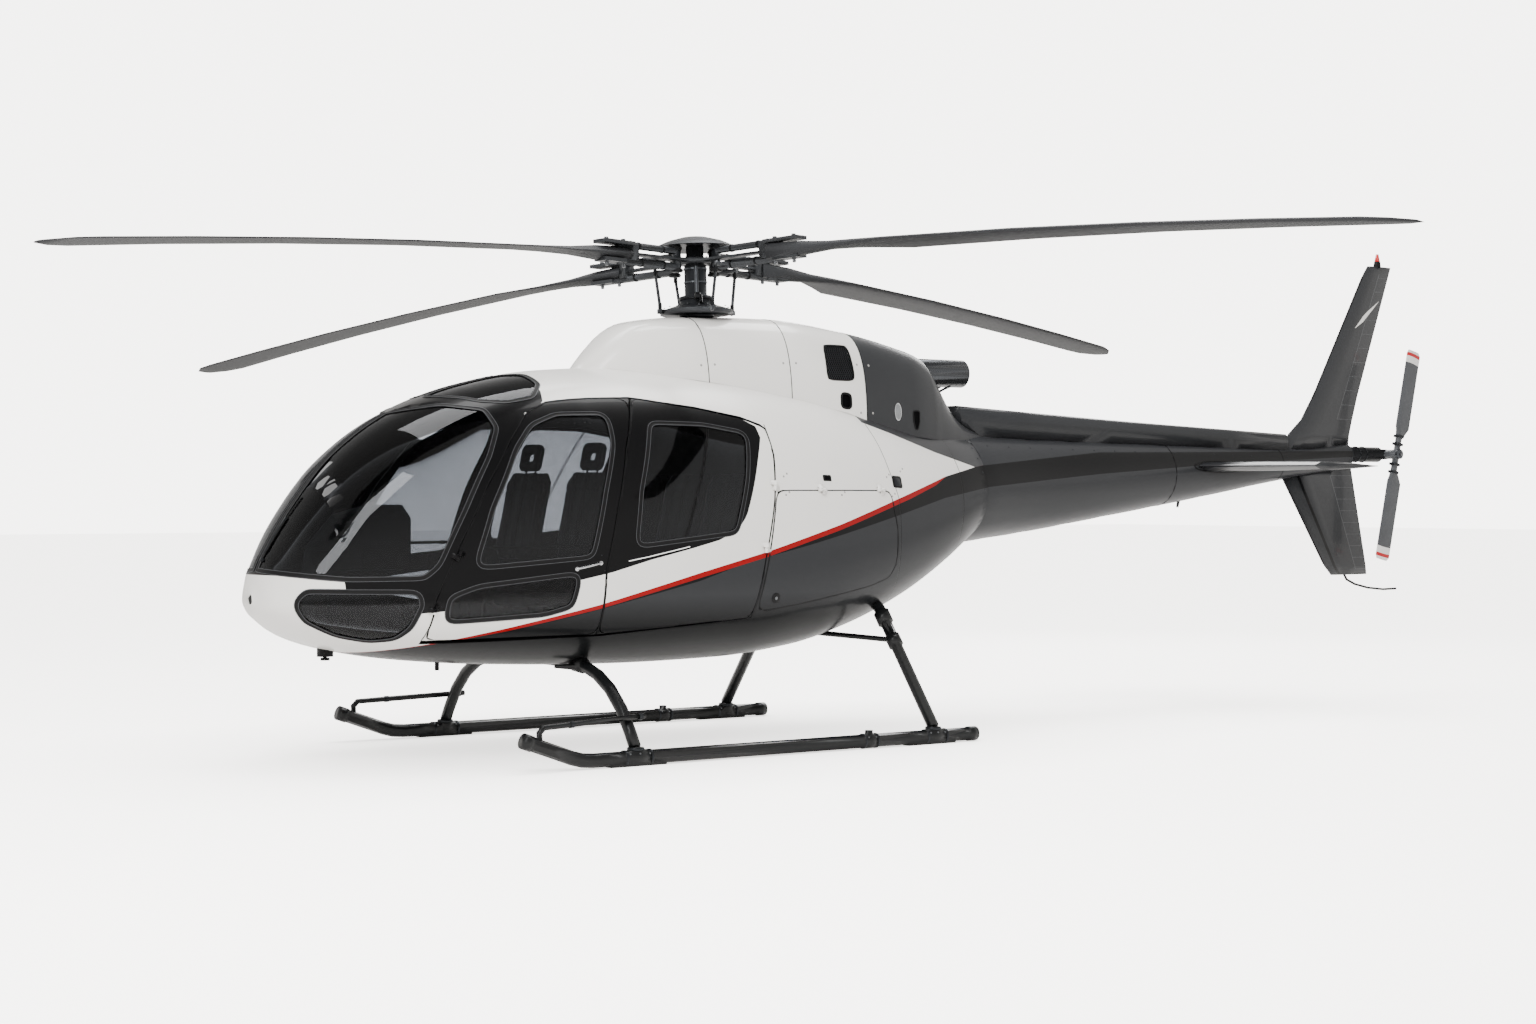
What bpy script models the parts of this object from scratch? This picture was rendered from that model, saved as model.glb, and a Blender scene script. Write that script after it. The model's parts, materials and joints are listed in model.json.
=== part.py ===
"""Light turbine helicopter on skids: hollow cabin with four doors, a two-bladed tail rotor
and a four-bladed main rotor, modelled as separate closed solids.

Metres. +X points aft, +Y to starboard, +Z up, and the ground is z = 0. Stations along X are
measured from the main rotor's hub. The empty called airframe_origin carries every piece and
puts the middle of the overall box at x = 0.
"""
import math

import bmesh
import bpy
from mathutils import Matrix, Vector

# Overall placing
HUB_STATION = -1.050
GAP = 0.0003
FAR = 3.0

# Skin and panels
WALL = 0.030
DOOR_CLEARANCE = 0.006
GLASS_OUTER_INSET = 0.004
GLASS_THICKNESS = 0.006
RING_POINTS = 36
INNER_RING_POINTS = 20

# Hull sections. Columns: station x, lowest z, highest z, half width, z of the widest point,
# roundness of the upper half, roundness of the lower half (2 is an ellipse, more is boxier).
HULL = (
    (-3.222, 0.985, 1.045, 0.030, 1.015, 2.0, 2.0),
    (-3.193, 0.925, 1.180, 0.180, 1.005, 2.0, 2.0),
    (-3.117, 0.855, 1.335, 0.300, 1.000, 2.1, 2.0),
    (-2.974, 0.770, 1.560, 0.450, 0.995, 2.2, 2.1),
    (-2.706, 0.690, 1.880, 0.622, 1.000, 2.2, 2.3),
    (-2.325, 0.625, 2.145, 0.770, 1.020, 2.2, 2.5),
    (-1.840, 0.583, 2.330, 0.865, 1.060, 2.3, 2.7),
    (-1.240, 0.558, 2.443, 0.925, 1.100, 2.4, 2.8),
    (-0.700, 0.548, 2.470, 0.940, 1.150, 2.4, 2.8),
    (-0.100, 0.557, 2.440, 0.925, 1.200, 2.4, 2.8),
    (0.500, 0.607, 2.372, 0.878, 1.260, 2.4, 2.6),
    (1.000, 0.716, 2.304, 0.790, 1.340, 2.3, 2.4),
    (1.500, 0.889, 2.226, 0.667, 1.440, 2.1, 2.2),
    (1.900, 1.092, 2.158, 0.550, 1.540, 2.0, 2.1),
    (2.220, 1.293, 2.090, 0.440, 1.640, 2.0, 2.0),
)
LONGEST_BAY = 0.36

# Tail boom sections, same columns
BOOM_START = 2.2203
BOOM = (
    (BOOM_START, 1.285, 2.095, 0.425, 1.690, 2.0, 2.0),
    (2.900, 1.362, 2.075, 0.345, 1.720, 2.0, 2.0),
    (3.720, 1.473, 2.060, 0.285, 1.765, 2.0, 2.0),
    (4.790, 1.625, 2.040, 0.200, 1.830, 2.0, 2.0),
    (5.820, 1.778, 2.020, 0.122, 1.900, 2.0, 2.0),
    (6.480, 1.850, 2.060, 0.085, 1.955, 2.0, 2.0),
)
BOOM_WALL = 0.020
BOOM_INNER_END = 5.60

# Engine cowl sections. Columns: station x, highest z, half width at the foot.
COWL_FOOT = 1.95
COWL_ROUNDNESS = 3.2
COWL_WALL = 0.012
COWL = (
    (-0.960, 2.470, 0.120),
    (-0.880, 2.545, 0.200),
    (-0.780, 2.640, 0.260),
    (-0.680, 2.722, 0.300),
    (-0.560, 2.778, 0.340),
    (-0.160, 2.824, 0.400),
    (0.480, 2.838, 0.430),
    (1.120, 2.775, 0.450),
    (1.570, 2.688, 0.425),
    (1.790, 2.625, 0.375),
    (1.890, 2.520, 0.340),
    (1.990, 2.372, 0.305),
    (2.110, 2.240, 0.260),
    (2.260, 2.150, 0.205),
    (2.400, 2.110, 0.165),
)
# Panels of the cowl: name, first station, last station
COWL_PANELS = (
    ("cowl_front", -1.00, -0.150),
    ("cowl_middle", -0.150, 0.500),
    ("cowl_rear", 0.500, 1.120),
    ("cowl_exhaust", 1.120, 2.60),
)
MAST_HOLE_RADIUS = 0.125
GRILLE = ((0.80, 2.42), (1.03, 2.42), (1.02, 2.66), (0.81, 2.66))
COWL_PORT = ((0.905, 2.235), (0.985, 2.225), (0.985, 2.325), (0.905, 2.335))

# Seam lines seen from the side, as (x, z)
CABIN_SEAM = ((-0.060, 0.30), (-0.160, 0.87), (-0.080, 1.22), (0.015, 1.61), (0.065, 1.90), (0.060, 2.10),
              (0.020, 2.28), (-0.020, 2.60))
BELLY_SEAM = ((-2.420, 0.748), (-2.270, 0.750), (-1.290, 0.770), (-0.210, 0.848), (0.240, 0.905),
              (0.910, 1.010), (1.310, 1.150))
# Opening in the canopy frame for the two doors of one side, run down past the belly's seam
CABIN_OPENING = ((-2.412, 0.700), (-2.412, 0.765), (-2.378, 1.024), (-2.228, 1.345), (-2.017, 1.706),
                 (-1.816, 1.977), (-1.664, 2.139), (-1.502, 2.214), (-1.221, 2.245), (-0.920, 2.255),
                 (-0.450, 2.203), (-0.117, 2.146), (0.029, 2.096), (0.064, 2.070), (0.150, 2.020), (0.150, 0.700))

# Door and window outlines seen from the side, as (x, z), in the port sense
FRONT_DOOR = ((-2.403, 0.774), (-2.370, 1.020), (-2.220, 1.340), (-2.010, 1.700), (-1.810, 1.970),
              (-1.660, 2.130), (-1.500, 2.205), (-1.220, 2.235), (-0.926, 2.245), (-1.078, 1.920),
              (-1.196, 1.550), (-1.294, 1.180), (-1.324, 0.788))
REAR_DOOR = ((-0.900, 2.242), (-0.450, 2.188), (-0.120, 2.130), (0.018, 2.082), (0.047, 2.061), (0.054, 1.900),
             (0.007, 1.610), (-0.088, 1.220), (-0.168, 0.862), (-0.560, 0.834), (-1.308, 0.787),
             (-1.278, 1.180), (-1.180, 1.550), (-1.059, 1.920))
FRONT_UPPER_WINDOW = ((-2.150, 1.200), (-2.010, 1.560), (-1.800, 1.920), (-1.660, 2.070), (-1.480, 2.140),
                      (-1.130, 2.150), (-1.150, 1.960), (-1.260, 1.670), (-1.380, 1.260))
FRONT_LOWER_WINDOW = ((-2.320, 0.880), (-2.300, 1.030), (-2.120, 1.095), (-1.460, 1.165), (-1.520, 0.960),
                      (-1.700, 0.915))
REAR_WINDOW = ((-1.075, 1.320), (-1.010, 1.670), (-0.850, 2.095), (-0.450, 2.090), (-0.110, 2.040),
               (-0.190, 1.740), (-0.310, 1.400))
BAGGAGE_DOOR = ((0.040, 1.665), (1.080, 1.665), (1.135, 1.400), (1.140, 1.170), (1.090, 1.085),
                (0.900, 1.035), (0.240, 0.935), (-0.130, 0.890), (-0.045, 1.250))

# Windows seen along the diagonal from ahead and port, as (u, z) with u = (x - y) / sqrt 2
WINDSCREEN = ((-2.300, 1.195), (-2.180, 1.560), (-1.990, 1.870), (-1.700, 2.135), (-1.270, 2.195),
              (-1.000, 2.165), (-0.900, 2.050), (-0.912, 1.880), (-1.010, 1.550), (-1.130, 1.220),
              (-1.210, 1.145), (-1.626, 1.140))
CHIN_WINDOW = ((-1.960, 1.000), (-1.880, 1.070), (-1.230, 1.065), (-1.220, 0.980), (-1.290, 0.850),
               (-1.400, 0.780), (-1.560, 0.765), (-1.740, 0.800), (-1.900, 0.890))
# Roof window seen from above, as (x, y), port side
ROOF_WINDOW = ((-2.110, -0.035), (-1.560, -0.035), (-1.460, -0.200), (-1.460, -0.400), (-1.560, -0.500),
               (-1.740, -0.475), (-1.890, -0.395), (-2.015, -0.235))
CORNER_RADIUS = 0.055
CENTRE_POST = 0.026

# Hinges: name, lower and upper station (x, z) of its knuckles, and which edge it is on
HINGE_OFFSET = 0.016
HINGE_PIN = 0.005
HINGE_BARREL = 0.012
HINGE_LENGTH = 0.032
HINGE_SPLIT = 0.0005
# Leaf of a hinge in section: (along the skin, into it)
HINGE_LEAF = ((0.007, -0.007), (0.034, -0.004), (0.034, 0.036), (0.018, 0.036), (0.018, 0.008), (0.007, 0.004))
HINGES = (
    ("door_front", (-2.384, 0.960), (-2.244, 1.280), "front"),
    ("door_rear", (-0.085, 1.300), (0.018, 1.700), "rear"),
    ("baggage_door", (0.420, 1.675), (0.980, 1.675), "top"),
)

# Floor, bulkhead and cabin furniture
FLOOR_UNDERSIDE = 0.780
FLOOR_TOP = 0.805
BULKHEAD_STATION = 0.080
SEAT_Y = 0.380
SEAT_WIDTH = 0.480
SEAT_STATION = -1.420
BENCH_STATION = -0.420

# Hood of the instruments across the cabin. Columns: y, front x, rear x, lowest z, rise
HOOD = (
    (-0.330, -2.640, -2.320, 1.200, 0.300),
    (-0.180, -2.780, -2.300, 1.180, 0.400),
    (0.180, -2.780, -2.300, 1.180, 0.400),
    (0.330, -2.640, -2.320, 1.200, 0.300),
)

# Machinery under the cowls
ENGINE = ((0.62, 1.66), 0.20, 2.60)
EXHAUST_RADIUS = 0.100
EXHAUST_WALL = 0.006
EXHAUST_HEIGHT = 2.518
EXHAUST_END = 2.340
GEARBOX_HALF = 0.20
GEARBOX_TOP = -0.500

# Main rotor, measured from the hub point along the mast, which leans to starboard at its foot
HUB_HEIGHT = 3.210
MAST_LEAN = math.radians(2.9)
ROTOR_RADIUS = 5.170
ROTOR_AZIMUTH = math.radians(14.0)
BLADE_COUNT = 4
BLADE_DROOP = 0.335
BLADE_DROOP_POWER = 1.7
# Blade sections. Columns: radius, chord, thickness, chord ahead of the pitch axis as a share,
# pitch in degrees
BLADE = (
    (0.662, 0.120, 0.112, 0.50, 0.0),
    (0.940, 0.120, 0.100, 0.50, 0.0),
    (1.180, 0.135, 0.060, 0.45, -3.0),
    (1.420, 0.240, 0.044, 0.36, -5.0),
    (1.650, 0.350, 0.036, 0.30, -5.0),
    (2.600, 0.350, 0.034, 0.30, -4.0),
    (3.500, 0.350, 0.033, 0.30, -2.5),
    (4.300, 0.350, 0.032, 0.30, -1.2),
    (4.900, 0.350, 0.032, 0.30, 0.0),
    (5.050, 0.290, 0.026, 0.20, 0.3),
    (ROTOR_RADIUS, 0.130, 0.012, -0.20, 0.5),
)
# Round beams of the rotor head: height above the hub and radius; and the plates that clamp the
# blade: (first radius, lowest z, highest z, half width)
BEAMS = ((0.052, 0.024), (-0.054, 0.027))
BEAM_SPAN = (0.186, 0.760)
PLATES = ((0.640, 0.046, 0.070, 0.056), (0.720, -0.072, -0.048, 0.050))
PLATE_END = 0.925
DOME_RADIUS = 0.275

# Tail rotor, seen from port, and the pieces that carry it
TAIL_HUB = (6.800, -0.250, 1.975)
TAIL_RADIUS = 0.880
TAIL_LEAN = math.radians(13.0)
TAIL_CHORD = 0.165

# Fins. Columns: z, leading edge x, trailing edge x, thickness
UPPER_FIN = (
    (1.980, 5.730, 6.500, 0.120),
    (2.130, 5.800, 6.520, 0.110),
    (2.250, 5.950, 6.555, 0.105),
    (2.450, 6.095, 6.620, 0.098),
    (3.470, 6.700, 7.010, 0.060),
    (3.535, 6.750, 7.035, 0.044),
)
LOWER_FIN = (
    (1.960, 5.690, 6.520, 0.105),
    (1.790, 5.720, 6.560, 0.100),
    (1.060, 6.230, 6.730, 0.066),
    (0.985, 6.310, 6.740, 0.040),
)
# Stabiliser. Columns: distance from the centre, leading edge x, trailing edge x, thickness
STABILISER_HEIGHT = 1.860
STABILISER = (
    (0.020, 4.520, 5.200, 0.080),
    (1.190, 4.780, 5.450, 0.062),
    (1.250, 4.830, 5.420, 0.030),
)
# Spine fairing over the boom. Columns: station x, highest z, half width at the foot
SPINE = (
    (2.200, 2.285, 0.150),
    (3.720, 2.210, 0.125),
    (5.720, 2.128, 0.075),
)

# Skids
SKID_Y = 1.200
SKID_RADIUS = 0.044
SHOE_THICKNESS = 0.006
SKID_CENTRE = SKID_RADIUS + SHOE_THICKNESS
SKID_PATH = ((1.400, SKID_CENTRE), (-1.560, SKID_CENTRE), (-1.640, 0.056), (-1.710, 0.074), (-2.020, 0.185))
SADDLE_TOP = 0.112
# Collars round each skid: first station, last station; the middle one is a clamp
COLLARS = ((-1.350, -1.150), (0.480, 0.600), (1.000, 1.180))
COLLAR_RADIUS = 0.0485
CLAMP_STATION = 0.540
SKID_CAP = (1.372, 1.440)
STEP_BAR = ((-1.930, 1.200, 0.120), (-1.935, 1.200, 0.235), (-1.905, 1.198, 0.264), (-1.700, 1.178, 0.272),
            (-1.140, 1.122, 0.292))
FRONT_TUBE_STATION = -1.250
REAR_TUBE_STATION = 1.090
CROSS_TUBE_RADIUS = 0.039
# Half of each cross tube from the skid inwards, as (y, z)
FRONT_TUBE = ((1.180, SADDLE_TOP + GAP), (1.125, 0.200), (1.030, 0.330), (0.900, 0.448), (0.760, 0.525),
              (0.620, 0.568), (0.450, 0.588), (0.200, 0.594))
REAR_TUBE = ((1.190, SADDLE_TOP + GAP), (0.620, 0.870), (0.540, 0.925), (0.400, 0.945), (0.200, 0.945))
# Fittings of each cross tube, on one side: start, end, radius at the start, radius at the end
FRONT_FITTINGS = (((-1.250, 0.500, 0.583), (-1.250, 0.590, 0.574), 0.052, 0.052),
                  ((-1.290, 0.545, 0.566), (-1.430, 0.545, 0.572), 0.022, 0.010))
REAR_FITTINGS = (((1.090, 0.640, 0.844), (1.090, 0.690, 0.776), 0.055, 0.055),
                 ((0.800, 0.300, 0.702), (1.085, 0.776, 0.664), 0.018, 0.018),
                 ((1.090, 0.756, 0.688), (1.090, 0.802, 0.628), 0.052, 0.052))

# Colours as linear red, green, blue, with roughness and metallic value
FINISHES = {
    "white_paint": ((0.78, 0.76, 0.73), 0.20, 0.0),
    "grey_paint": ((0.045, 0.046, 0.050), 0.28, 0.0),
    "black_paint": ((0.012, 0.012, 0.013), 0.25, 0.0),
    "tinted_glass": ((0.05, 0.06, 0.07), 0.05, 0.0),
    "rotor_grey": ((0.10, 0.10, 0.11), 0.45, 0.2),
    "steel": ((0.35, 0.35, 0.36), 0.30, 1.0),
    "dark_steel": ((0.06, 0.06, 0.065), 0.40, 0.8),
    "skid_black": ((0.015, 0.015, 0.016), 0.35, 0.1),
    "seat_leather": ((0.03, 0.03, 0.032), 0.60, 0.0),
    "trim_grey": ((0.08, 0.08, 0.085), 0.70, 0.0),
    "red_lens": ((0.55, 0.02, 0.02), 0.15, 0.0),
}


def clear_scene():
    """Remove the objects that the file opened with."""
    for item in list(bpy.data.objects):
        bpy.data.objects.remove(item, do_unlink=True)


def collection(name):
    """A collection of this name under the scene."""
    group = bpy.data.collections.new(name)
    bpy.context.scene.collection.children.link(group)
    return group


def finish(name):
    """The Principled material of this name, made once."""
    if name in bpy.data.materials:
        return bpy.data.materials[name]
    colour, roughness, metallic = FINISHES[name]
    material = bpy.data.materials.new(name)
    material.use_nodes = True
    shader = material.node_tree.nodes["Principled BSDF"]
    shader.inputs["Base Color"].default_value = (*colour, 1.0)
    shader.inputs["Roughness"].default_value = roughness
    shader.inputs["Metallic"].default_value = metallic
    return material


class Workshop:
    """Holds the two collections and makes, cuts and joins meshes."""

    def __init__(self):
        self.parts = collection("helicopter")
        self.cutters = collection("cutters")
        self.origin = bpy.data.objects.new("airframe_origin", None)
        self.parts.objects.link(self.origin)

    def from_bmesh(self, mesh_data, name="cutter"):
        """A loose object of this mesh, kept with the cutters until it is used."""
        mesh = bpy.data.meshes.new(name)
        mesh_data.to_mesh(mesh)
        mesh_data.free()
        item = bpy.data.objects.new(name, mesh)
        item.hide_render = True
        item.display_type = "WIRE"
        self.cutters.objects.link(item)
        return item

    def drop(self, *items):
        """Remove cutters that have done their work."""
        for item in items:
            bpy.data.objects.remove(item, do_unlink=True)

    def settle(self, item):
        """Turn an object's modifiers and place into plain mesh."""
        bpy.context.view_layer.update()
        graph = bpy.context.evaluated_depsgraph_get()
        mesh = bpy.data.meshes.new_from_object(item.evaluated_get(graph))
        mesh.transform(item.matrix_world)
        item.modifiers.clear()
        item.data = mesh
        item.matrix_world = Matrix.Identity(4)
        return item

    def boolean(self, item, other, operation, solver="EXACT"):
        """Combine two closed meshes and remove the second."""
        modifier = item.modifiers.new(operation.lower(), "BOOLEAN")
        modifier.operation = operation
        modifier.solver = solver
        modifier.object = other
        self.settle(item)
        self.drop(other)
        return item

    def cut(self, item, *others):
        """Take the others away from the item."""
        for other in others:
            self.boolean(item, other, "DIFFERENCE")
        return item

    def inside(self, item, other):
        """Keep what lies inside the other."""
        return self.boolean(item, other, "INTERSECT")

    def join(self, item, *others, solver="EXACT"):
        """Weld the others to the item."""
        for other in others:
            self.boolean(item, other, "UNION", solver)
        return item

    def part(self, item, name, look, parent=None, smooth=35.0):
        """Name a finished piece, give it its material and hang it on its carrier."""
        item.name = name
        item.data.name = name
        item.hide_render = False
        item.display_type = "TEXTURED"
        self.cutters.objects.unlink(item)
        self.parts.objects.link(item)
        item.data.materials.clear()
        item.data.materials.append(finish(look))
        item.data.shade_smooth()
        item.data.set_sharp_from_angle(angle=math.radians(smooth))
        item.parent = parent or self.origin
        if parent is not None:
            bpy.context.view_layer.update()
            local = self.origin.matrix_world.inverted() @ parent.matrix_world
            item.matrix_parent_inverse = local.inverted()
        return item

    def axis_empty(self, name, point, direction):
        """An empty on a joint's axis, with its own Z along it."""
        empty = bpy.data.objects.new(name, None)
        empty.empty_display_size = 0.2
        self.parts.objects.link(empty)
        empty.parent = self.origin
        empty.location = point
        empty.rotation_mode = "QUATERNION"
        empty.rotation_quaternion = Vector(direction).to_track_quat("Z", "Y")
        return empty


def monotone(table, x):
    """Read a table at x with a smooth curve that never overshoots its points."""
    xs = [row[0] for row in table]
    x = min(max(x, xs[0]), xs[-1])
    k = 0
    while k < len(xs) - 2 and x > xs[k + 1]:
        k += 1
    steps = [b - a for a, b in zip(xs, xs[1:])]
    values = []
    for column in range(1, len(table[0])):
        v = [row[column] for row in table]
        rises = [(b - a) / h for a, b, h in zip(v, v[1:], steps)]
        slopes = [rises[0]]
        for i in range(1, len(rises)):
            if rises[i - 1] * rises[i] <= 0.0:
                slopes.append(0.0)
                continue
            w1 = 2.0 * steps[i] + steps[i - 1]
            w2 = steps[i] + 2.0 * steps[i - 1]
            slopes.append((w1 + w2) / (w1 / rises[i - 1] + w2 / rises[i]))
        slopes.append(rises[-1])
        h = steps[k]
        s = (x - xs[k]) / h
        values.append((2 * s**3 - 3 * s**2 + 1) * v[k] + (s**3 - 2 * s**2 + s) * h * slopes[k]
                      + (3 * s**2 - 2 * s**3) * v[k + 1] + (s**3 - s**2) * h * slopes[k + 1])
    return values


def section(table, x, inset=0.0, points=RING_POINTS):
    """One closed ring of a hull or boom, drawn in by the inset."""
    low, high, half, middle, upper, lower = monotone(table, x)
    ring = []
    for k in range(points):
        angle = math.tau * k / points
        c, s = math.cos(angle), math.sin(angle)
        power = 2.0 / (upper if s >= 0.0 else lower)
        reach = (high - middle if s >= 0.0 else middle - low) - inset
        y = (half - inset) * math.copysign(abs(c) ** power, c)
        z = middle + reach * math.copysign(abs(s) ** power, s)
        ring.append(Vector((x, y, z)))
    return ring


def skin_y(x, z, inset=0.0):
    """How far the hull's skin stands from the centre at this station and height."""
    low, high, half, middle, upper, lower = monotone(HULL, x)
    reach, power = (high - middle, upper) if z >= middle else (middle - low, lower)
    share = min(abs(z - middle) / (reach - inset), 1.0)
    return (half - inset) * (1.0 - share**power) ** (1.0 / power)


def loft(shop, rings, curved=False):
    """A closed solid through rings of equal count, with flat ends; a curved skin is split into
    triangles, so that two skins a gap apart stay parallel."""
    bm = bmesh.new()
    rows = [[bm.verts.new(point) for point in ring] for ring in rings]
    for a, b in zip(rows, rows[1:]):
        for k in range(len(a)):
            j = (k + 1) % len(a)
            if curved:
                bm.faces.new((a[k], b[k], b[j]))
                bm.faces.new((a[k], b[j], a[j]))
            else:
                bm.faces.new((a[k], b[k], b[j], a[j]))
    bm.faces.new(rows[0])
    bm.faces.new(reversed(rows[-1]))
    bmesh.ops.recalc_face_normals(bm, faces=bm.faces)
    return shop.from_bmesh(bm)


def stations(table, bay=LONGEST_BAY):
    """The table's stations, with more between those that stand further apart than a bay."""
    xs = [row[0] for row in table]
    out = [xs[0]]
    for a, b in zip(xs, xs[1:]):
        steps = math.ceil((b - a) / bay)
        out += [a + (b - a) * (k + 1) / steps for k in range(steps)]
    return out


def hull_volume(shop, inset=0.0, past_end=0.0):
    """The hull as a solid drawn in by the inset; past_end runs it on beyond its aft ring."""
    xs = stations(HULL)
    points = INNER_RING_POINTS if inset >= WALL else RING_POINTS
    if inset > 0.0:
        xs = [x for x in xs if monotone(HULL, x)[2] > 3.0 * inset + 0.05]
        start = HULL[0][0] + inset
        xs = [max(x, start) for x in xs]
    rings = [section(HULL, x, inset, points) for x in xs]
    if past_end > 0.0:
        rings.append([point + Vector((past_end, 0.0, 0.0)) for point in rings[-1]])
    return loft(shop, rings, True)


def boom_volume(shop, inset=0.0, start=BOOM_START, end=BOOM[-1][0]):
    """The tail boom as a solid, drawn in by the inset, from one station to another."""
    xs = [x for x in stations(BOOM, 0.60) if start < x < end]
    rings = [section(BOOM, x, inset, 20) for x in [max(start, BOOM_START), *xs, min(end, BOOM[-1][0])]]
    rings[0] = [point + Vector((min(start - BOOM_START, 0.0), 0.0, 0.0)) for point in rings[0]]
    rings[-1] = [point + Vector((max(end - BOOM[-1][0], 0.0), 0.0, 0.0)) for point in rings[-1]]
    return loft(shop, rings, True)


def boom_cutter(shop):
    """The tail boom with a clear gap all round, run on past both ends."""
    return boom_volume(shop, -GAP, BOOM_START - 0.02, BOOM[-1][0] + GAP)


def rounded(points, radius=CORNER_RADIUS, steps=2):
    """An outline with its sharper corners turned into arcs."""
    out = []
    count = len(points)
    for k in range(count):
        before, here, after = (Vector(points[(k + n) % count]) for n in (-1, 0, 1))
        a, b = before - here, after - here
        turn = math.pi - a.angle(b)
        if turn < math.radians(32.0):
            out.append(here)
            continue
        reach = min(radius * math.tan(turn / 2.0), 0.45 * a.length, 0.45 * b.length)
        start, stop = here + a.normalized() * reach, here + b.normalized() * reach
        for step in range(steps + 1):
            t = step / steps
            out.append(start.lerp(here, t).lerp(here.lerp(stop, t), t))
    return out


def grown(points, distance):
    """An outline moved outwards by the distance, or inwards where it is negative."""
    count = len(points)
    area = sum(points[k][0] * points[(k + 1) % count][1] - points[(k + 1) % count][0] * points[k][1]
               for k in range(count))
    side = 1.0 if area > 0.0 else -1.0
    out = []
    for k in range(count):
        before, here, after = (Vector(points[(k + n) % count]) for n in (-1, 0, 1))
        a, b = (here - before).normalized(), (after - here).normalized()
        na, nb = Vector((a.y, -a.x)) * side, Vector((b.y, -b.x)) * side
        mitre = (na + nb).normalized()
        out.append(here + mitre * distance / max(mitre.dot(na), 0.5))
    return out


def prism(shop, bottom, top):
    """A solid between two like outlines in space."""
    return loft(shop, [bottom, top])


def side_prism(shop, outline, side, near=0.05, far=FAR):
    """A prism along Y from a side outline; side is -1 for port and 1 for starboard."""
    rings = [[Vector((p[0], side * y, p[1])) for p in outline] for y in (near, far)]
    return prism(shop, *rings)


def diagonal_prism(shop, outline, side, near=1.55, far=FAR):
    """A prism along the horizontal diagonal that leads ahead and outboard."""
    root = math.sqrt(0.5)
    rings = []
    for reach in (near, far):
        rings.append([Vector(((p[0] - reach) * root, side * (p[0] + reach) * root, p[1])) for p in outline])
    return prism(shop, *rings)


def top_prism(shop, outline, side, low, high):
    """A prism along Z from a plan outline of the port side."""
    rings = [[Vector((p[0], -side * p[1], z)) for p in outline] for z in (low, high)]
    return prism(shop, *rings)


def box(shop, low, high):
    """A box between two corners."""
    bm = bmesh.new()
    bmesh.ops.create_cube(bm, size=1.0)
    size = Vector(high) - Vector(low)
    bmesh.ops.scale(bm, vec=size, verts=bm.verts)
    bmesh.ops.translate(bm, vec=(Vector(high) + Vector(low)) / 2.0, verts=bm.verts)
    return shop.from_bmesh(bm)


def rod(shop, start, end, radius, radius_end=None, sides=12):
    """A round bar or cone between two points."""
    start, end = Vector(start), Vector(end)
    bm = bmesh.new()
    bmesh.ops.create_cone(bm, cap_ends=True, segments=sides, radius1=radius,
                          radius2=radius if radius_end is None else radius_end, depth=(end - start).length)
    turn = (end - start).to_track_quat("Z", "Y").to_matrix().to_4x4()
    bmesh.ops.transform(bm, matrix=Matrix.Translation((start + end) / 2.0) @ turn, verts=bm.verts)
    return shop.from_bmesh(bm)


def tube(shop, points, radius, resolution=2):
    """A bent bar with closed ends along the points."""
    curve = bpy.data.curves.new("route", "CURVE")
    curve.dimensions = "3D"
    spline = curve.splines.new("POLY")
    spline.points.add(len(points) - 1)
    for knot, point in zip(spline.points, points):
        knot.co = (*point, 1.0)
    curve.bevel_depth = radius
    curve.bevel_resolution = resolution
    curve.use_fill_caps = True
    route = bpy.data.objects.new("route", curve)
    shop.cutters.objects.link(route)
    bpy.context.view_layer.update()
    graph = bpy.context.evaluated_depsgraph_get()
    mesh = bpy.data.meshes.new_from_object(route.evaluated_get(graph))
    bm = bmesh.new()
    bm.from_mesh(mesh)
    bmesh.ops.remove_doubles(bm, verts=bm.verts, dist=0.00005)
    bmesh.ops.recalc_face_normals(bm, faces=bm.faces)
    shop.drop(route)
    return shop.from_bmesh(bm)


def turned(shop, profile, sides=18):
    """A turned solid from (radius, z) points that run down its outer side from the axis."""
    rings = [[Vector((r * math.cos(math.tau * k / sides), r * math.sin(math.tau * k / sides), z))
              for k in range(sides)] for r, z in profile]
    return loft(shop, rings)


def aerofoil(chord, thickness, ahead, points=5):
    """A closed section in (along chord, up); its nose is at -ahead times the chord."""
    upper = []
    for k in range(points + 1):
        t = (1.0 - math.cos(math.pi * k / points)) / 2.0
        bulge = 2.6 * (math.sqrt(t) - t) if t < 1.0 else 0.0
        upper.append((chord * (t - ahead), thickness * (bulge * 0.72 + 0.06) * 0.95))
    lower = [(x, -z) for x, z in upper]
    return upper + lower[::-1]


def lean(point):
    """Turn a point given along the leaning mast, with the hub at zero, into place."""
    turned_point = Matrix.Rotation(-MAST_LEAN, 3, "X") @ Vector(point)
    return turned_point + Vector((0.0, 0.0, HUB_HEIGHT))


def lean_object(item):
    """Place a mesh made around the hub point on the leaning mast."""
    item.data.transform(Matrix.Translation((0.0, 0.0, HUB_HEIGHT)) @ Matrix.Rotation(-MAST_LEAN, 4, "X"))
    return item


def hinge_frame(row, side):
    """The two knuckle points, the axis and the directions of one door's hinge."""
    _, low, high, edge = row
    points = []
    for x, z in (low, high):
        outward = skin_y(x, z) + HINGE_OFFSET
        points.append(Vector((x, side * outward, z)))
    axis = (points[1] - points[0]).normalized()
    leaf = {"front": Vector((1.0, 0.0, 0.0)), "rear": Vector((-1.0, 0.0, 0.0)),
            "top": Vector((0.0, 0.0, -1.0))}[edge]
    return points, axis, leaf


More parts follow.
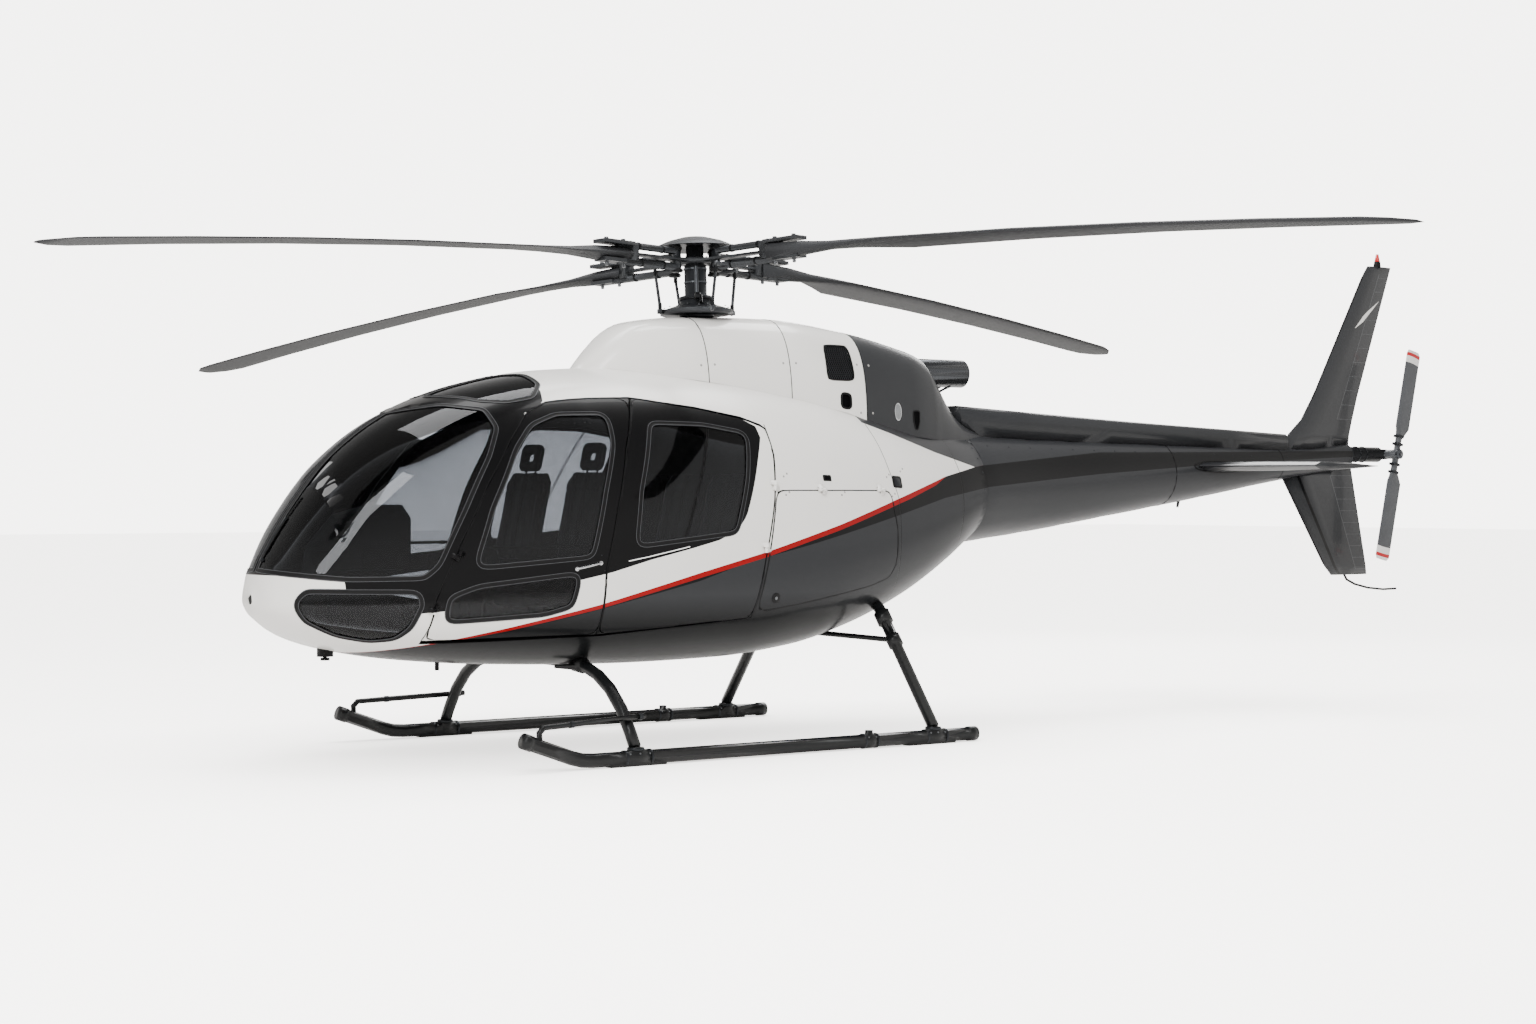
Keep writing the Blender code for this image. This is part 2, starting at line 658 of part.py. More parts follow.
def hinge_bars(shop, row, side):
    """The fixed barrels with their pins, and the moving barrels, of one hinge line."""
    points, axis, leaf = hinge_frame(row, side)
    inward = Vector((0.0, -side, 0.0))
    fixed, moving = [], []
    for point in points:
        near, far = point + axis * HINGE_SPLIT, point + axis * HINGE_LENGTH
        pin = rod(shop, point - axis * (HINGE_LENGTH - 0.004), far + axis * 0.003, HINGE_PIN, sides=8)
        shop.join(pin, rod(shop, point - axis * HINGE_LENGTH, point - axis * HINGE_SPLIT, HINGE_BARREL, sides=8))
        middle = axis * (HINGE_LENGTH + HINGE_SPLIT) / 2.0
        shop.join(pin, slab(shop, point - middle, axis, leaf * -1.0, inward, HINGE_LENGTH - 0.005))
        fixed.append(pin)
        barrel = rod(shop, near, far, HINGE_BARREL, sides=8)
        shop.join(barrel, slab(shop, point + middle, axis, leaf, inward, HINGE_LENGTH - 0.005))
        bore = rod(shop, near - axis * 0.01, far + axis * 0.01, HINGE_PIN + 0.0012, sides=8)
        moving.append(shop.cut(barrel, bore))
    return fixed, moving


def slab(shop, start, axis, leaf, inward, length):
    """A hinge leaf from the barrel along the skin, with its foot sunk in the skin."""
    across = (leaf - axis * leaf.dot(axis)).normalized()
    normal = axis.cross(across).normalized()
    if normal.dot(inward) < 0.0:
        normal = -normal
    corners = []
    for s in (-0.5, 0.5):
        base = start + axis * length * s
        corners.append([base + across * a + normal * n for a, n in HINGE_LEAF])
    return loft(shop, corners)


def region_below(shop, line, grow=0.0):
    """Everything under a side seam line, across the whole width."""
    outline = [(p[0], p[1] + grow) for p in line]
    outline[0] = (outline[0][0] - grow, outline[0][1])
    outline += [(line[-1][0] + 0.25 + grow, 0.30), (line[0][0] - grow, 0.30)]
    rings = [[Vector((p[0], y, p[1])) for p in outline] for y in (-FAR, FAR)]
    return loft(shop, rings)


def region_ahead(shop, line, grow=0.0):
    """Everything ahead of a side seam line, across the whole width."""
    outline = [(p[0] + grow, p[1]) for p in line] + [(-FAR - 1.0, line[-1][1]), (-FAR - 1.0, line[0][1])]
    rings = [[Vector((p[0], y, p[1])) for p in outline] for y in (-FAR, FAR)]
    return loft(shop, rings)


def shell_volume(shop):
    """The hull's skin, open at its aft end."""
    skin = hull_volume(shop)
    return shop.cut(skin, hull_volume(shop, WALL, 0.05))


def door_outline(name):
    """The outline of a side door by its name."""
    return {"door_front": FRONT_DOOR, "door_rear": REAR_DOOR, "baggage_door": BAGGAGE_DOOR}[name]


def door_windows(name):
    """The windows of a side door: pane name and outline."""
    return {"door_front": (("upper_pane", FRONT_UPPER_WINDOW), ("lower_pane", FRONT_LOWER_WINDOW)),
            "door_rear": (("pane", REAR_WINDOW),), "baggage_door": ()}[name]


def side_name(side):
    """The word for a side."""
    return "port" if side < 0 else "starboard"


def pane(shop, cutter):
    """A sheet of glazing where the cutter meets the skin."""
    sheet = hull_volume(shop, GLASS_OUTER_INSET)
    shop.inside(sheet, cutter)
    return shop.cut(sheet, hull_volume(shop, GLASS_OUTER_INSET + GLASS_THICKNESS))


def build_doors(shop, hinges):
    """Four cabin doors with their panes, and two baggage doors."""
    for row in HINGES:
        name, edge = row[0], row[3]
        outline = rounded(door_outline(name))
        look = "white_paint" if name == "baggage_door" else "black_paint"
        for side in (-1, 1):
            label = f"{name}_{side_name(side)}"
            points, axis, _ = hinge_frame(row, side)
            sense = side * (-1 if edge == "rear" else 1)
            carrier = shop.axis_empty(f"{label}_axis", points[0], axis * sense)
            door = shell_volume(shop)
            shop.inside(door, side_prism(shop, outline, side))
            for pane_name, window in door_windows(name):
                shape = rounded(window)
                shop.cut(door, side_prism(shop, shape, side))
                glass = pane(shop, side_prism(shop, grown(shape, -GAP), side))
                shop.part(glass, f"{label}_{pane_name}", "tinted_glass", carrier)
            shop.join(door, *hinges[label][1])
            shop.part(door, label, look, carrier)


def beside_post(shop, cutter, side, reach):
    """Keep what of a window's cutter lies to one side of the centre post."""
    near, far = sorted((side * reach, side * FAR))
    return shop.inside(cutter, box(shop, (-FAR - 1.0, near, 0.0), (FAR, far, FAR)))


def build_cabin(shop, hinges):
    """Belly, canopy frame, rear fuselage, floor, bulkhead and the fixed glazing."""
    belly = hull_volume(shop)
    shop.inside(belly, region_below(shop, BELLY_SEAM))
    room = hull_volume(shop, WALL, 0.05)
    shop.inside(room, box(shop, (-FAR - 1.0, -FAR, FLOOR_UNDERSIDE), (FAR, FAR, FAR)))
    shop.cut(belly, room)
    for path, station, fittings in ((FRONT_TUBE, FRONT_TUBE_STATION, FRONT_FITTINGS),
                                    (REAR_TUBE, REAR_TUBE_STATION, REAR_FITTINGS)):
        shop.cut(belly, cross_tube(shop, path, station, CROSS_TUBE_RADIUS + 0.0006))
        shop.cut(belly, *fitting_bars(shop, fittings, 0.0006))
    shop.join(belly, rod(shop, (-1.961, 0.0, 0.640), (-1.961, 0.0, 0.540), 0.014, sides=12))
    shop.part(belly, "belly_structure", "grey_paint")

    frame = shell_volume(shop)
    shop.inside(frame, region_ahead(shop, CABIN_SEAM))
    shop.cut(frame, region_below(shop, BELLY_SEAM, GAP))
    for side in (-1, 1):
        shop.cut(frame, side_prism(shop, [Vector(p) for p in CABIN_OPENING], side))
        for outline, name, maker in ((WINDSCREEN, "windscreen", diagonal_prism),
                                     (CHIN_WINDOW, "chin_window", diagonal_prism)):
            shape = rounded(outline)
            shop.cut(frame, beside_post(shop, maker(shop, shape, side), side, CENTRE_POST))
            glass = pane(shop, beside_post(shop, maker(shop, grown(shape, -GAP), side), side, CENTRE_POST + GAP))
            shop.part(glass, f"{name}_{side_name(side)}", "tinted_glass")
        shape = rounded(ROOF_WINDOW)
        shop.cut(frame, top_prism(shop, shape, side, 1.9, 2.6))
        glass = pane(shop, top_prism(shop, grown(shape, -GAP), side, 1.9, 2.6))
        shop.part(glass, f"roof_window_{side_name(side)}", "tinted_glass")
        shop.join(frame, *hinges[f"door_front_{side_name(side)}"][0])
    shop.join(frame, rod(shop, (-2.731, 0.0, 0.720), (-2.731, 0.0, 0.655), 0.050))
    shop.join(frame, rod(shop, (-2.731, 0.0, 0.665), (-2.731, 0.0, 0.640), 0.012, sides=6))
    shop.join(frame, rod(shop, (-2.731, 0.0, 0.648), (-2.731, 0.0, 0.632), 0.028))
    shop.part(frame, "canopy_frame", "black_paint")

    rear = shell_volume(shop)
    shop.cut(rear, region_ahead(shop, CABIN_SEAM, GAP))
    shop.cut(rear, region_below(shop, BELLY_SEAM, GAP))
    for side in (-1, 1):
        opening = grown(rounded(BAGGAGE_DOOR), DOOR_CLEARANCE)
        shop.cut(rear, side_prism(shop, opening, side))
        shop.join(rear, *hinges[f"door_rear_{side_name(side)}"][0])
        shop.join(rear, *hinges[f"baggage_door_{side_name(side)}"][0])
    shop.part(rear, "rear_fuselage", "white_paint")

    floor = hull_volume(shop, WALL + DOOR_CLEARANCE)
    shop.inside(floor, box(shop, (-2.95, -FAR, FLOOR_UNDERSIDE + GAP), (BULKHEAD_STATION - GAP, FAR, FLOOR_TOP)))
    shop.part(floor, "cabin_floor", "trim_grey")
    wall = hull_volume(shop, WALL + 0.009)
    shop.inside(wall, box(shop, (BULKHEAD_STATION, -FAR, FLOOR_UNDERSIDE + GAP), (BULKHEAD_STATION + 0.02, FAR, FAR)))
    shop.part(wall, "aft_bulkhead", "trim_grey")


def cowl_section(x, inset=0.0, points=16):
    """One ring of the cowl: an arch with a flat foot."""
    high, half = monotone(COWL, x)
    ring = []
    for k in range(points + 1):
        angle = math.pi * k / points
        c, s = math.cos(angle), math.sin(angle)
        power = 2.0 / COWL_ROUNDNESS
        y = (half - inset) * math.copysign(abs(c) ** power, c)
        z = COWL_FOOT + (high - COWL_FOOT - inset) * abs(s) ** power
        ring.append(Vector((x, y, z)))
    return ring


def cowl_volume(shop, inset=0.0):
    """The whole cowl as one solid."""
    xs = [x for x in stations(COWL)]
    if inset > 0.0:
        xs = [x + inset if k == 0 else x for k, x in enumerate(xs)]
        xs[-1] -= inset
    return loft(shop, [cowl_section(x, inset) for x in xs], True)


def build_cowl(shop):
    """Four cowl panels with their openings, the engine, the exhaust and the gearbox."""
    for name, first, last in COWL_PANELS:
        panel = cowl_volume(shop)
        shop.cut(panel, cowl_volume(shop, COWL_WALL))
        shop.inside(panel, box(shop, (first + GAP, -FAR, 1.0), (last, FAR, FAR)))
        shop.cut(panel, hull_volume(shop, -GAP))
        if name == "cowl_middle":
            shop.cut(panel, lean_object(rod(shop, (0, 0, -0.8), (0, 0, 0.2), MAST_HOLE_RADIUS, sides=24)))
        if name == "cowl_rear":
            for side in (-1, 1):
                shop.cut(panel, side_prism(shop, rounded(GRILLE, 0.02), side, 0.2))
                shop.cut(panel, side_prism(shop, rounded(COWL_PORT, 0.03), side, 0.2))
        if name == "cowl_exhaust":
            shop.cut(panel, boom_cutter(shop))
            shop.cut(panel, exhaust_bar(shop, EXHAUST_RADIUS + GAP, 1.0, 3.0))
        shop.part(panel, name, "grey_paint" if name == "cowl_exhaust" else "white_paint")

    (first, last), half, top = ENGINE
    engine = box(shop, (first, -half, COWL_FOOT), (last, half, top))
    shop.cut(engine, hull_volume(shop, -GAP))
    shop.part(engine, "engine_block", "dark_steel")
    pipe = exhaust_bar(shop, EXHAUST_RADIUS, last + GAP, EXHAUST_END)
    shop.cut(pipe, exhaust_bar(shop, EXHAUST_RADIUS - EXHAUST_WALL, 1.0, 3.0))
    shop.part(pipe, "exhaust_pipe", "steel")

    gearbox = lean_object(box(shop, (-GEARBOX_HALF, -GEARBOX_HALF, -1.2), (GEARBOX_HALF, GEARBOX_HALF, GEARBOX_TOP)))
    shop.cut(gearbox, hull_volume(shop, -GAP))
    shop.part(gearbox, "main_gearbox", "dark_steel")
    housing = turned(shop, ((0.050, -0.362), (0.116, -0.362), (0.116, -0.380), (0.100, -0.390),
                            (0.100, GEARBOX_TOP + GAP), (0.050, GEARBOX_TOP + GAP)))
    shop.part(lean_object(housing), "mast_housing", "dark_steel")


def exhaust_bar(shop, radius, first, last):
    """A cylinder on the exhaust's centre line."""
    return rod(shop, (first, 0.0, EXHAUST_HEIGHT), (last, 0.0, EXHAUST_HEIGHT), radius, sides=24)


def fin_volume(shop, table, grow=0.0):
    """An upright fin as a solid through its sections."""
    rings = []
    for z, front, back, thickness in table:
        chord = back - front
        foil = aerofoil(chord + 2 * grow, thickness + 2 * grow, 0.0)
        rings.append([Vector((front - grow + a, b, z)) for a, b in foil])
    return loft(shop, rings)


def build_tail(shop):
    """Boom, spine fairing, fins, stabilisers, tail gearbox, bumper and beacon."""
    boom = boom_volume(shop)
    hollow = boom_volume(shop, BOOM_WALL, BOOM_START - 0.05, BOOM_INNER_END)
    shop.cut(boom, hollow)
    shop.join(boom, rod(shop, (4.560, 0.0, 1.610), (4.545, 0.0, 1.545), 0.014, 0.010, sides=12))
    shop.part(boom, "tail_boom", "grey_paint")

    rings = []
    for x in stations(SPINE, 0.80):
        high, half = monotone(SPINE, x)
        low = monotone(BOOM, x)[1] - 0.12
        rings.append([Vector((x, y * half, low + (high - low) * h)) for y, h in
                      ((-1.0, 0.0), (-0.98, 0.75), (-0.85, 0.93), (-0.6, 1.0), (0.6, 1.0), (0.85, 0.93),
                       (0.98, 0.75), (1.0, 0.0))])
    spine = loft(shop, rings)
    shop.cut(spine, boom_cutter(shop))
    shop.cut(spine, box(shop, (0.0, -1.0, 1.0), (2.2205, 1.0, 3.0)))
    shop.cut(spine, grown_cowl(shop))
    shop.part(spine, "spine_fairing", "grey_paint")

    for name, table in (("upper_fin", UPPER_FIN), ("lower_fin", LOWER_FIN)):
        fin = fin_volume(shop, table)
        shop.cut(fin, boom_cutter(shop))
        shop.cut(fin, box(shop, (5.0, -1.0, 2.0), (5.7203, 1.0, 2.5)))
        shop.cut(fin, tail_gearbox_bar(shop, GAP))
        shop.part(fin, name, "grey_paint")

    for side in (-1, 1):
        rings = []
        for y, front, back, thickness in STABILISER:
            foil = aerofoil(back - front, thickness, 0.0)
            rings.append([Vector((front + a, side * y, STABILISER_HEIGHT - b)) for a, b in foil])
        wing = loft(shop, rings)
        shop.cut(wing, boom_cutter(shop))
        shop.part(wing, f"stabiliser_{side_name(side)}", "grey_paint")

    x, y, z = TAIL_HUB
    gearbox = tail_gearbox_bar(shop)
    shop.join(gearbox, rod(shop, (x, 0.02, z), (x, y + 0.085, z), 0.050, 0.040, sides=20))
    shop.part(gearbox, "tail_gearbox", "dark_steel")

    foot = LOWER_FIN[-1][0]
    bumper = tube(shop, ((6.470, 0.0, foot - 0.0003), (6.500, 0.0, 0.945), (6.600, 0.0, 0.905),
                         (6.760, 0.0, 0.872), (6.950, 0.0, 0.855), (7.110, 0.0, 0.858)), 0.010, 1)
    shop.cut(bumper, box(shop, (6.0, -1.0, foot - GAP), (7.0, 1.0, 1.2)))
    shop.part(bumper, "tail_bumper", "dark_steel")
    top = UPPER_FIN[-1][0]
    beacon = rod(shop, (6.870, 0.0, top + GAP), (6.870, 0.0, top + 0.045), 0.026, 0.018, sides=20)
    shop.join(beacon, rod(shop, (6.870, 0.0, top + 0.040), (6.870, 0.0, top + 0.105), 0.024, 0.012, sides=20))
    shop.part(beacon, "tail_beacon", "red_lens")


def tail_gearbox_bar(shop, grow=0.0):
    """The round body of the tail gearbox, from the boom's end aft."""
    x, _, z = TAIL_HUB
    return rod(shop, (BOOM[-1][0] + GAP - grow, 0.0, z), (x + 0.075, 0.0, z), 0.062 + grow, sides=20)


def grown_cowl(shop):
    """The cowl's outer volume with the usual gap around it."""
    rings = [cowl_section(x, -GAP) for x in stations(COWL)]
    return loft(shop, [*rings, [point + Vector((GAP, 0.0, 0.0)) for point in rings[-1]]], True)


def build_main_rotor(shop):
    """Mast, swashplate, star and dome in one piece, and four blades."""
    carrier = shop.axis_empty("main_rotor_axis", (0.0, 0.0, HUB_HEIGHT), lean((0, 0, 1)) - lean((0, 0, 0)))
    head = turned(shop, ((0.010, 0.100), (0.060, 0.100), (0.060, -0.020), (0.075, -0.030), (0.075, -0.230),
                         (0.110, -0.240), (0.110, -0.295), (0.150, -0.305), (0.245, -0.335), (0.245, -0.362 + 0.0008),
                         (0.010, -0.362 + 0.0008)))
    dome = turned(shop, ((0.010, 0.163), (0.090, 0.157), (0.190, 0.130), (0.255, 0.102), (DOME_RADIUS, 0.088),
                         (0.262, 0.085), (0.180, 0.105), (0.055, 0.110), (0.055, 0.090), (0.010, 0.090)))
    star = turned(shop, ((0.010, 0.009), (0.150, 0.009), (0.150, -0.017), (0.010, -0.017)))
    shop.join(head, dome, star)
    for k in range(BLADE_COUNT):
        turn = Matrix.Rotation(ROTOR_AZIMUTH + math.pi + k * math.tau / BLADE_COUNT, 4, "Z")
        arm = head_arm(shop)
        arm.data.transform(turn)
        shop.join(head, arm, solver="MANIFOLD")
        blade_rings = []
        for radius, chord, thickness, ahead, pitch in BLADE:
            drop = -BLADE_DROOP * (radius / ROTOR_RADIUS) ** BLADE_DROOP_POWER
            twist = Matrix.Rotation(math.radians(pitch), 3, "X")
            blade_rings.append([Vector((radius, 0.0, drop)) + twist @ Vector((0.0, a, b))
                                for a, b in aerofoil(chord, thickness, ahead)])
        blade = loft(shop, blade_rings)
        shop.cut(blade, *blade_holders(shop, GAP))
        blade.data.transform(turn)
        lean_object(blade)
        shop.part(blade, f"rotor_blade_{k + 1}", "rotor_grey", carrier)
    lean_object(head)
    shop.part(head, "rotor_head", "dark_steel", carrier)


def head_arm(shop):
    """One arm of the hub: the star's arm, the holders of its blade, its pins and its pitch link."""
    rings = []
    for radius, half in ((0.085, 0.070), (0.190, 0.062), (0.300, 0.042), (0.610, 0.030)):
        rings.append([Vector((radius, y, z)) for y, z in ((-half, -0.012), (half, -0.012), (half, 0.004),
                                                          (-half, 0.004))])
    arm = loft(shop, rings)
    return shop.join(arm, box(shop, (0.600, -0.046, -0.050), (0.655, 0.046, 0.048)),
                     *blade_holders(shop),
                     rod(shop, (0.185, 0.0, -0.090), (0.185, 0.0, 0.096), 0.031, sides=8),
                     rod(shop, (0.700, 0.0, 0.060), (0.700, 0.0, 0.088), 0.014, sides=8),
                     rod(shop, (0.860, 0.0, 0.060), (0.860, 0.0, 0.088), 0.014, sides=8),
                     box(shop, (0.262, -0.125, -0.066), (0.306, -0.020, -0.042)),
                     rod(shop, (0.235, -0.11, -0.345), (0.285, -0.11, -0.052), 0.011, sides=6),
                     box(shop, (0.100, -0.125, -0.360), (0.255, -0.095, -0.330)), solver="MANIFOLD")


def blade_holders(shop, grow=0.0):
    """The two round beams and the two plates that hold one blade."""
    first, last = BEAM_SPAN
    out = [rod(shop, (first, 0.0, z), (last + grow, 0.0, z), radius + grow, sides=8) for z, radius in BEAMS]
    for start, low, high, half in PLATES:
        out.append(box(shop, (start - grow, -half - grow, low - grow), (PLATE_END + grow, half + grow, high + grow)))
    return out


def build_tail_rotor(shop):
    """Tail rotor hub and both blades in one piece."""
    hub = Vector(TAIL_HUB)
    carrier = shop.axis_empty("tail_rotor_axis", hub, (0.0, -1.0, 0.0))
    rotor = rod(shop, hub + Vector((0.0, 0.0845, 0.0)), hub + Vector((0.0, -0.055, 0.0)), 0.038, sides=20)
    for sign in (-1.0, 1.0):
        rings = []
        for radius, chord, thickness in ((0.02, 0.060, 0.050), (0.130, 0.060, 0.045), (0.230, TAIL_CHORD, 0.022),
                                         (TAIL_RADIUS - 0.03, TAIL_CHORD, 0.018), (TAIL_RADIUS, TAIL_CHORD - 0.04, 0.010)):
            rings.append([Vector((a, b - 0.012, sign * radius)) for a, b in aerofoil(chord, thickness, 0.35)])
        blade = loft(shop, rings)
        blade.data.transform(Matrix.Translation(hub) @ Matrix.Rotation(TAIL_LEAN, 4, "Y"))
        shop.join(rotor, blade)
    shop.part(rotor, "tail_rotor", "rotor_grey", carrier)


def cross_tube(shop, path, station, radius):
    """A cross tube through both sides of the hull."""
    right = [(station, y, z) for y, z in path]
    left = [(station, -y, z) for y, z in reversed(path)]
    return tube(shop, right + left, radius)


def build_gear(shop):
    """Two skids with collars, shoes and step bars, and two cross tubes with their fittings."""
    for side in (-1, 1):
        y = side * SKID_Y
        skid = tube(shop, [(x, y, z) for x, z in SKID_PATH], SKID_RADIUS)
        for first, last in (*COLLARS, SKID_CAP):
            shop.join(skid, rod(shop, (first, y, SKID_CENTRE), (last, y, SKID_CENTRE), COLLAR_RADIUS))
        for x in (FRONT_TUBE_STATION, REAR_TUBE_STATION):
            shop.join(skid, rod(shop, (x, y - side * 0.012, 0.040), (x, y - side * 0.012, SADDLE_TOP), 0.050, sides=20))
        shop.join(skid, rod(shop, (CLAMP_STATION, y, 0.060), (CLAMP_STATION, y, 0.118), 0.026, sides=12))
        (x1, z1), (x2, z2) = SKID_PATH[-2:]
        shop.join(skid, rod(shop, (x2 + 0.035, y, z2 + 0.035 * (z2 - z1) / (x2 - x1)),
                            (x2 - 0.030, y, z2 - 0.030 * (z2 - z1) / (x2 - x1)), COLLAR_RADIUS))
        for first, last in ((-1.45, -1.05), (0.85, 1.25)):
            shop.join(skid, box(shop, (first, y - 0.030, 0.0), (last, y + 0.030, 0.020)))
        shop.join(skid, tube(shop, [(x, side * along, z) for x, along, z in STEP_BAR], 0.019, 1))
        shop.part(skid, f"skid_{side_name(side)}", "skid_black")

    for name, path, station, fittings in (("front", FRONT_TUBE, FRONT_TUBE_STATION, FRONT_FITTINGS),
                                          ("rear", REAR_TUBE, REAR_TUBE_STATION, REAR_FITTINGS)):
        bar = cross_tube(shop, path, station, CROSS_TUBE_RADIUS)
        shop.join(bar, *fitting_bars(shop, fittings))
        shop.part(trim_tube_feet(shop, bar), f"cross_tube_{name}", "skid_black")


def fitting_bars(shop, rows, grow=0.0):
    """The round fittings of a cross tube on both sides, in their order."""
    out = []
    for start, end, first, last in rows:
        for side in (-1, 1):
            ends = [Vector((p[0], side * p[1], p[2])) for p in (start, end)]
            run = (ends[1] - ends[0]).normalized() * grow
            out.append(rod(shop, ends[0] - run, ends[1] + run, first + grow, last + grow))
    return out


def trim_tube_feet(shop, item):
    """Cut a cross tube level with the tops of its saddles."""
    return shop.cut(item, box(shop, (-FAR, -FAR, -1.0), (FAR, FAR, SADDLE_TOP + GAP)))


def seat(shop, x, y, width, tall):
    """A plain seat: a cushion, a leaning back and a plinth in one outline."""
    outline = ((x - 0.26, FLOOR_TOP + GAP), (x - 0.26, 1.150), (x - 0.22, 1.200), (x + 0.16, 1.160),
               (x + 0.34, tall), (x + 0.46, tall), (x + 0.30, 1.100), (x + 0.20, FLOOR_TOP + GAP))
    rings = [[Vector((px, y + side * width / 2.0, pz)) for px, pz in outline] for side in (-1, 1)]
    return loft(shop, rings)


def build_furniture(shop):
    """Two front seats, the rear bench and the instrument console."""
    for side in (-1, 1):
        item = seat(shop, SEAT_STATION, side * SEAT_Y, SEAT_WIDTH, 1.990)
        shop.part(item, f"seat_front_{side_name(side)}", "seat_leather")
    shop.part(seat(shop, BENCH_STATION, 0.0, 1.500, 1.900), "rear_bench", "seat_leather")
    outline = ((-2.80, FLOOR_TOP + GAP), (-2.82, 1.130), (-2.79, 1.300), (-2.42, 1.330), (-2.50, 1.050),
               (-1.95, 0.960), (-1.90, FLOOR_TOP + GAP))
    rings = [[Vector((x, side * 0.16, z)) for x, z in outline] for side in (-1, 1)]
    console = loft(shop, rings)
    hood = [[Vector((x, y, z)) for x, z in ((back, low), (front, low), (front, low + rise * 0.35),
                                            (front + 0.18, low + rise * 0.85), (back - 0.06, low + rise), (back, low + rise))]
            for y, front, back, low, rise in HOOD]
    shop.join(console, loft(shop, hood))
    shop.part(console, "instrument_console", "trim_grey")


def main():
    """Build every piece."""
    clear_scene()
    shop = Workshop()
    hinges = {}
    for row in HINGES:
        for side in (-1, 1):
            hinges[f"{row[0]}_{side_name(side)}"] = hinge_bars(shop, row, side)
    build_cabin(shop, hinges)
    build_doors(shop, hinges)
    build_cowl(shop)
    build_tail(shop)
    build_main_rotor(shop)
    build_tail_rotor(shop)
    build_gear(shop)
    build_furniture(shop)
    shop.origin.location = (HUB_STATION, 0.0, 0.0)


main()
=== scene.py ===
"""Looks of a light turbine helicopter on skids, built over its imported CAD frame.

Metres. +X points aft, +Y to starboard, +Z up, and the ground is z = 0. Tables that say "station" are
measured from the main rotor's hub; HUB_STATION turns them into the frame's own x.
"""

import json
import logging
import math
from dataclasses import dataclass, field
from enum import Enum
from typing import Callable, Sequence

import bmesh
import bpy
import numpy as np
from mathutils import Matrix, Vector
from mathutils.bvhtree import BVHTree

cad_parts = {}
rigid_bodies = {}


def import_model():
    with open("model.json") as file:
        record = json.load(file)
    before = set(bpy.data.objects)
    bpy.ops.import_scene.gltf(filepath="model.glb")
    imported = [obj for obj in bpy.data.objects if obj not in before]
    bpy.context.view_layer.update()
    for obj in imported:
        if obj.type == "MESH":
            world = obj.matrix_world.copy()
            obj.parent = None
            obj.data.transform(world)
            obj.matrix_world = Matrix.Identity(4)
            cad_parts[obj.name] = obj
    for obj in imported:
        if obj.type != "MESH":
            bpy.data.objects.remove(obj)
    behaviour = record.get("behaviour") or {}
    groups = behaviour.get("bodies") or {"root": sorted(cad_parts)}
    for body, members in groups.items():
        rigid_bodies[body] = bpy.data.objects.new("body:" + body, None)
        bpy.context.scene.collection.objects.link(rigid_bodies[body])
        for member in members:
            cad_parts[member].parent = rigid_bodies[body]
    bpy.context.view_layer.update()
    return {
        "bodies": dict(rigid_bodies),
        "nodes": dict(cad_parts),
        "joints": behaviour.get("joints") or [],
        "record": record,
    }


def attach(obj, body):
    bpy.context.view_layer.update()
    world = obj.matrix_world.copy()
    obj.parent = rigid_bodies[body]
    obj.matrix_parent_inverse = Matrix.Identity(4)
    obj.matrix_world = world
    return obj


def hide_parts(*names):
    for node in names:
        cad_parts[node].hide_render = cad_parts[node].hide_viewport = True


LOG = logging.getLogger("helicopter")

Point = tuple[float, float]
Numbers = Sequence[float]
Rows = Sequence[Numbers]
Placer = Callable[[float, float, float], Vector]
Socket, Material = bpy.types.NodeSocket, bpy.types.Material
Mesh, Object = bpy.types.Mesh, bpy.types.Object

HUB_STATION = -1.050
WALL = 0.030
GLASS_OUTER = 0.004
GLASS_INNER = 0.010

# Columns: station x, lowest z, highest z, half width, z of the widest point, roundness of the
# upper half, roundness of the lower half.
HULL = (
    (-3.222, 0.985, 1.045, 0.030, 1.015, 2.0, 2.0),
    (-3.193, 0.925, 1.180, 0.180, 1.005, 2.0, 2.0),
    (-3.117, 0.855, 1.335, 0.300, 1.000, 2.1, 2.0),
    (-2.974, 0.770, 1.560, 0.450, 0.995, 2.2, 2.1),
    (-2.706, 0.690, 1.880, 0.622, 1.000, 2.2, 2.3),
    (-2.325, 0.625, 2.145, 0.770, 1.020, 2.2, 2.5),
    (-1.840, 0.583, 2.330, 0.865, 1.060, 2.3, 2.7),
    (-1.240, 0.558, 2.443, 0.925, 1.100, 2.4, 2.8),
    (-0.700, 0.548, 2.470, 0.940, 1.150, 2.4, 2.8),
    (-0.100, 0.557, 2.440, 0.925, 1.200, 2.4, 2.8),
    (0.500, 0.607, 2.372, 0.878, 1.260, 2.4, 2.6),
    (1.000, 0.716, 2.304, 0.790, 1.340, 2.3, 2.4),
    (1.500, 0.889, 2.226, 0.667, 1.440, 2.1, 2.2),
    (1.900, 1.092, 2.158, 0.550, 1.540, 2.0, 2.1),
    (2.220, 1.293, 2.090, 0.440, 1.640, 2.0, 2.0),
)
BOOM = (
    (2.2203, 1.285, 2.095, 0.425, 1.690, 2.0, 2.0),
    (2.900, 1.362, 2.075, 0.345, 1.720, 2.0, 2.0),
    (3.720, 1.473, 2.060, 0.285, 1.765, 2.0, 2.0),
    (4.790, 1.625, 2.040, 0.200, 1.830, 2.0, 2.0),
    (5.820, 1.778, 2.020, 0.122, 1.900, 2.0, 2.0),
    (6.480, 1.850, 2.060, 0.085, 1.955, 2.0, 2.0),
)
COWL_FOOT = 1.95
COWL_ROUNDNESS = 3.2
COWL_WALL = 0.012
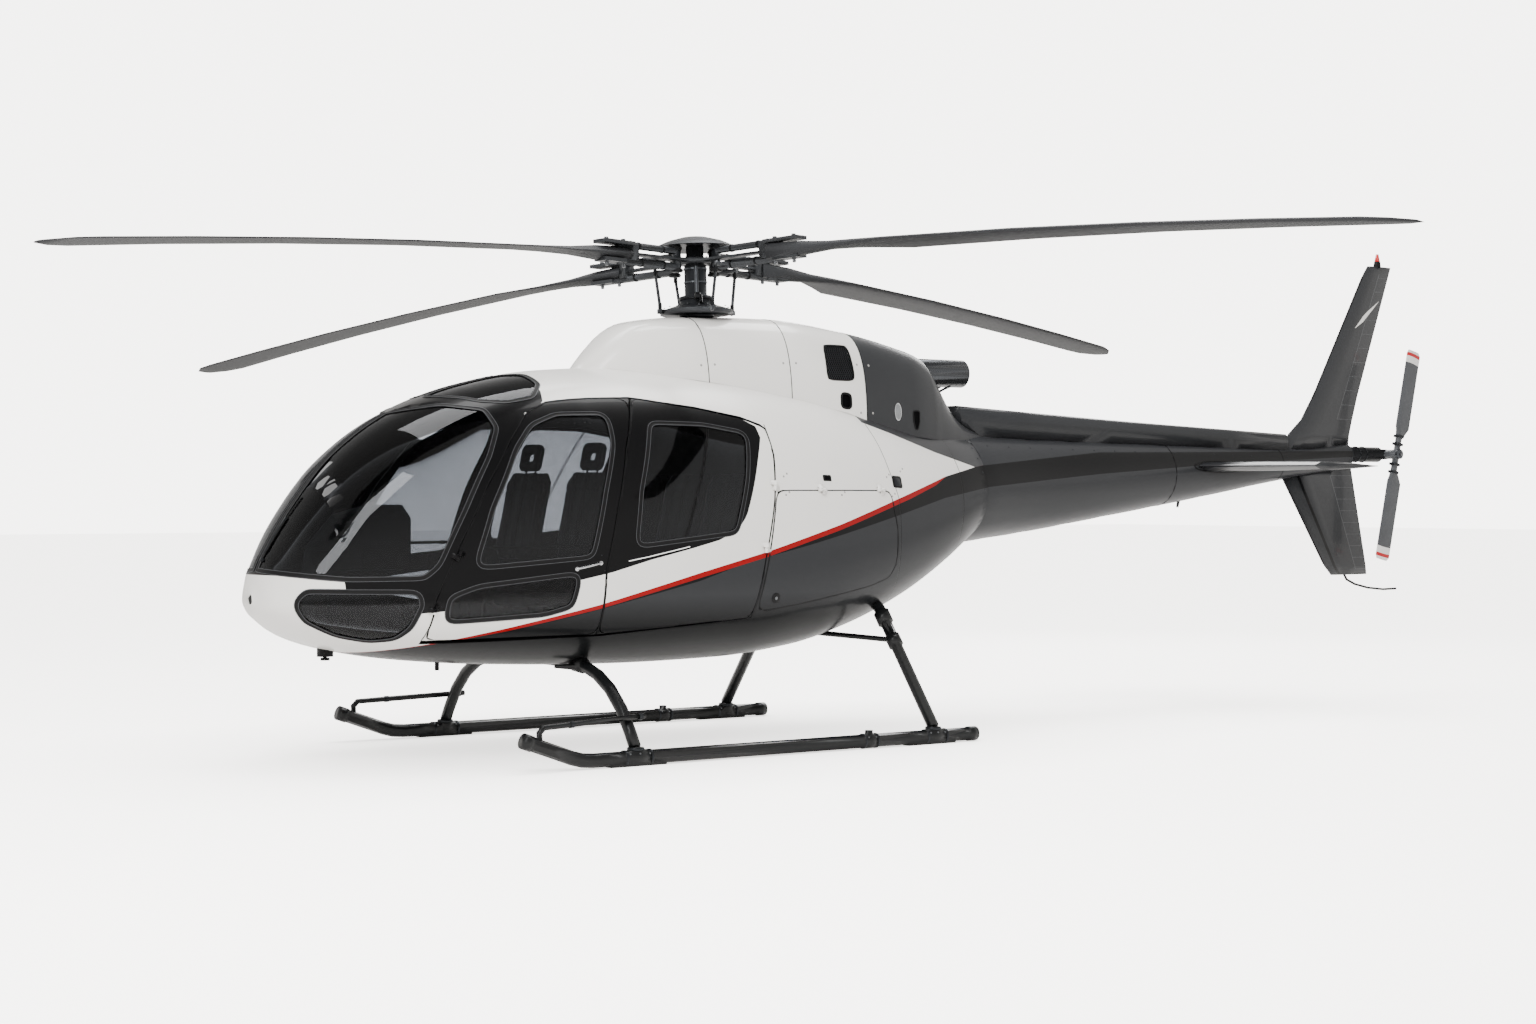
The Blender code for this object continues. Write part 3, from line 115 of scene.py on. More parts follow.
# Columns: station x, highest z, half width at the foot
COWL = (
    (-0.960, 2.470, 0.120),
    (-0.880, 2.545, 0.200),
    (-0.780, 2.640, 0.260),
    (-0.680, 2.722, 0.300),
    (-0.560, 2.778, 0.340),
    (-0.160, 2.824, 0.400),
    (0.480, 2.838, 0.430),
    (1.120, 2.775, 0.450),
    (1.570, 2.688, 0.425),
    (1.790, 2.625, 0.375),
    (1.890, 2.520, 0.340),
    (1.990, 2.372, 0.305),
    (2.110, 2.240, 0.260),
    (2.260, 2.150, 0.205),
    (2.400, 2.110, 0.165),
)

# Paint lines seen from the side, as (station x, z)
STRIPE_TOP = ((-3.30, 0.56), (-2.404, 0.736), (-1.968, 0.828), (-1.331, 0.966), (-0.606, 1.149), (-0.073, 1.274),
              (0.562, 1.442), (1.134, 1.606), (1.728, 1.768), (1.907, 1.800), (2.110, 1.838), (2.30, 1.860))
STRIPE_WIDTH = ((-3.30, 0.0), (-2.42, 0.004), (-1.90, 0.020), (-0.60, 0.032), (1.30, 0.036), (1.60, 0.026),
                (1.740, 0.0), (2.30, 0.0))
# Foot of the near-black band under the red stripe: a painted reflection of a dark horizon
REFLECTION_BAND_FOOT = ((-3.30, 0.50), (-0.60, 1.100), (-0.228, 1.212), (0.291, 1.314), (1.133, 1.498), (1.681, 1.619),
             (2.182, 1.689), (2.30, 1.70))
WHITE_TOP = ((-3.30, 3.0), (0.90, 3.0), (1.018, 2.137), (1.293, 2.060), (1.689, 1.939), (2.104, 1.838),
             (2.30, 1.79))
SURROUND_FOOT = ((-3.30, 1.165), (-3.124, 1.160), (-2.977, 1.136), (-2.850, 1.124), (-2.846, 0.930),
                 (-2.468, 0.935), (-2.295, 0.950), (-1.470, 1.120), (-1.244, 1.165), (-0.971, 1.237),
                 (-0.655, 1.306), (-0.448, 1.355), (-0.300, 1.420), (-0.225, 1.506), (-0.167, 1.642),
                 (-0.070, 1.884), (0.012, 2.059), (0.020, 3.0), (2.30, 3.0))
SURROUND_TOP = ((-3.30, 2.150), (-1.615, 2.180), (-1.515, 2.215), (-1.221, 2.241), (-0.915, 2.250), (-0.450, 2.197),
                (-0.120, 2.137), (0.000, 2.075), (0.020, 1.0), (2.30, 1.0))
# Aft edge of the dark roof, as (distance from the centre, station x)
ROOF_EDGE = ((0.0, -1.500), (0.15, -1.490), (0.34, -1.480), (0.47, -1.487), (0.541, -1.515), (0.60, -1.62),
             (0.70, -1.70), (1.0, -1.80))
# Panel seams of the hull's side, as (z, station x): each runs over its own heights
RING_SEAM = ((0.55, 1.300), (1.20, 1.180), (1.61, 1.170), (1.81, 1.110), (2.08, 1.060), (2.40, 1.040))
AFT_SEAM = ((0.90, 1.980), (1.40, 1.900), (1.80, 1.905), (2.10, 1.860), (2.40, 1.840))

# Window and door outlines seen from the side, as (station x, z)
FRONT_UPPER_WINDOW = ((-2.150, 1.200), (-2.010, 1.560), (-1.800, 1.920), (-1.660, 2.070), (-1.480, 2.140),
                      (-1.130, 2.150), (-1.150, 1.960), (-1.260, 1.670), (-1.380, 1.260))
FRONT_LOWER_WINDOW = ((-2.320, 0.880), (-2.300, 1.030), (-2.120, 1.095), (-1.460, 1.165), (-1.520, 0.960),
                      (-1.700, 0.915))
REAR_WINDOW = ((-1.075, 1.320), (-1.010, 1.670), (-0.850, 2.095), (-0.450, 2.090), (-0.110, 2.040),
               (-0.190, 1.740), (-0.310, 1.400))
# Windows seen along the diagonal, as (u, z) with u = (x - y) / sqrt 2
WINDSCREEN = ((-2.300, 1.195), (-2.180, 1.560), (-1.990, 1.870), (-1.700, 2.135), (-1.270, 2.195),
              (-1.000, 2.165), (-0.900, 2.050), (-0.912, 1.880), (-1.010, 1.550), (-1.130, 1.220),
              (-1.210, 1.145), (-1.626, 1.140))
CHIN_WINDOW = ((-1.960, 1.000), (-1.880, 1.070), (-1.230, 1.065), (-1.220, 0.980), (-1.290, 0.850),
               (-1.400, 0.780), (-1.560, 0.765), (-1.740, 0.800), (-1.900, 0.890))
# Window seen from above, as (station x, y) of the port side
ROOF_WINDOW = ((-2.110, -0.035), (-1.560, -0.035), (-1.460, -0.200), (-1.460, -0.400), (-1.560, -0.500),
               (-1.740, -0.475), (-1.890, -0.395), (-2.015, -0.235))

CENTRE_POST = 0.026
HUB_HEIGHT = 3.210
MAST_LEAN = math.radians(2.9)
ROTOR_AZIMUTH = math.radians(14.0)
TAIL_HUB = (6.800, -0.250, 1.975)
TAIL_LEAN = math.radians(13.0)

SEAT_STATION = -1.420
SEAT_Y = 0.380
BENCH_STATION = -0.420
SKID_Y = 1.200
SKID_CENTRE = 0.050
EXHAUST_HEIGHT = 2.518
STABILISER_HEIGHT = 1.860

# Openings, doors and seams seen from the side, as (station x, z)
GRILLE = ((0.80, 2.42), (1.03, 2.42), (1.02, 2.66), (0.81, 2.66))
COWL_PORT = ((0.905, 2.235), (0.985, 2.225), (0.985, 2.325), (0.905, 2.335))
DIVIDER = ((-0.407, 2.085), (-0.709, 1.370))
CABIN_OPENING = ((-2.412, 0.765), (-2.378, 1.024), (-2.228, 1.345), (-2.017, 1.706), (-1.816, 1.977), (-1.664, 2.139),
                 (-1.502, 2.214), (-1.221, 2.245), (-0.920, 2.255), (-0.450, 2.203), (-0.117, 2.146), (0.029, 2.096))
BAGGAGE_DOOR = ((0.040, 1.665), (1.080, 1.665), (1.135, 1.400), (1.140, 1.170), (1.090, 1.085),
                (0.900, 1.035), (0.240, 0.935), (-0.130, 0.890), (-0.045, 1.250))
FRONT_DOOR = ((-2.403, 0.774), (-2.370, 1.020), (-2.220, 1.340), (-2.010, 1.700), (-1.810, 1.970),
              (-1.660, 2.130), (-1.500, 2.205), (-1.220, 2.235), (-0.926, 2.245), (-1.078, 1.920),
              (-1.196, 1.550), (-1.294, 1.180), (-1.324, 0.788))
REAR_DOOR = ((-0.900, 2.242), (-0.450, 2.188), (-0.120, 2.130), (0.018, 2.082), (0.047, 2.061), (0.054, 1.900),
             (0.007, 1.610), (-0.088, 1.220), (-0.168, 0.862), (-0.560, 0.834), (-1.308, 0.787),
             (-1.278, 1.180), (-1.180, 1.550), (-1.059, 1.920))
DOOR_SPLIT = ((-0.913, 2.243), (-1.068, 1.920), (-1.188, 1.550), (-1.286, 1.180), (-1.316, 0.800))
CABIN_SEAM = ((-0.152, 0.860), (-0.080, 1.220), (0.015, 1.610), (0.065, 1.900), (0.060, 2.100))
# Leading edges of the fins, as (z, station x)
UPPER_FIN_EDGE = ((2.250, 5.950), (2.450, 6.095), (3.470, 6.700), (3.535, 6.750))
LOWER_FIN_EDGE = ((0.985, 6.310), (1.060, 6.230), (1.790, 5.720))

CHARCOAL = "#2b2c2e"

# The photograph's camera, in the frame: place, radians and millimetres
CAMERA_PLACE = (-10.698, -14.080, 1.638)
CAMERA_YAW = 0.6295
CAMERA_PITCH = -0.0066
CAMERA_LENS = 59.48


class Side(Enum):
    """The two sides of the aircraft, with the sign of their y."""

    PORT = -1
    STARBOARD = 1

    @property
    def word(self) -> str:
        """The side's name as the CAD nodes use it."""
        return self.name.lower()


def linear(colour: str) -> tuple[float, float, float, float]:
    """Turn an sRGB hex colour into linear red, green, blue and alpha.

    Args:
        colour: six hex digits with a leading hash.

    Returns:
        The linear colour that Blender's sockets take.
    """
    values = [int(colour[k:k + 2], 16) / 255.0 for k in (1, 3, 5)]
    out = [v / 12.92 if v <= 0.04045 else ((v + 0.055) / 1.055) ** 2.4 for v in values]
    return (*out, 1.0)


# Node trees


def add_node(tree: bpy.types.NodeTree, kind: str, inputs: dict | Sequence = (), out: int | str = 0,
             **settings: object) -> Socket:
    """Add a node with its settings and links.

    Args:
        tree: the tree that takes it.
        kind: the node's type.
        inputs: values or output sockets, in the order of its sockets or by socket name or number.
        out: which output to give back.
        settings: the node's own properties.

    Returns:
        The chosen output; its node attribute is the new node.
    """
    node = tree.nodes.new(kind)
    for key, value in settings.items():
        setattr(node, key, value)
    for key, value in inputs.items() if isinstance(inputs, dict) else enumerate(inputs):
        if isinstance(value, Socket):
            tree.links.new(value, node.inputs[key])
        else:
            node.inputs[key].default_value = value
    return node.outputs[out]


class Shader:
    """One material's node tree, with the patterns that several finishes share."""

    def __init__(self, name: str) -> None:
        """Start an empty tree that ends in one output.

        Args:
            name: the material's name.
        """
        self.material = bpy.data.materials.new(name)
        self.material.use_nodes = True
        self.tree = self.material.node_tree
        self.tree.nodes.clear()
        self.output = self.tree.nodes.new("ShaderNodeOutputMaterial")

    def add(self, kind: str, inputs: dict | Sequence = (), out: int | str = 0,
            **settings: object) -> Socket:
        """Add a shader node, named without its ShaderNode prefix, to this tree."""
        return add_node(self.tree, f"ShaderNode{kind}", inputs, out, **settings)

    def place(self) -> tuple[Socket, Socket, Socket]:
        """The piece's own coordinates in metres, which are the frame's."""
        node = self.add("SeparateXYZ", (self.add("TexCoord", out="Object"),)).node
        return node.outputs[0], node.outputs[1], node.outputs[2]

    def clouds(self, scale: float, detail: float = 3.0, stretch: Numbers = (1, 1, 1)) -> Socket:
        """A cloudy pattern from 0 to 1.

        Args:
            scale: cells a metre.
            detail: octaves.
            stretch: factors on each axis.

        Returns:
            The pattern's value.
        """
        mapped = self.add("Mapping", {"Vector": self.add("TexCoord", out="Object"), "Scale": tuple(stretch)})
        return self.add("TexNoise", {"Vector": mapped, "Scale": scale, "Detail": detail})

    def line(self, value: Socket, points: Sequence[Point], shift: float = 0.0,
             lift: float = 0.0) -> Socket:
        """A value read from a line of points, straight between them.

        Args:
            value: where to read it.
            points: (position, height) in rising order of position.
            shift: what to add to each position.
            lift: what to add to each height.

        Returns:
            The height at the value.
        """
        first, last = points[0][0] + shift, points[-1][0] + shift
        low, high = (pick(p[1] for p in points) for pick in (min, max))
        span = max(high - low, 1e-6)
        node = self.add("FloatCurve", {1: self.add("MapRange", (value, first, last, 0.0, 1.0))}).node
        curve = node.mapping.curves[0]
        while len(curve.points) < len(points):
            curve.points.new(0.5, 0.5)
        for knot, spot in zip(curve.points, points):
            knot.location = ((spot[0] + shift - first) / (last - first), (spot[1] - low) / span)
            knot.handle_type = "VECTOR"
        node.mapping.update()
        return self.add("Math", (node.outputs[0], span, low + lift), operation="MULTIPLY_ADD")

    def over(self, a: object, b: object, edge: float = 0.0012) -> Socket:
        """1 where a is more than b, with an edge this many metres soft."""
        apart = self.add("Math", (a, b), operation="SUBTRACT")
        return self.add("Math", (apart, 1.0 / edge, 0.5), operation="MULTIPLY_ADD", use_clamp=True)

    def apart(self, a: object, b: object) -> Socket:
        """How far a and b are from each other."""
        return self.add("Math", (self.add("Math", (a, b), operation="SUBTRACT"),), operation="ABSOLUTE")

    def joined(self, *values: object, operation: str = "MULTIPLY") -> Socket:
        """Several values made one by the same operation.

        Args:
            values: numbers or sockets.
            operation: the Math node's operation; a product gives where all masks are 1.

        Returns:
            The one value.
        """
        out = values[0]
        for value in values[1:]:
            out = self.add("Math", (out, value), operation=operation)
        return out

    def coats(self, colour: object, *layers: tuple[object, object]) -> Socket:
        """A colour with others laid over it in turn.

        Args:
            colour: the lowest coat, as sRGB hex, linear numbers or a socket.
            layers: the coats over it, each as (mask, colour).

        Returns:
            The colour on top.
        """
        for mask, coat in layers:
            under, over = (linear(c) if isinstance(c, str) else c for c in (colour, coat))
            colour = self.add("Mix", {0: mask, 6: under, 7: over}, 2, data_type="RGBA")
        return colour

    def faded(self, colour: str, factor: float, pattern: Socket, share: float,
              lift: float = 0.0) -> Socket:
        """A colour that drifts towards a darker or paler one.

        Args:
            colour: the sRGB hex colour.
            factor: what the other colour is to this one.
            pattern: where it drifts.
            share: how far it drifts at most.
            lift: what the other colour has added.

        Returns:
            The colour.
        """
        base = linear(colour)
        worn = (*(min(c * factor + lift, 1.0) for c in base[:3]), 1.0)
        return self.coats(base, (self.joined(pattern, share), worn))

    def bump(self, height: object, strength: float, distance: float, **under: object) -> Socket:
        """A normal raised by a pattern, over the Normal in under if one is given."""
        return self.add("Bump", {"Height": height, "Strength": strength, "Distance": distance, **under})

    def peel(self, **under: object) -> Socket:
        """The faint orange peel of sprayed paint: waves 11 mm long."""
        return self.bump(self.clouds(90.0, 2.0), 0.010, 0.001, **under)

    def surface(self, inputs: dict) -> Material:
        """End the tree in one Principled shader with these inputs."""
        return self.end(self.add("BsdfPrincipled", inputs))

    def end(self, shown: Socket) -> Material:
        """End the tree in this shader."""
        self.tree.links.new(shown, self.output.inputs["Surface"])
        return self.material


@dataclass(frozen=True)
class Enamel:
    """Sprayed two-pack enamel under a clear coat, which gives sharp reflections over a solid colour."""

    name: str
    colour: str
    soft: float = 0.30
    coat: float = 1.0
    level: float = 0.5

    def build(self) -> Material:
        """Make the material.

        Returns:
            The material.
        """
        shader = Shader(self.name)
        return shader.surface({"Base Color": shader.faded(self.colour, 0.90, shader.clouds(1.6, 4.0), 0.55),
                               "Roughness": self.soft, "Specular IOR Level": self.level, "Coat Weight": self.coat,
                               "Coat Roughness": 0.035, "Coat Normal": shader.peel()})


@dataclass(frozen=True)
class FinEnamel:
    """Dark enamel over a riveted aluminium fin: its aft skin shows the fine grooves between its bays.

    edge is the line between the spar and the bays, as (z, station x); first, last and pitch place the ribs in z;
    slash holds pale marks as pairs of an upper and a lower line; strip is the front of a dark strip.
    """

    name: str
    edge: tuple[Point, ...]
    first: float
    last: float
    pitch: float
    slash: tuple = ()
    strip: tuple[Point, ...] = ()
    rib_width: float = 0.014
    spar_width: float = 0.0016
    strip_width: float = 0.032

    def build(self) -> Material:
        """Make the material.

        Returns:
            The material.
        """
        shader = Shader(self.name)
        x, _, z = shader.place()
        spar = shader.line(z, self.edge, 0.0, HUB_STATION)
        height = shader.add("Math", (z, self.first), operation="SUBTRACT")
        step = shader.add("Math", (shader.add("Math", (height, self.pitch), operation="DIVIDE"),), operation="FRACT")
        tall = shader.joined(shader.over(z, self.first), shader.over(self.last, z))
        bays = shader.joined(shader.over(x, spar), tall)
        lines = shader.joined(shader.joined(shader.over(self.rib_width, step, 0.008), bays),
                              shader.joined(shader.over(self.spar_width, shader.apart(x, spar)), tall),
                              operation="MAXIMUM")
        colour = shader.coats(CHARCOAL, (shader.joined(shader.clouds(1.6, 4.0), 0.35), "#2a2b2d"),
                              (shader.joined(bays, 0.12), "#3a3b3e"), (lines, "#5c5e61"))
        for high, low in self.slash:
            mark = shader.joined(shader.over(shader.line(x, high, HUB_STATION), z),
                                 shader.over(z, shader.line(x, low, HUB_STATION)),
                                 shader.over(x, high[0][0] + HUB_STATION), shader.over(high[-1][0] + HUB_STATION, x))
            colour = shader.coats(colour, (mark, "#e4e3e0"))
        if self.strip:
            front = shader.line(z, self.strip, 0.0, HUB_STATION)
            back = shader.add("Math", (front, self.strip_width), operation="ADD")
            dark = shader.joined(shader.over(x, front), shader.over(back, x))
            colour = shader.coats(colour, (dark, "#050506"))
        groove = shader.bump(shader.add("Math", (1.0, lines), operation="SUBTRACT"), 0.4, 0.001)
        return shader.surface({"Base Color": colour, "Roughness": 0.30, "Specular IOR Level": 0.30,
                               "Coat Weight": 0.18, "Coat Roughness": 0.05, "Normal": groove})


@dataclass(frozen=True)
class Livery:
    """The hull's masked enamel coats: white over dark grey with a red stripe between, and a black window surround, all
    under one clear coat. Its seams are fine dark grooves. A near-black band under the red stripe is a painted
    reflection of a dark horizon, and the grey turns near-black low on the belly as painted shade."""

    name: str = "livery_enamel"
    white: str = "#e4e2de"
    black: str = "#060607"
    red: str = "#850308"
    # Height below which the grey darkens into painted shade
    belly: float = 0.93
    seam_half: float = 0.0026

    def build(self) -> Material:
        """Make the material.

        Returns:
            The material.
        """
        shader = Shader(self.name)
        x, y, z = shader.place()

        def table(points: Sequence[Point]) -> Socket:
            """A paint line's height at this station."""
            return shader.line(x, points, HUB_STATION)

        stripe = table(STRIPE_TOP)
        foot = shader.add("Math", (stripe, table(STRIPE_WIDTH)), operation="SUBTRACT")
        # Near-black band under the red stripe: a painted reflection of a dark horizon
        reflection_band = shader.joined(shader.over(foot, z), shader.over(z, table(REFLECTION_BAND_FOOT)))
        away = shader.add("Math", (y,), operation="ABSOLUTE")
        station = shader.add("Math", (x, HUB_STATION), operation="SUBTRACT")
        roof = shader.joined(shader.over(table(SURROUND_TOP), z), shader.over(shader.line(away, ROOF_EDGE), station),
                             operation="MAXIMUM")
        dark = shader.joined(shader.over(z, table(SURROUND_FOOT)), roof)
        tone = shader.joined(shader.clouds(1.3, 4.0), 0.06)
        white = shader.coats(self.white, (tone, "#b9b6b0"))
        # The grey turns near-black below the belly height: painted shade underneath the hull
        grey = shader.coats(CHARCOAL, (tone, "#303134"), (shader.over(self.belly, z, 0.16), "#0f1011"))
        seams = shader.joined(*(
            shader.over(self.seam_half, shader.apart(x, shader.line(z, seam, 0.0, HUB_STATION)), 0.0010)
            for seam in (RING_SEAM, AFT_SEAM)), operation="MAXIMUM")
        colour = shader.coats(white, (dark, self.black), (shader.over(z, table(WHITE_TOP)), grey),
                              (shader.over(stripe, z), self.red), (shader.over(foot, z), grey),
                              (reflection_band, "#0a0a0b"), (seams, "#0a0a0a"))
        groove = shader.bump(shader.add("Math", (1.0, seams), operation="SUBTRACT"), 0.5, 0.002)
        pale = shader.add("Math", (1.0, shader.joined(dark, shader.over(stripe, z), operation="MAXIMUM")),
                          operation="SUBTRACT")
        gloss = shader.add("Math", (pale, 0.34, 0.10), operation="MULTIPLY_ADD")
        return shader.surface({"Base Color": colour, "Roughness": 0.28, "Specular IOR Level": gloss,
                               "Coat Weight": 0.10, "Coat Roughness": 0.03, "Normal": groove,
                               "Coat Normal": shader.peel(Normal=groove)})


@dataclass(frozen=True)
class BoomEnamel:
    """Charcoal enamel with a near-black band along the boom's widest line, carried on from the hull's: a painted
    reflection of a dark horizon.
    """

    name: str = "boom_enamel"
    high: tuple[Point, ...] = ((2.20, 1.848), (3.50, 1.958), (4.79, 1.975), (6.40, 2.000))
    low: tuple[Point, ...] = ((2.20, 1.693), (3.44, 1.796), (4.79, 1.880), (6.40, 1.950))

    def build(self) -> Material:
        """Make the material.

        Returns:
            The material.
        """
        shader = Shader(self.name)
        x, _, z = shader.place()
        # Near-black band along the boom: a painted reflection of a dark horizon
        band = shader.joined(shader.over(shader.line(x, self.high, HUB_STATION), z),
                             shader.over(z, shader.line(x, self.low, HUB_STATION)))
        colour = shader.coats(CHARCOAL, (shader.joined(shader.clouds(1.3, 4.0), 0.3), "#303134"), (band, "#0b0b0c"))
        return shader.surface({"Base Color": colour, "Roughness": 0.30, "Specular IOR Level": 0.16,
                               "Coat Weight": 0.12, "Coat Roughness": 0.035, "Coat Normal": shader.peel()})


@dataclass(frozen=True)
class Acrylic:
    """Smoke-tinted moulded acrylic sheet: it darkens what is behind it and mirrors the sky at glancing angles."""

    name: str
    tint: str
    film: float

    def build(self) -> Material:
        """Make the material. Each sight line crosses a pane's two faces, so the tint works twice.

        Returns:
            The material.
        """
        shader = Shader(self.name)
        through = shader.add("BsdfTransparent", {"Color": linear(self.tint)})
        haze = shader.add("BsdfDiffuse", {"Color": linear("#1b1c1e")})
        rough = shader.joined(shader.clouds(6.0, 4.0), 0.03)
        mirror = shader.add("BsdfGlossy", {"Color": linear("#c9cacc"), "Roughness": rough})
        body = shader.add("MixShader", (self.film, through, haze))
        return shader.end(shader.add("MixShader", (shader.add("Fresnel", {"IOR": 1.42}), body, mirror)))


@dataclass(frozen=True)
class Metal:
    """Bare or treated metal: fine brushing breaks up its reflections."""

    name: str
    colour: str
    rough: float = 0.35
    metallic: float = 1.0
    grain: float = 90.0

    def build(self) -> Material:
        """Make the material. The brushing is drawn 11 mm coarse, because the real one is too fine to show.

        Returns:
            The material.
        """
        shader = Shader(self.name)
        fine = shader.clouds(self.grain, 4.0, (1.0, 1.0, 3.0))
        rough = shader.add("Math", (fine, 0.16, self.rough - 0.08), operation="MULTIPLY_ADD")
        return shader.surface({"Base Color": shader.faded(self.colour, 0.72, shader.clouds(7.0), 0.6),
                               "Metallic": self.metallic, "Roughness": rough,
                               "Normal": shader.bump(fine, 0.03, 0.0004)})


@dataclass(frozen=True)
class Satin:
    """Moulded rubber, trim, composite or satin paint: broad soft highlights over a faint grain."""

    name: str
    colour: str
    rough: float = 0.55
    grain: float = 300.0
    depth: float = 0.03
    coat: float = 0.0
    level: float = 0.4

    def build(self) -> Material:
        """Make the material.

        Returns:
            The material.
        """
        shader = Shader(self.name)
        fine = shader.clouds(self.grain)
        rough = shader.add("Math", (fine, 0.10, self.rough - 0.05), operation="MULTIPLY_ADD")
        return shader.surface({"Base Color": shader.faded(self.colour, 1.25, shader.clouds(3.5, 4.0), 0.5, 0.004),
                               "Roughness": rough, "Normal": shader.bump(fine, self.depth, 0.0004),
                               "Specular IOR Level": self.level, "Coat Weight": self.coat, "Coat Roughness": 0.12})


@dataclass(frozen=True)
class BladePaint:
    """Grey composite tail blades with a red and a white band painted round each tip."""

    name: str = "banded_blade_paint"
    white_from: float = 0.775
    red_from: float = 0.830
    red_to: float = 0.858

    def build(self) -> Material:
        """Make the material.

        Returns:
            The material.
        """
        shader = Shader(self.name)
        x, _, z = shader.place()
        squares = []
        for value, middle in ((x, TAIL_HUB[0] + HUB_STATION), (z, TAIL_HUB[2])):
            run = shader.add("Math", (value, middle), operation="SUBTRACT")
            squares.append(shader.joined(run, run))
        away = shader.add("Math", (shader.joined(*squares, operation="ADD"),), operation="SQRT")
        red = shader.joined(shader.over(away, self.red_from), shader.over(self.red_to, away))
        colour = shader.coats("#3d3f42", (shader.joined(shader.clouds(9.0, 4.0), 0.5), "#55575b"),
                              (shader.over(away, self.white_from), "#e4e3e0"), (red, "#b4141b"))
        return shader.surface({"Base Color": colour, "Roughness": 0.42, "Specular IOR Level": 0.4})


@dataclass(frozen=True)
class Leather:
    """Dyed hide: small closed grain with broad soft highlights and paler wear in broad cloudy patches."""

    name: str
    colour: str
    grain_mm: float = 1.6

    def build(self) -> Material:
        """Make the material.

        Returns:
            The material.
        """
        shader = Shader(self.name)
        cells = shader.add("TexVoronoi", {"Vector": shader.add("TexCoord", out="Object"),
                                          "Scale": 1000.0 / self.grain_mm}, feature="DISTANCE_TO_EDGE")
        wide = shader.clouds(8.0, 4.0)
        rough = shader.add("Math", (wide, 0.14, 0.40), operation="MULTIPLY_ADD")
        return shader.surface({"Base Color": shader.faded(self.colour, 1.7, wide, 0.5, 0.004), "Roughness": rough,
                               "Normal": shader.bump(cells, 0.20, 0.0005), "Specular IOR Level": 0.45})


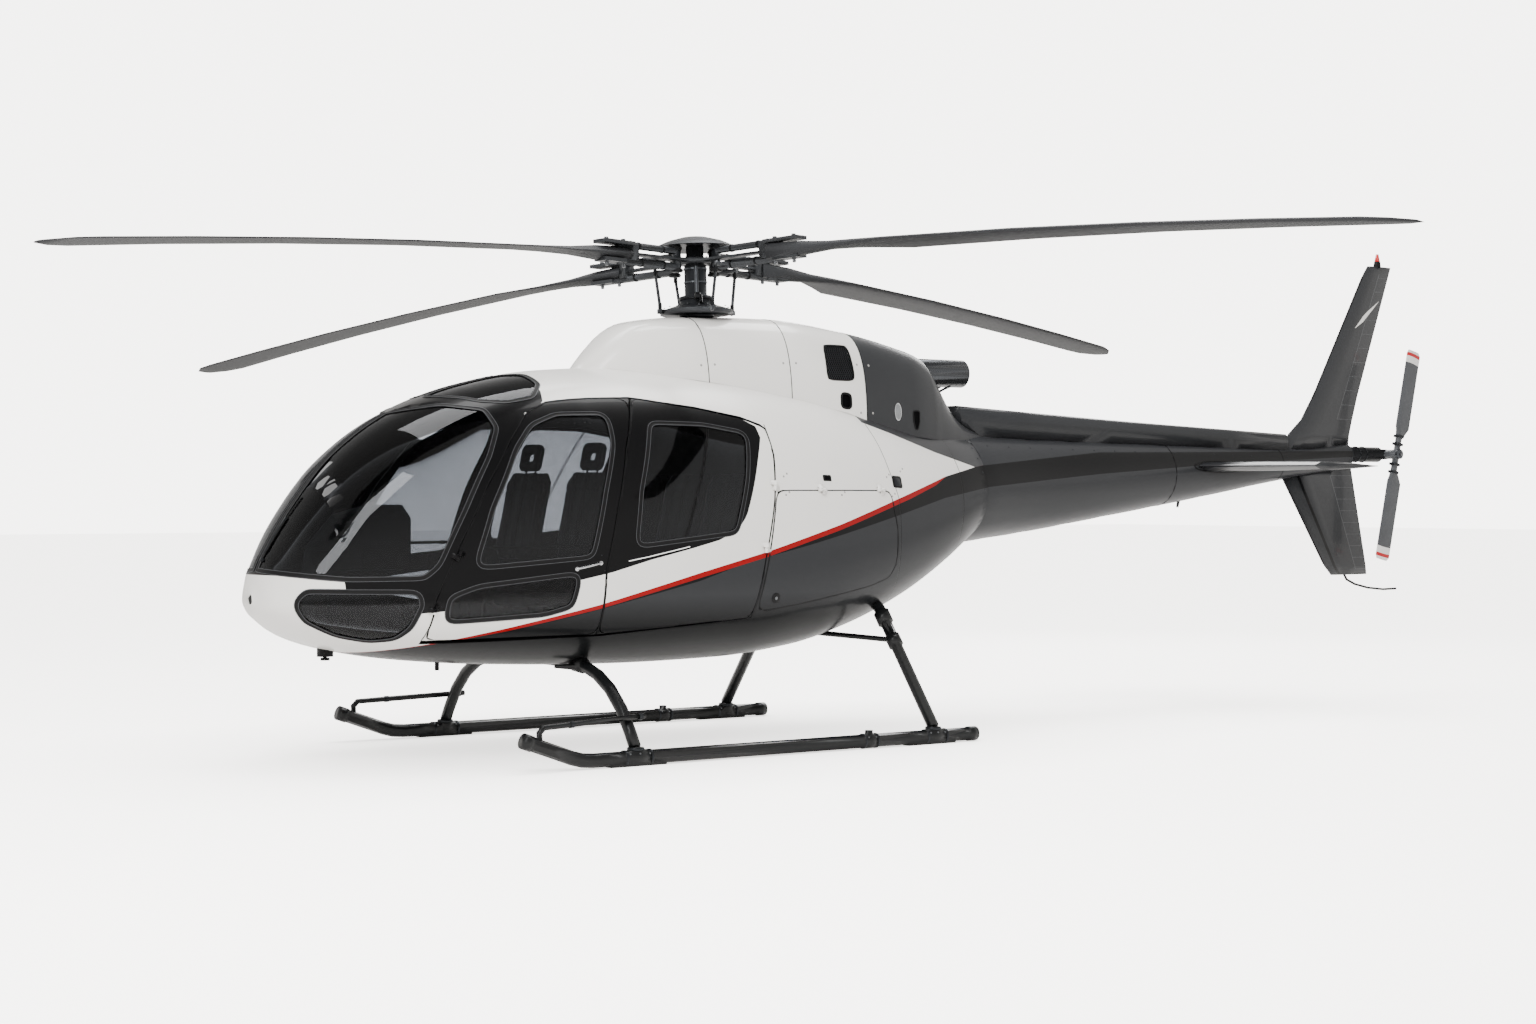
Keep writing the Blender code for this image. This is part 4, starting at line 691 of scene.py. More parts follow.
FINISHES = {
    # Gloss white that keeps a slight warmth in its shadows
    "white": Enamel("white_enamel", "#e4e2de", 0.28, 0.5, 0.45),
    # Charcoal that reads as dark satin, with only a thin shine
    "grey": Enamel("charcoal_enamel", CHARCOAL, 0.30, 0.12, 0.16),
    "boom": BoomEnamel(),
    "upper_fin": FinEnamel("upper_fin_enamel", ((2.10, 6.27), (3.50, 6.88)), 2.26, 3.47, 0.118,
                           ((((6.554, 3.013), (6.66, 3.115), (6.72, 3.158), (6.881, 3.251)),
                             ((6.554, 3.011), (6.66, 3.068), (6.72, 3.118), (6.881, 3.249))),)),
    "lower_fin": FinEnamel("lower_fin_enamel", ((1.00, 6.60), (1.80, 6.26)), 1.03, 1.80, 0.096, (),
                           ((0.985, 6.375), (1.060, 6.300), (1.790, 5.850))),
    "livery": Livery(),
    # Clear enough to show the seats, dark enough to read as smoked
    "glass": Acrylic("smoke_acrylic", "#babcbf", 0.02),
    # Painted glass-fibre skin, nearly matt
    "rotor": Satin("blade_composite", "#2a2b2d", 0.48, 60.0, 0.01, 0.0, 0.14),
    "tail_blades": BladePaint(),
    # Anodised forgings with a dull sheen; the paler one marks the beams and sleeves
    "head": Metal("rotor_head_alloy", "#383a3d", 0.42, 0.65),
    "head_light": Metal("forged_beam_alloy", "#4b4e52", 0.34, 0.80),
    # Blued steel, almost black
    "dark": Metal("dark_gear_steel", "#1b1c1e", 0.40, 0.8),
    # Brushed stainless with soft streaks
    "steel": Metal("brushed_steel", "#4e5053", 0.27),
    # Plated metal that mirrors the sky
    "chrome": Metal("polished_chrome", "#c9cacc", 0.12),
    # Baked black enamel on steel tube, with a long soft highlight
    "gear": Satin("gear_black_enamel", "#0d0e0f", 0.32, 40.0, 0.006, 0.10, 0.25),
    # Extruded rubber that swallows light
    "seal": Satin("seal_rubber", "#060607", 0.50, 60.0, 0.01, 0.0, 0.2),
    # The dark line of a lap joint
    "groove": Satin("joint_shadow", "#0b0b0c", 0.7, 60.0, 0.01, 0.0, 0.2),
    # Moulded ABS with a fine matt texture
    "lining": Satin("cabin_lining", "#1a1b1d", 0.8, 300.0, 0.05),
    "trim": Satin("console_trim", "#111214", 0.6, 300.0, 0.05),
    "leather": Leather("seat_leather", "#1c1d1f"),
    # Folded hide round a cord, coloured paler than the seat's leather: a painted highlight along its crown
    "piping": Satin("seat_piping", "#3c3d40", 0.55, 200.0, 0.03),
    # Woven polyester, dry and without highlights; its weave is drawn 2 mm wide
    "webbing": Satin("belt_webbing", "#2b2c2e", 0.75, 500.0, 0.10),
    # Black card behind glass, and the white ink on it
    "dial": Satin("dial_face", "#050506", 0.35, 60.0, 0.0),
    "mark": Satin("dial_marks", "#c8c8c4", 0.5, 60.0, 0.0),
    # Red moulded lens with a wet shine
    "lens": Enamel("red_lens", "#c41010", 0.12),
    # Plated and blackened screw heads: a bright speck and a dark one
    "stud": Metal("stud_steel", "#6f7174", 0.34),
    "stud_dark": Metal("blackened_stud", "#2c2e31", 0.38, 0.8),
    # Screw heads under the white coat, coloured grey as painted shade that stands for their shadow
    "painted_stud": Enamel("painted_stud", "#8e8c89"),
    # Painted highlight: the fine light that runs along a bead's crown
    "bead_line": Satin("bead_highlight", "#3d3f42", 0.35, 60.0, 0.0),
    # Painted highlight along a crease: a hairline of gloss white
    "white_line": Enamel("white_line", "#f4f3f0"),
    # Expanded steel mesh, dull with bright nicks
    "mesh_wire": Metal("grille_wire", "#3a3c3f", 0.42, 0.8),
    # Painted shade: a dark sheet standing in for an opening with no light in it
    "void": Satin("dark_opening", "#030304", 0.9, 60.0, 0.0, 0.0, 0.05),
    # Sand-blasted glass over a lamp
    "frosted": Satin("frosted_lens", "#6c6e70", 0.25, 40.0, 0.01, 0.5, 0.5),
    # Moulded rubber of the bearings, matt black
    "elastomer": Satin("elastomer_rubber", "#101012", 0.6, 200.0, 0.03),
}
MADE: dict[str, Material] = {}


def finish(key: str) -> Material:
    """The material of a named finish, made once.

    Args:
        key: a key of FINISHES.

    Returns:
        The material.
    """
    if key not in MADE:
        MADE[key] = FINISHES[key].build()
    return MADE[key]


# Surfaces that the skins follow


def unit(rows: np.ndarray) -> np.ndarray:
    """Rows of vectors brought to length one."""
    return rows / np.maximum(np.linalg.norm(rows, axis=1), 1e-9)[:, None]


class Curves:
    """A table read by smooth curves that never overshoot its points."""

    def __init__(self, table: Rows) -> None:
        """Work out the slope at each row so that no curve overshoots.

        Args:
            table: the rows, each with its position first.
        """
        data = np.array(table, float)
        self.x, self.v = data[:, 0], data[:, 1:]
        h = np.diff(self.x)
        rise = np.diff(self.v, axis=0) / h[:, None]
        slope = np.zeros_like(self.v)
        slope[0], slope[-1] = rise[0], rise[-1]
        for i in range(1, len(self.x) - 1):
            w1, w2 = 2 * h[i] + h[i - 1], h[i] + 2 * h[i - 1]
            same = rise[i - 1] * rise[i] > 0
            a = np.where(same, rise[i - 1], 1.0)
            b = np.where(same, rise[i], 1.0)
            slope[i] = np.where(same, (w1 + w2) / (w1 / a + w2 / b), 0.0)
        self.h, self.slope = h, slope

    def at(self, x: np.ndarray) -> np.ndarray:
        """The table's columns at each x.

        Args:
            x: the positions.

        Returns:
            One row for each position.
        """
        x = np.clip(x, self.x[0], self.x[-1])
        k = np.clip(np.searchsorted(self.x, x, side="right") - 1, 0, len(self.h) - 1)
        h = self.h[k][:, None]
        s = ((x - self.x[k]) / self.h[k])[:, None]
        return ((2 * s**3 - 3 * s**2 + 1) * self.v[k] + (s**3 - 2 * s**2 + s) * h * self.slope[k]
                + (3 * s**2 - 2 * s**3) * self.v[k + 1] + (s**3 - s**2) * h * self.slope[k + 1])


class Surface:
    """A skin given by how far out a point stands in its own section: 1 on the skin."""

    def __init__(self, table: Rows) -> None:
        """Keep the table's curves."""
        self.curves = Curves(table)

    def shares(self, p: np.ndarray, inset: float) -> tuple[np.ndarray | float, ...]:
        """The section's middle height, and each point's share of width and height with its power.

        Args:
            p: the points.
            inset: how far the skin is drawn in.

        Returns:
            The middle, the two shares and the power.
        """
        low, high, half, middle, upper, lower = self.curves.at(p[:, 0] - HUB_STATION).T
        above = p[:, 2] >= middle
        reach = np.where(above, high - middle, middle - low) - inset
        power = np.where(above, upper, lower)
        return middle, np.abs(p[:, 1] / (half - inset)), np.abs((p[:, 2] - middle) / reach), power

    def level(self, p: np.ndarray, inset: float) -> np.ndarray:
        """How far out each point stands, where 1 is on the skin drawn in by the inset."""
        _, u, v, power = self.shares(p, inset)
        return (u**power + v**power) ** (1.0 / power)

    def pull(self, p: np.ndarray, inset: float) -> np.ndarray:
        """Each point moved within its section onto the skin."""
        middle, r = self.shares(p, inset)[0], np.maximum(self.level(p, inset), 1e-6)
        return np.stack([p[:, 0], p[:, 1] / r, middle + (p[:, 2] - middle) / r], axis=1)

    def slope(self, p: np.ndarray, inset: float) -> np.ndarray:
        """The level's gradient at each point, per metre.

        Args:
            p: the points.
            inset: how far the skin is drawn in.

        Returns:
            The gradients as rows.
        """
        out = np.zeros_like(p)
        for axis in range(3):
            step = np.zeros(3)
            step[axis] = 2e-4
            out[:, axis] = (self.level(p + step, inset) - self.level(p - step, inset)) / 4e-4
        return out


class ArchSurface(Surface):
    """The engine cowl: an arch that stands on a flat foot."""

    def shares(self, p: np.ndarray, inset: float) -> tuple[np.ndarray | float, ...]:
        """The section's middle height, and each point's share of width and height with its power.

        Args:
            p: the points.
            inset: how far the skin is drawn in.

        Returns:
            The foot's height, the two shares and the arch's power.
        """
        high, half = self.curves.at(p[:, 0] - HUB_STATION).T
        rise = (p[:, 2] - COWL_FOOT) / (high - COWL_FOOT - inset)
        return COWL_FOOT, np.abs(p[:, 1] / (half - inset)), np.abs(rise), COWL_ROUNDNESS


HULL_SKIN = Surface(HULL)
BOOM_SKIN = Surface(BOOM)
COWL_SKIN = ArchSurface(COWL)


@dataclass
class Path:
    """Points with the outward direction at each, in the frame."""

    points: np.ndarray
    normals: np.ndarray

    def lifted(self, out: float) -> "Path":
        """The same path moved outwards."""
        return Path(self.points + self.normals * out, self.normals)


def at(station: float, y: float, z: float) -> tuple[float, float, float]:
    """A point given by its station, in the frame."""
    return station + HUB_STATION, y, z


def resampled(points: Rows, spacing: float, closed: bool = False) -> np.ndarray:
    """Points along a line of straight runs, no further apart than the spacing.

    Args:
        points: the corners.
        spacing: the longest step, in the points' own unit.
        closed: whether the last corner joins the first.

    Returns:
        The points as rows.
    """
    corners = np.array(points, float)
    if closed:
        corners = np.vstack([corners, corners[:1]])
    rows = []
    for a, b in zip(corners, corners[1:]):
        steps = max(int(math.ceil(np.linalg.norm(b - a) / spacing)), 1)
        rows += [a + (b - a) * k / steps for k in range(steps)]
    if not closed:
        rows.append(corners[-1])
    return np.array(rows)


def rounded(points: Sequence[Point], radius: float = 0.055, steps: int = 4) -> list[Point]:
    """An outline with its corners of 32 degrees and more turned into arcs.

    Args:
        points: the corners of a closed outline.
        radius: the arcs' radius, which short sides cut down.
        steps: runs to an arc.

    Returns:
        The new outline's points.
    """
    out: list[Point] = []
    count = len(points)
    for k in range(count):
        before, here, after = (Vector(points[(k + n) % count]) for n in (-1, 0, 1))
        a, b = before - here, after - here
        turn = math.pi - a.angle(b)
        if turn < math.radians(32.0):
            out.append(tuple(here))
            continue
        reach = min(radius * math.tan(turn / 2.0), 0.45 * a.length, 0.45 * b.length)
        start, stop = here + a.normalized() * reach, here + b.normalized() * reach
        for t in (step / steps for step in range(steps + 1)):
            out.append(tuple(start.lerp(here, t).lerp(here.lerp(stop, t), t)))
    return out


def softened(flat: np.ndarray, rounds: int = 5) -> np.ndarray:
    """A closed line with its corners eased.

    Args:
        flat: its points.
        rounds: how many times.

    Returns:
        The eased points.
    """
    for _ in range(rounds):
        flat = 0.5 * flat + 0.25 * (np.roll(flat, 1, axis=0) + np.roll(flat, -1, axis=0))
    return flat


def met(skin: Surface, start: np.ndarray, way: Numbers, far: float) -> Path:
    """Where lines from inside a skin come out of it.

    Args:
        skin: the surface.
        start: points inside it.
        way: the way each line runs, or the one way that all run.
        far: how far to look, in metres.

    Returns:
        The points on the skin with its normals.
    """
    direction = np.broadcast_to(way, start.shape)
    low, high = np.zeros(len(start)), np.full(len(start), far)
    for _ in range(34):
        middle = (low + high) / 2.0
        inside = skin.level(start + direction * middle[:, None], 0.0) < 1.0
        low, high = np.where(inside, middle, low), np.where(inside, high, middle)
    points = start + direction * low[:, None]
    return Path(points, unit(skin.slope(points, 0.0)))


def columns(x: object, y: object, z: object) -> np.ndarray:
    """Points from three columns, any of which may be one number."""
    return np.stack(np.broadcast_arrays(x, y, z), axis=1).astype(float)


def side_path(outline: Sequence[Point], side: Side, closed: bool = False, spacing: float = 0.04,
              skin: Surface | None = None) -> Path:
    """A line given as (station x, z) laid on a skin's side.

    Args:
        outline: the line's corners.
        side: which side.
        closed: whether it joins up; a long closed line is softened too.
        spacing: its longest step.
        skin: the surface, the hull's if none is given.

    Returns:
        The path on the skin.
    """
    flat = resampled(outline, spacing, closed)
    if closed and len(flat) > 40:
        flat = softened(flat)
    start = columns(flat[:, 0] + HUB_STATION, side.value * 0.01, flat[:, 1])
    return met(skin or HULL_SKIN, start, (0.0, float(side.value), 0.0), 1.5)


def diagonal_path(outline: Sequence[Point], side: Side, spacing: float = 0.022) -> Path:
    """A closed line given as (u, z) along the diagonal laid on the hull, kept clear of the centre post.

    Args:
        outline: the line's corners.
        side: which side.
        spacing: its longest step.

    Returns:
        The path on the hull, with a straight run down the post where the line would cross it.
    """
    root, near = math.sqrt(0.5), 1.20
    flat = softened(resampled(outline, spacing, True))
    start = columns((flat[:, 0] - near) * root + HUB_STATION, side.value * (flat[:, 0] + near) * root, flat[:, 1])
    out = met(HULL_SKIN, start, (-root, side.value * root, 0.0), 2.4)
    keep = side.value * out.points[:, 1] >= CENTRE_POST
    if keep.all():
        return out
    turn = int(np.argmax(keep & ~np.roll(keep, 1)))
    order = np.roll(np.arange(len(keep)), -turn)
    points = out.points[order[keep[order]]]
    top, foot = points[-1, 2], points[0, 2]
    heights = np.linspace(top, foot, max(int(abs(top - foot) / spacing), 2) + 1)
    post = met(HULL_SKIN, columns(-1.0, side.value * CENTRE_POST, heights), (-1.0, 0.0, 0.0), 3.4)
    points = np.vstack([points, post.points])
    return Path(points, unit(HULL_SKIN.slope(points, 0.0)))


def roof_path(outline: Sequence[Point], side: Side, spacing: float = 0.022) -> Path:
    """A closed line given as (station x, y) of the port side laid on the roof."""
    flat = softened(resampled(outline, spacing, True), 3)
    return met(HULL_SKIN, columns(flat[:, 0] + HUB_STATION, -side.value * flat[:, 1], 1.3), (0.0, 0.0, 1.0), 1.5)


def ring_path(skin: Surface, station: float, angles: Numbers, centre: float) -> Path:
    """A line round a skin at one station, met from its centre height.

    Args:
        skin: the surface.
        station: where along it.
        angles: degrees from starboard over the top.
        centre: the height that the lines start from.

    Returns:
        The path on the skin.
    """
    turn = np.radians(angles)
    return met(skin, columns(station + HUB_STATION, np.zeros(len(turn)), centre),
               columns(0.0, np.cos(turn), np.sin(turn)), 1.6)


def together(*paths: Path) -> Path:
    """Several paths as one set of points."""
    return Path(np.vstack([p.points for p in paths]), np.vstack([p.normals for p in paths]))


def strip(half: float, out: float, sunk: float = 0.002) -> tuple[Point, ...]:
    """A flat strip's profile: half its width, how far it stands out and how far it is sunk."""
    return (-half, -sunk), (-half, out), (half, out), (half, -sunk)


def collar(half: float, edge: float, radius: float, drop: float) -> tuple[Point, ...]:
    """A turned collar's profile: half its length, its edges' length, its radius and how far the edges drop."""
    return (-half, radius - drop), (-half + edge, radius), (half - edge, radius), (half, radius - drop)


def clipped(a: float, b: float, share: float) -> list[Point]:
    """The corners of a rectangle of half sizes a and b, each clipped by a share of the smaller."""
    c = min(a, b) * share
    return [(-a + c, -b), (a - c, -b), (a, -b + c), (a, b - c), (a - c, b), (-a + c, b), (-a, b - c), (-a, -b + c)]


def walls(count: int, sides: int, closed: bool = False) -> list[tuple[int, ...]]:
    """The faces that join rings of points.

    Args:
        count: how many rings there are.
        sides: how many points make a ring.
        closed: whether the last ring joins the first.

    Returns:
        The faces as indices into the rings, one after the other.
    """
    return [(i * sides + k, i * sides + (k + 1) % sides, (i + 1) % count * sides + (k + 1) % sides,
             (i + 1) % count * sides + k) for i in range(count if closed else count - 1) for k in range(sides)]


def read(items: bpy.types.bpy_prop_collection, key: str, kind: type = float, width: int = 1) -> np.ndarray:
    """One value of every item of a mesh.

    Args:
        items: the mesh's points, corners or faces.
        key: the value's name.
        kind: its type.
        width: how many numbers it holds.

    Returns:
        The values, as rows if they are wide.
    """
    out = np.zeros(len(items) * width, kind)
    items.foreach_get(key, out)
    return out.reshape(-1, width) if width > 1 else out


def add_object(name: str, data: bpy.types.ID) -> Object:
    """A new object at the origin.

    Args:
        name: its name.
        data: its mesh, lamp or camera.

    Returns:
        The object.
    """
    item = bpy.data.objects.new(name, data)
    bpy.context.scene.collection.objects.link(item)
    return item


class Sculptor:
    """Collects closed shapes into one mesh; each shape takes one of the piece's looks."""

    sharp: float = math.radians(40.0)
    thinnest: float = 0.0004

    def __init__(self, *looks: str) -> None:
        """Start with no shapes."""
        self.looks = looks
        self.verts: list[tuple[float, float, float]] = []
        self.faces: list[tuple[int, ...]] = []
        self.kinds: list[int] = []

    def shape(self, points: Rows, faces: Sequence[Sequence[int]], look: int = 0) -> None:
        """Add one shape.

        Args:
            points: its points.
            faces: its faces, as indices of its points.
            look: which look.
        """
        base = len(self.verts)
        self.verts += [tuple(map(float, p)) for p in points]
        self.faces += [tuple(base + k for k in face) for face in faces]
        self.kinds += [look] * len(faces)

    def sweep(self, path: Path, profile: Sequence[Point], look: int = 0, closed: bool = False) -> None:
        """Carry a closed profile along a path on a skin.

        Args:
            path: where it goes.
            profile: its points, as (across, out).
            look: which look.
            closed: whether the path joins up.
        """
        points, normals = path.points, path.normals
        ahead, behind = np.roll(points, -1, axis=0), np.roll(points, 1, axis=0)
        if not closed:
            ahead[-1], behind[0] = points[-1], points[0]
        across = unit(np.cross(unit(ahead - behind), normals))
        rings = np.stack([points + across * a + normals * b for a, b in profile], axis=1).reshape(-1, 3)
        sides = len(profile)
        faces = walls(len(points), sides, closed)
        if not closed:
            faces += [tuple(range(sides)), tuple(reversed(range(len(rings) - sides, len(rings))))]
        self.shape(rings, faces, look)

    def tube(self, points: Rows, radius: float | Numbers, look: int = 0,
             sides: int = 10) -> None:
        """A round bar through points, with flat ends.

        Args:
            points: its middle line.
            radius: one radius, or one for each point.
            look: which look.
            sides: how many sides it has.
        """
        line = np.array([tuple(p) for p in points], float)
        radii = np.broadcast_to(radius, len(line))
        tangent = unit(np.gradient(line, axis=0))
        side = np.cross(tangent[0], (0.0, 0.0, 1.0) if abs(tangent[0][2]) < 0.9 else (1.0, 0.0, 0.0))
        rows = []
        for place, along, r in zip(line, tangent, radii):
            side = side - along * side.dot(along)
            side /= np.linalg.norm(side)
            other = np.cross(along, side)
            for k in range(sides):
                angle = math.tau * k / sides
                rows.append(place + r * (side * math.cos(angle) + other * math.sin(angle)))
        faces = [(a, d, c, b) for a, b, c, d in walls(len(line), sides)]
        self.shape(rows, [*faces, tuple(reversed(range(sides))), tuple(range(len(rows) - sides, len(rows)))], look)

    def lathe(self, profile: Sequence[Point], place: Numbers, axis: Numbers, look: int = 0,
              sides: int = 24) -> None:
        """A turned shape from (distance along the axis, radius) points.

        Args:
            profile: the points.
            place: where the distance is 0.
            axis: the way it points.
            look: which look.
            sides: how many sides it has.
        """
        way = Vector(axis).normalized()
        self.tube([Vector(place) + way * h for h, _ in profile], [max(r, self.thinnest) for _, r in profile], look,
                  sides)

    def block(self, place: Numbers, along: Numbers, across: Numbers, size: Numbers,
              look: int = 0, ease: float = 0.15) -> None:
        """A small box with eased edges.

        Args:
            place: its middle.
            along: its first direction.
            across: its second direction, made square to the first.
            size: its full size along, across and through.
            look: which look.
            ease: how much the two ends draw in, as a share of the smallest size.
        """
        u, v = Vector(along).normalized(), Vector(across)
        v = (v - u * v.dot(u)).normalized()
        w, cut = u.cross(v), min(size) * ease
        rows = []
        for level, draw in ((-0.5, cut), (-0.5 + cut / size[2], 0.0), (0.5 - cut / size[2], 0.0), (0.5, cut)):
            rows += [Vector(place) + u * s + v * t + w * (level * size[2])
                     for s, t in clipped(size[0] / 2 - draw, size[1] / 2 - draw, 0.25)]
        self.shape(rows, [*walls(4, 8), tuple(reversed(range(8))), tuple(range(24, 32))], look)

    def fan(self, path: Path, look: int = 0) -> None:
        """A closed path filled from its middle.

        Args:
            path: the path.
            look: which look.
        """
        count = len(path.points)
        self.shape([*path.points, path.points.mean(axis=0)],
                   [(k, (k + 1) % count, count) for k in range(count)], look)

    def finish(self, name: str, body: str) -> Object:
        """Make the piece and ride it on its body.

        Args:
            name: its name.
            body: the body.

        Returns:
            The piece.
        """
        mesh = bpy.data.meshes.new(name)
        mesh.from_pydata(self.verts, [], self.faces)
        mesh.polygons.foreach_set("material_index", self.kinds)
        bm = bmesh.new()
        bm.from_mesh(mesh)
        bmesh.ops.recalc_face_normals(bm, faces=bm.faces)
        bm.to_mesh(mesh)
        bm.free()
        for look in self.looks:
            mesh.materials.append(finish(look))
        mesh.shade_smooth()
        mesh.set_sharp_from_angle(angle=self.sharp)
        item = add_object(name, mesh)
        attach(item, body)
        LOG.info("%s: %d faces", name, len(self.faces))
        return item


class StudRows:
    """Screw and rivet heads set on points by one Geometry Nodes tree."""

    head_sides: int = 10
    top_share: float = 0.62
    seed: int = 7

    def __init__(self) -> None:
        """Make the tree with its named inputs."""
        self.tree = bpy.data.node_groups.new("stud_rows", "GeometryNodeTree")
        face = self.tree.interface
        face.new_socket("Geometry", in_out="INPUT", socket_type="NodeSocketGeometry")
        self.sockets = {}
        for name, kind in (("Head radius", "Float"), ("Head height", "Float"), ("Look", "Material")):
            socket = face.new_socket(name, in_out="INPUT", socket_type=f"NodeSocket{kind}")
            self.sockets[name] = socket.identifier
        face.new_socket("Geometry", in_out="OUTPUT", socket_type="NodeSocketGeometry")
        self.lay()

    def lay(self) -> None:
        """Lay out the tree: a coned head on every point, turned to the point's facing and spun at random."""
        start = self.tree.nodes.new("NodeGroupInput").outputs
        tree, radius = self.tree, start["Head radius"]
        top = add_node(tree, "ShaderNodeMath", (radius, self.top_share), operation="MULTIPLY")
        head = add_node(tree, "GeometryNodeMeshCone",
                        {"Vertices": self.head_sides, "Radius Bottom": radius, "Radius Top": top,
                         "Depth": start["Head height"]}, "Mesh")
        facing = add_node(tree, "GeometryNodeInputNamedAttribute", {"Name": "facing"}, "Attribute",
                          data_type="FLOAT_VECTOR")
        turn = add_node(tree, "FunctionNodeAlignRotationToVector", {"Vector": facing}, axis="Z")
        chance = add_node(tree, "FunctionNodeRandomValue", {"Seed": self.seed}, "Value", data_type="FLOAT")
        spin = add_node(tree, "FunctionNodeAxisAngleToRotation", {"Angle": chance})
        both = add_node(tree, "FunctionNodeRotateRotation", {"Rotation": turn, "Rotate By": spin},
                        rotation_space="LOCAL")
        place = add_node(tree, "GeometryNodeInstanceOnPoints",
                         {"Points": start["Geometry"], "Instance": head, "Rotation": both})
        real = add_node(tree, "GeometryNodeRealizeInstances", (place,))
        paint = add_node(tree, "GeometryNodeSetMaterial", {"Geometry": real, "Material": start["Look"]})
        tree.links.new(paint, tree.nodes.new("NodeGroupOutput").inputs[0])

    def set(self, name: str, body: str, path: Path, look: str, radius: float, height: float) -> Object:
        """Set heads on every point of a path and make them one plain mesh.

        Args:
            name: the piece's name.
            body: the body that it rides on.
            path: where the heads stand and face.
            look: their finish.
            radius: a head's radius in metres.
            height: how far it stands out.

        Returns:
            The piece.
        """
        mesh = bpy.data.meshes.new(f"{name}_points")
        mesh.from_pydata([tuple(p) for p in path.points], [], [])
        layer = mesh.attributes.new("facing", "FLOAT_VECTOR", "POINT")
        layer.data.foreach_set("vector", path.normals.astype(np.float32).ravel())
        item = add_object(name, mesh)
        modifier = item.modifiers.new("studs", "NODES")
        modifier.node_group = self.tree
        for key, value in (("Head radius", radius), ("Head height", height), ("Look", finish(look))):
            modifier[self.sockets[key]] = value
        bpy.context.view_layer.update()
        graph = bpy.context.evaluated_depsgraph_get()
        plain = bpy.data.meshes.new_from_object(item.evaluated_get(graph))
        item.modifiers.clear()
        item.data = plain
        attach(item, body)
        LOG.info("%s: %d heads", name, len(path.points))
        return item


# Pieces made from the CAD's own meshes


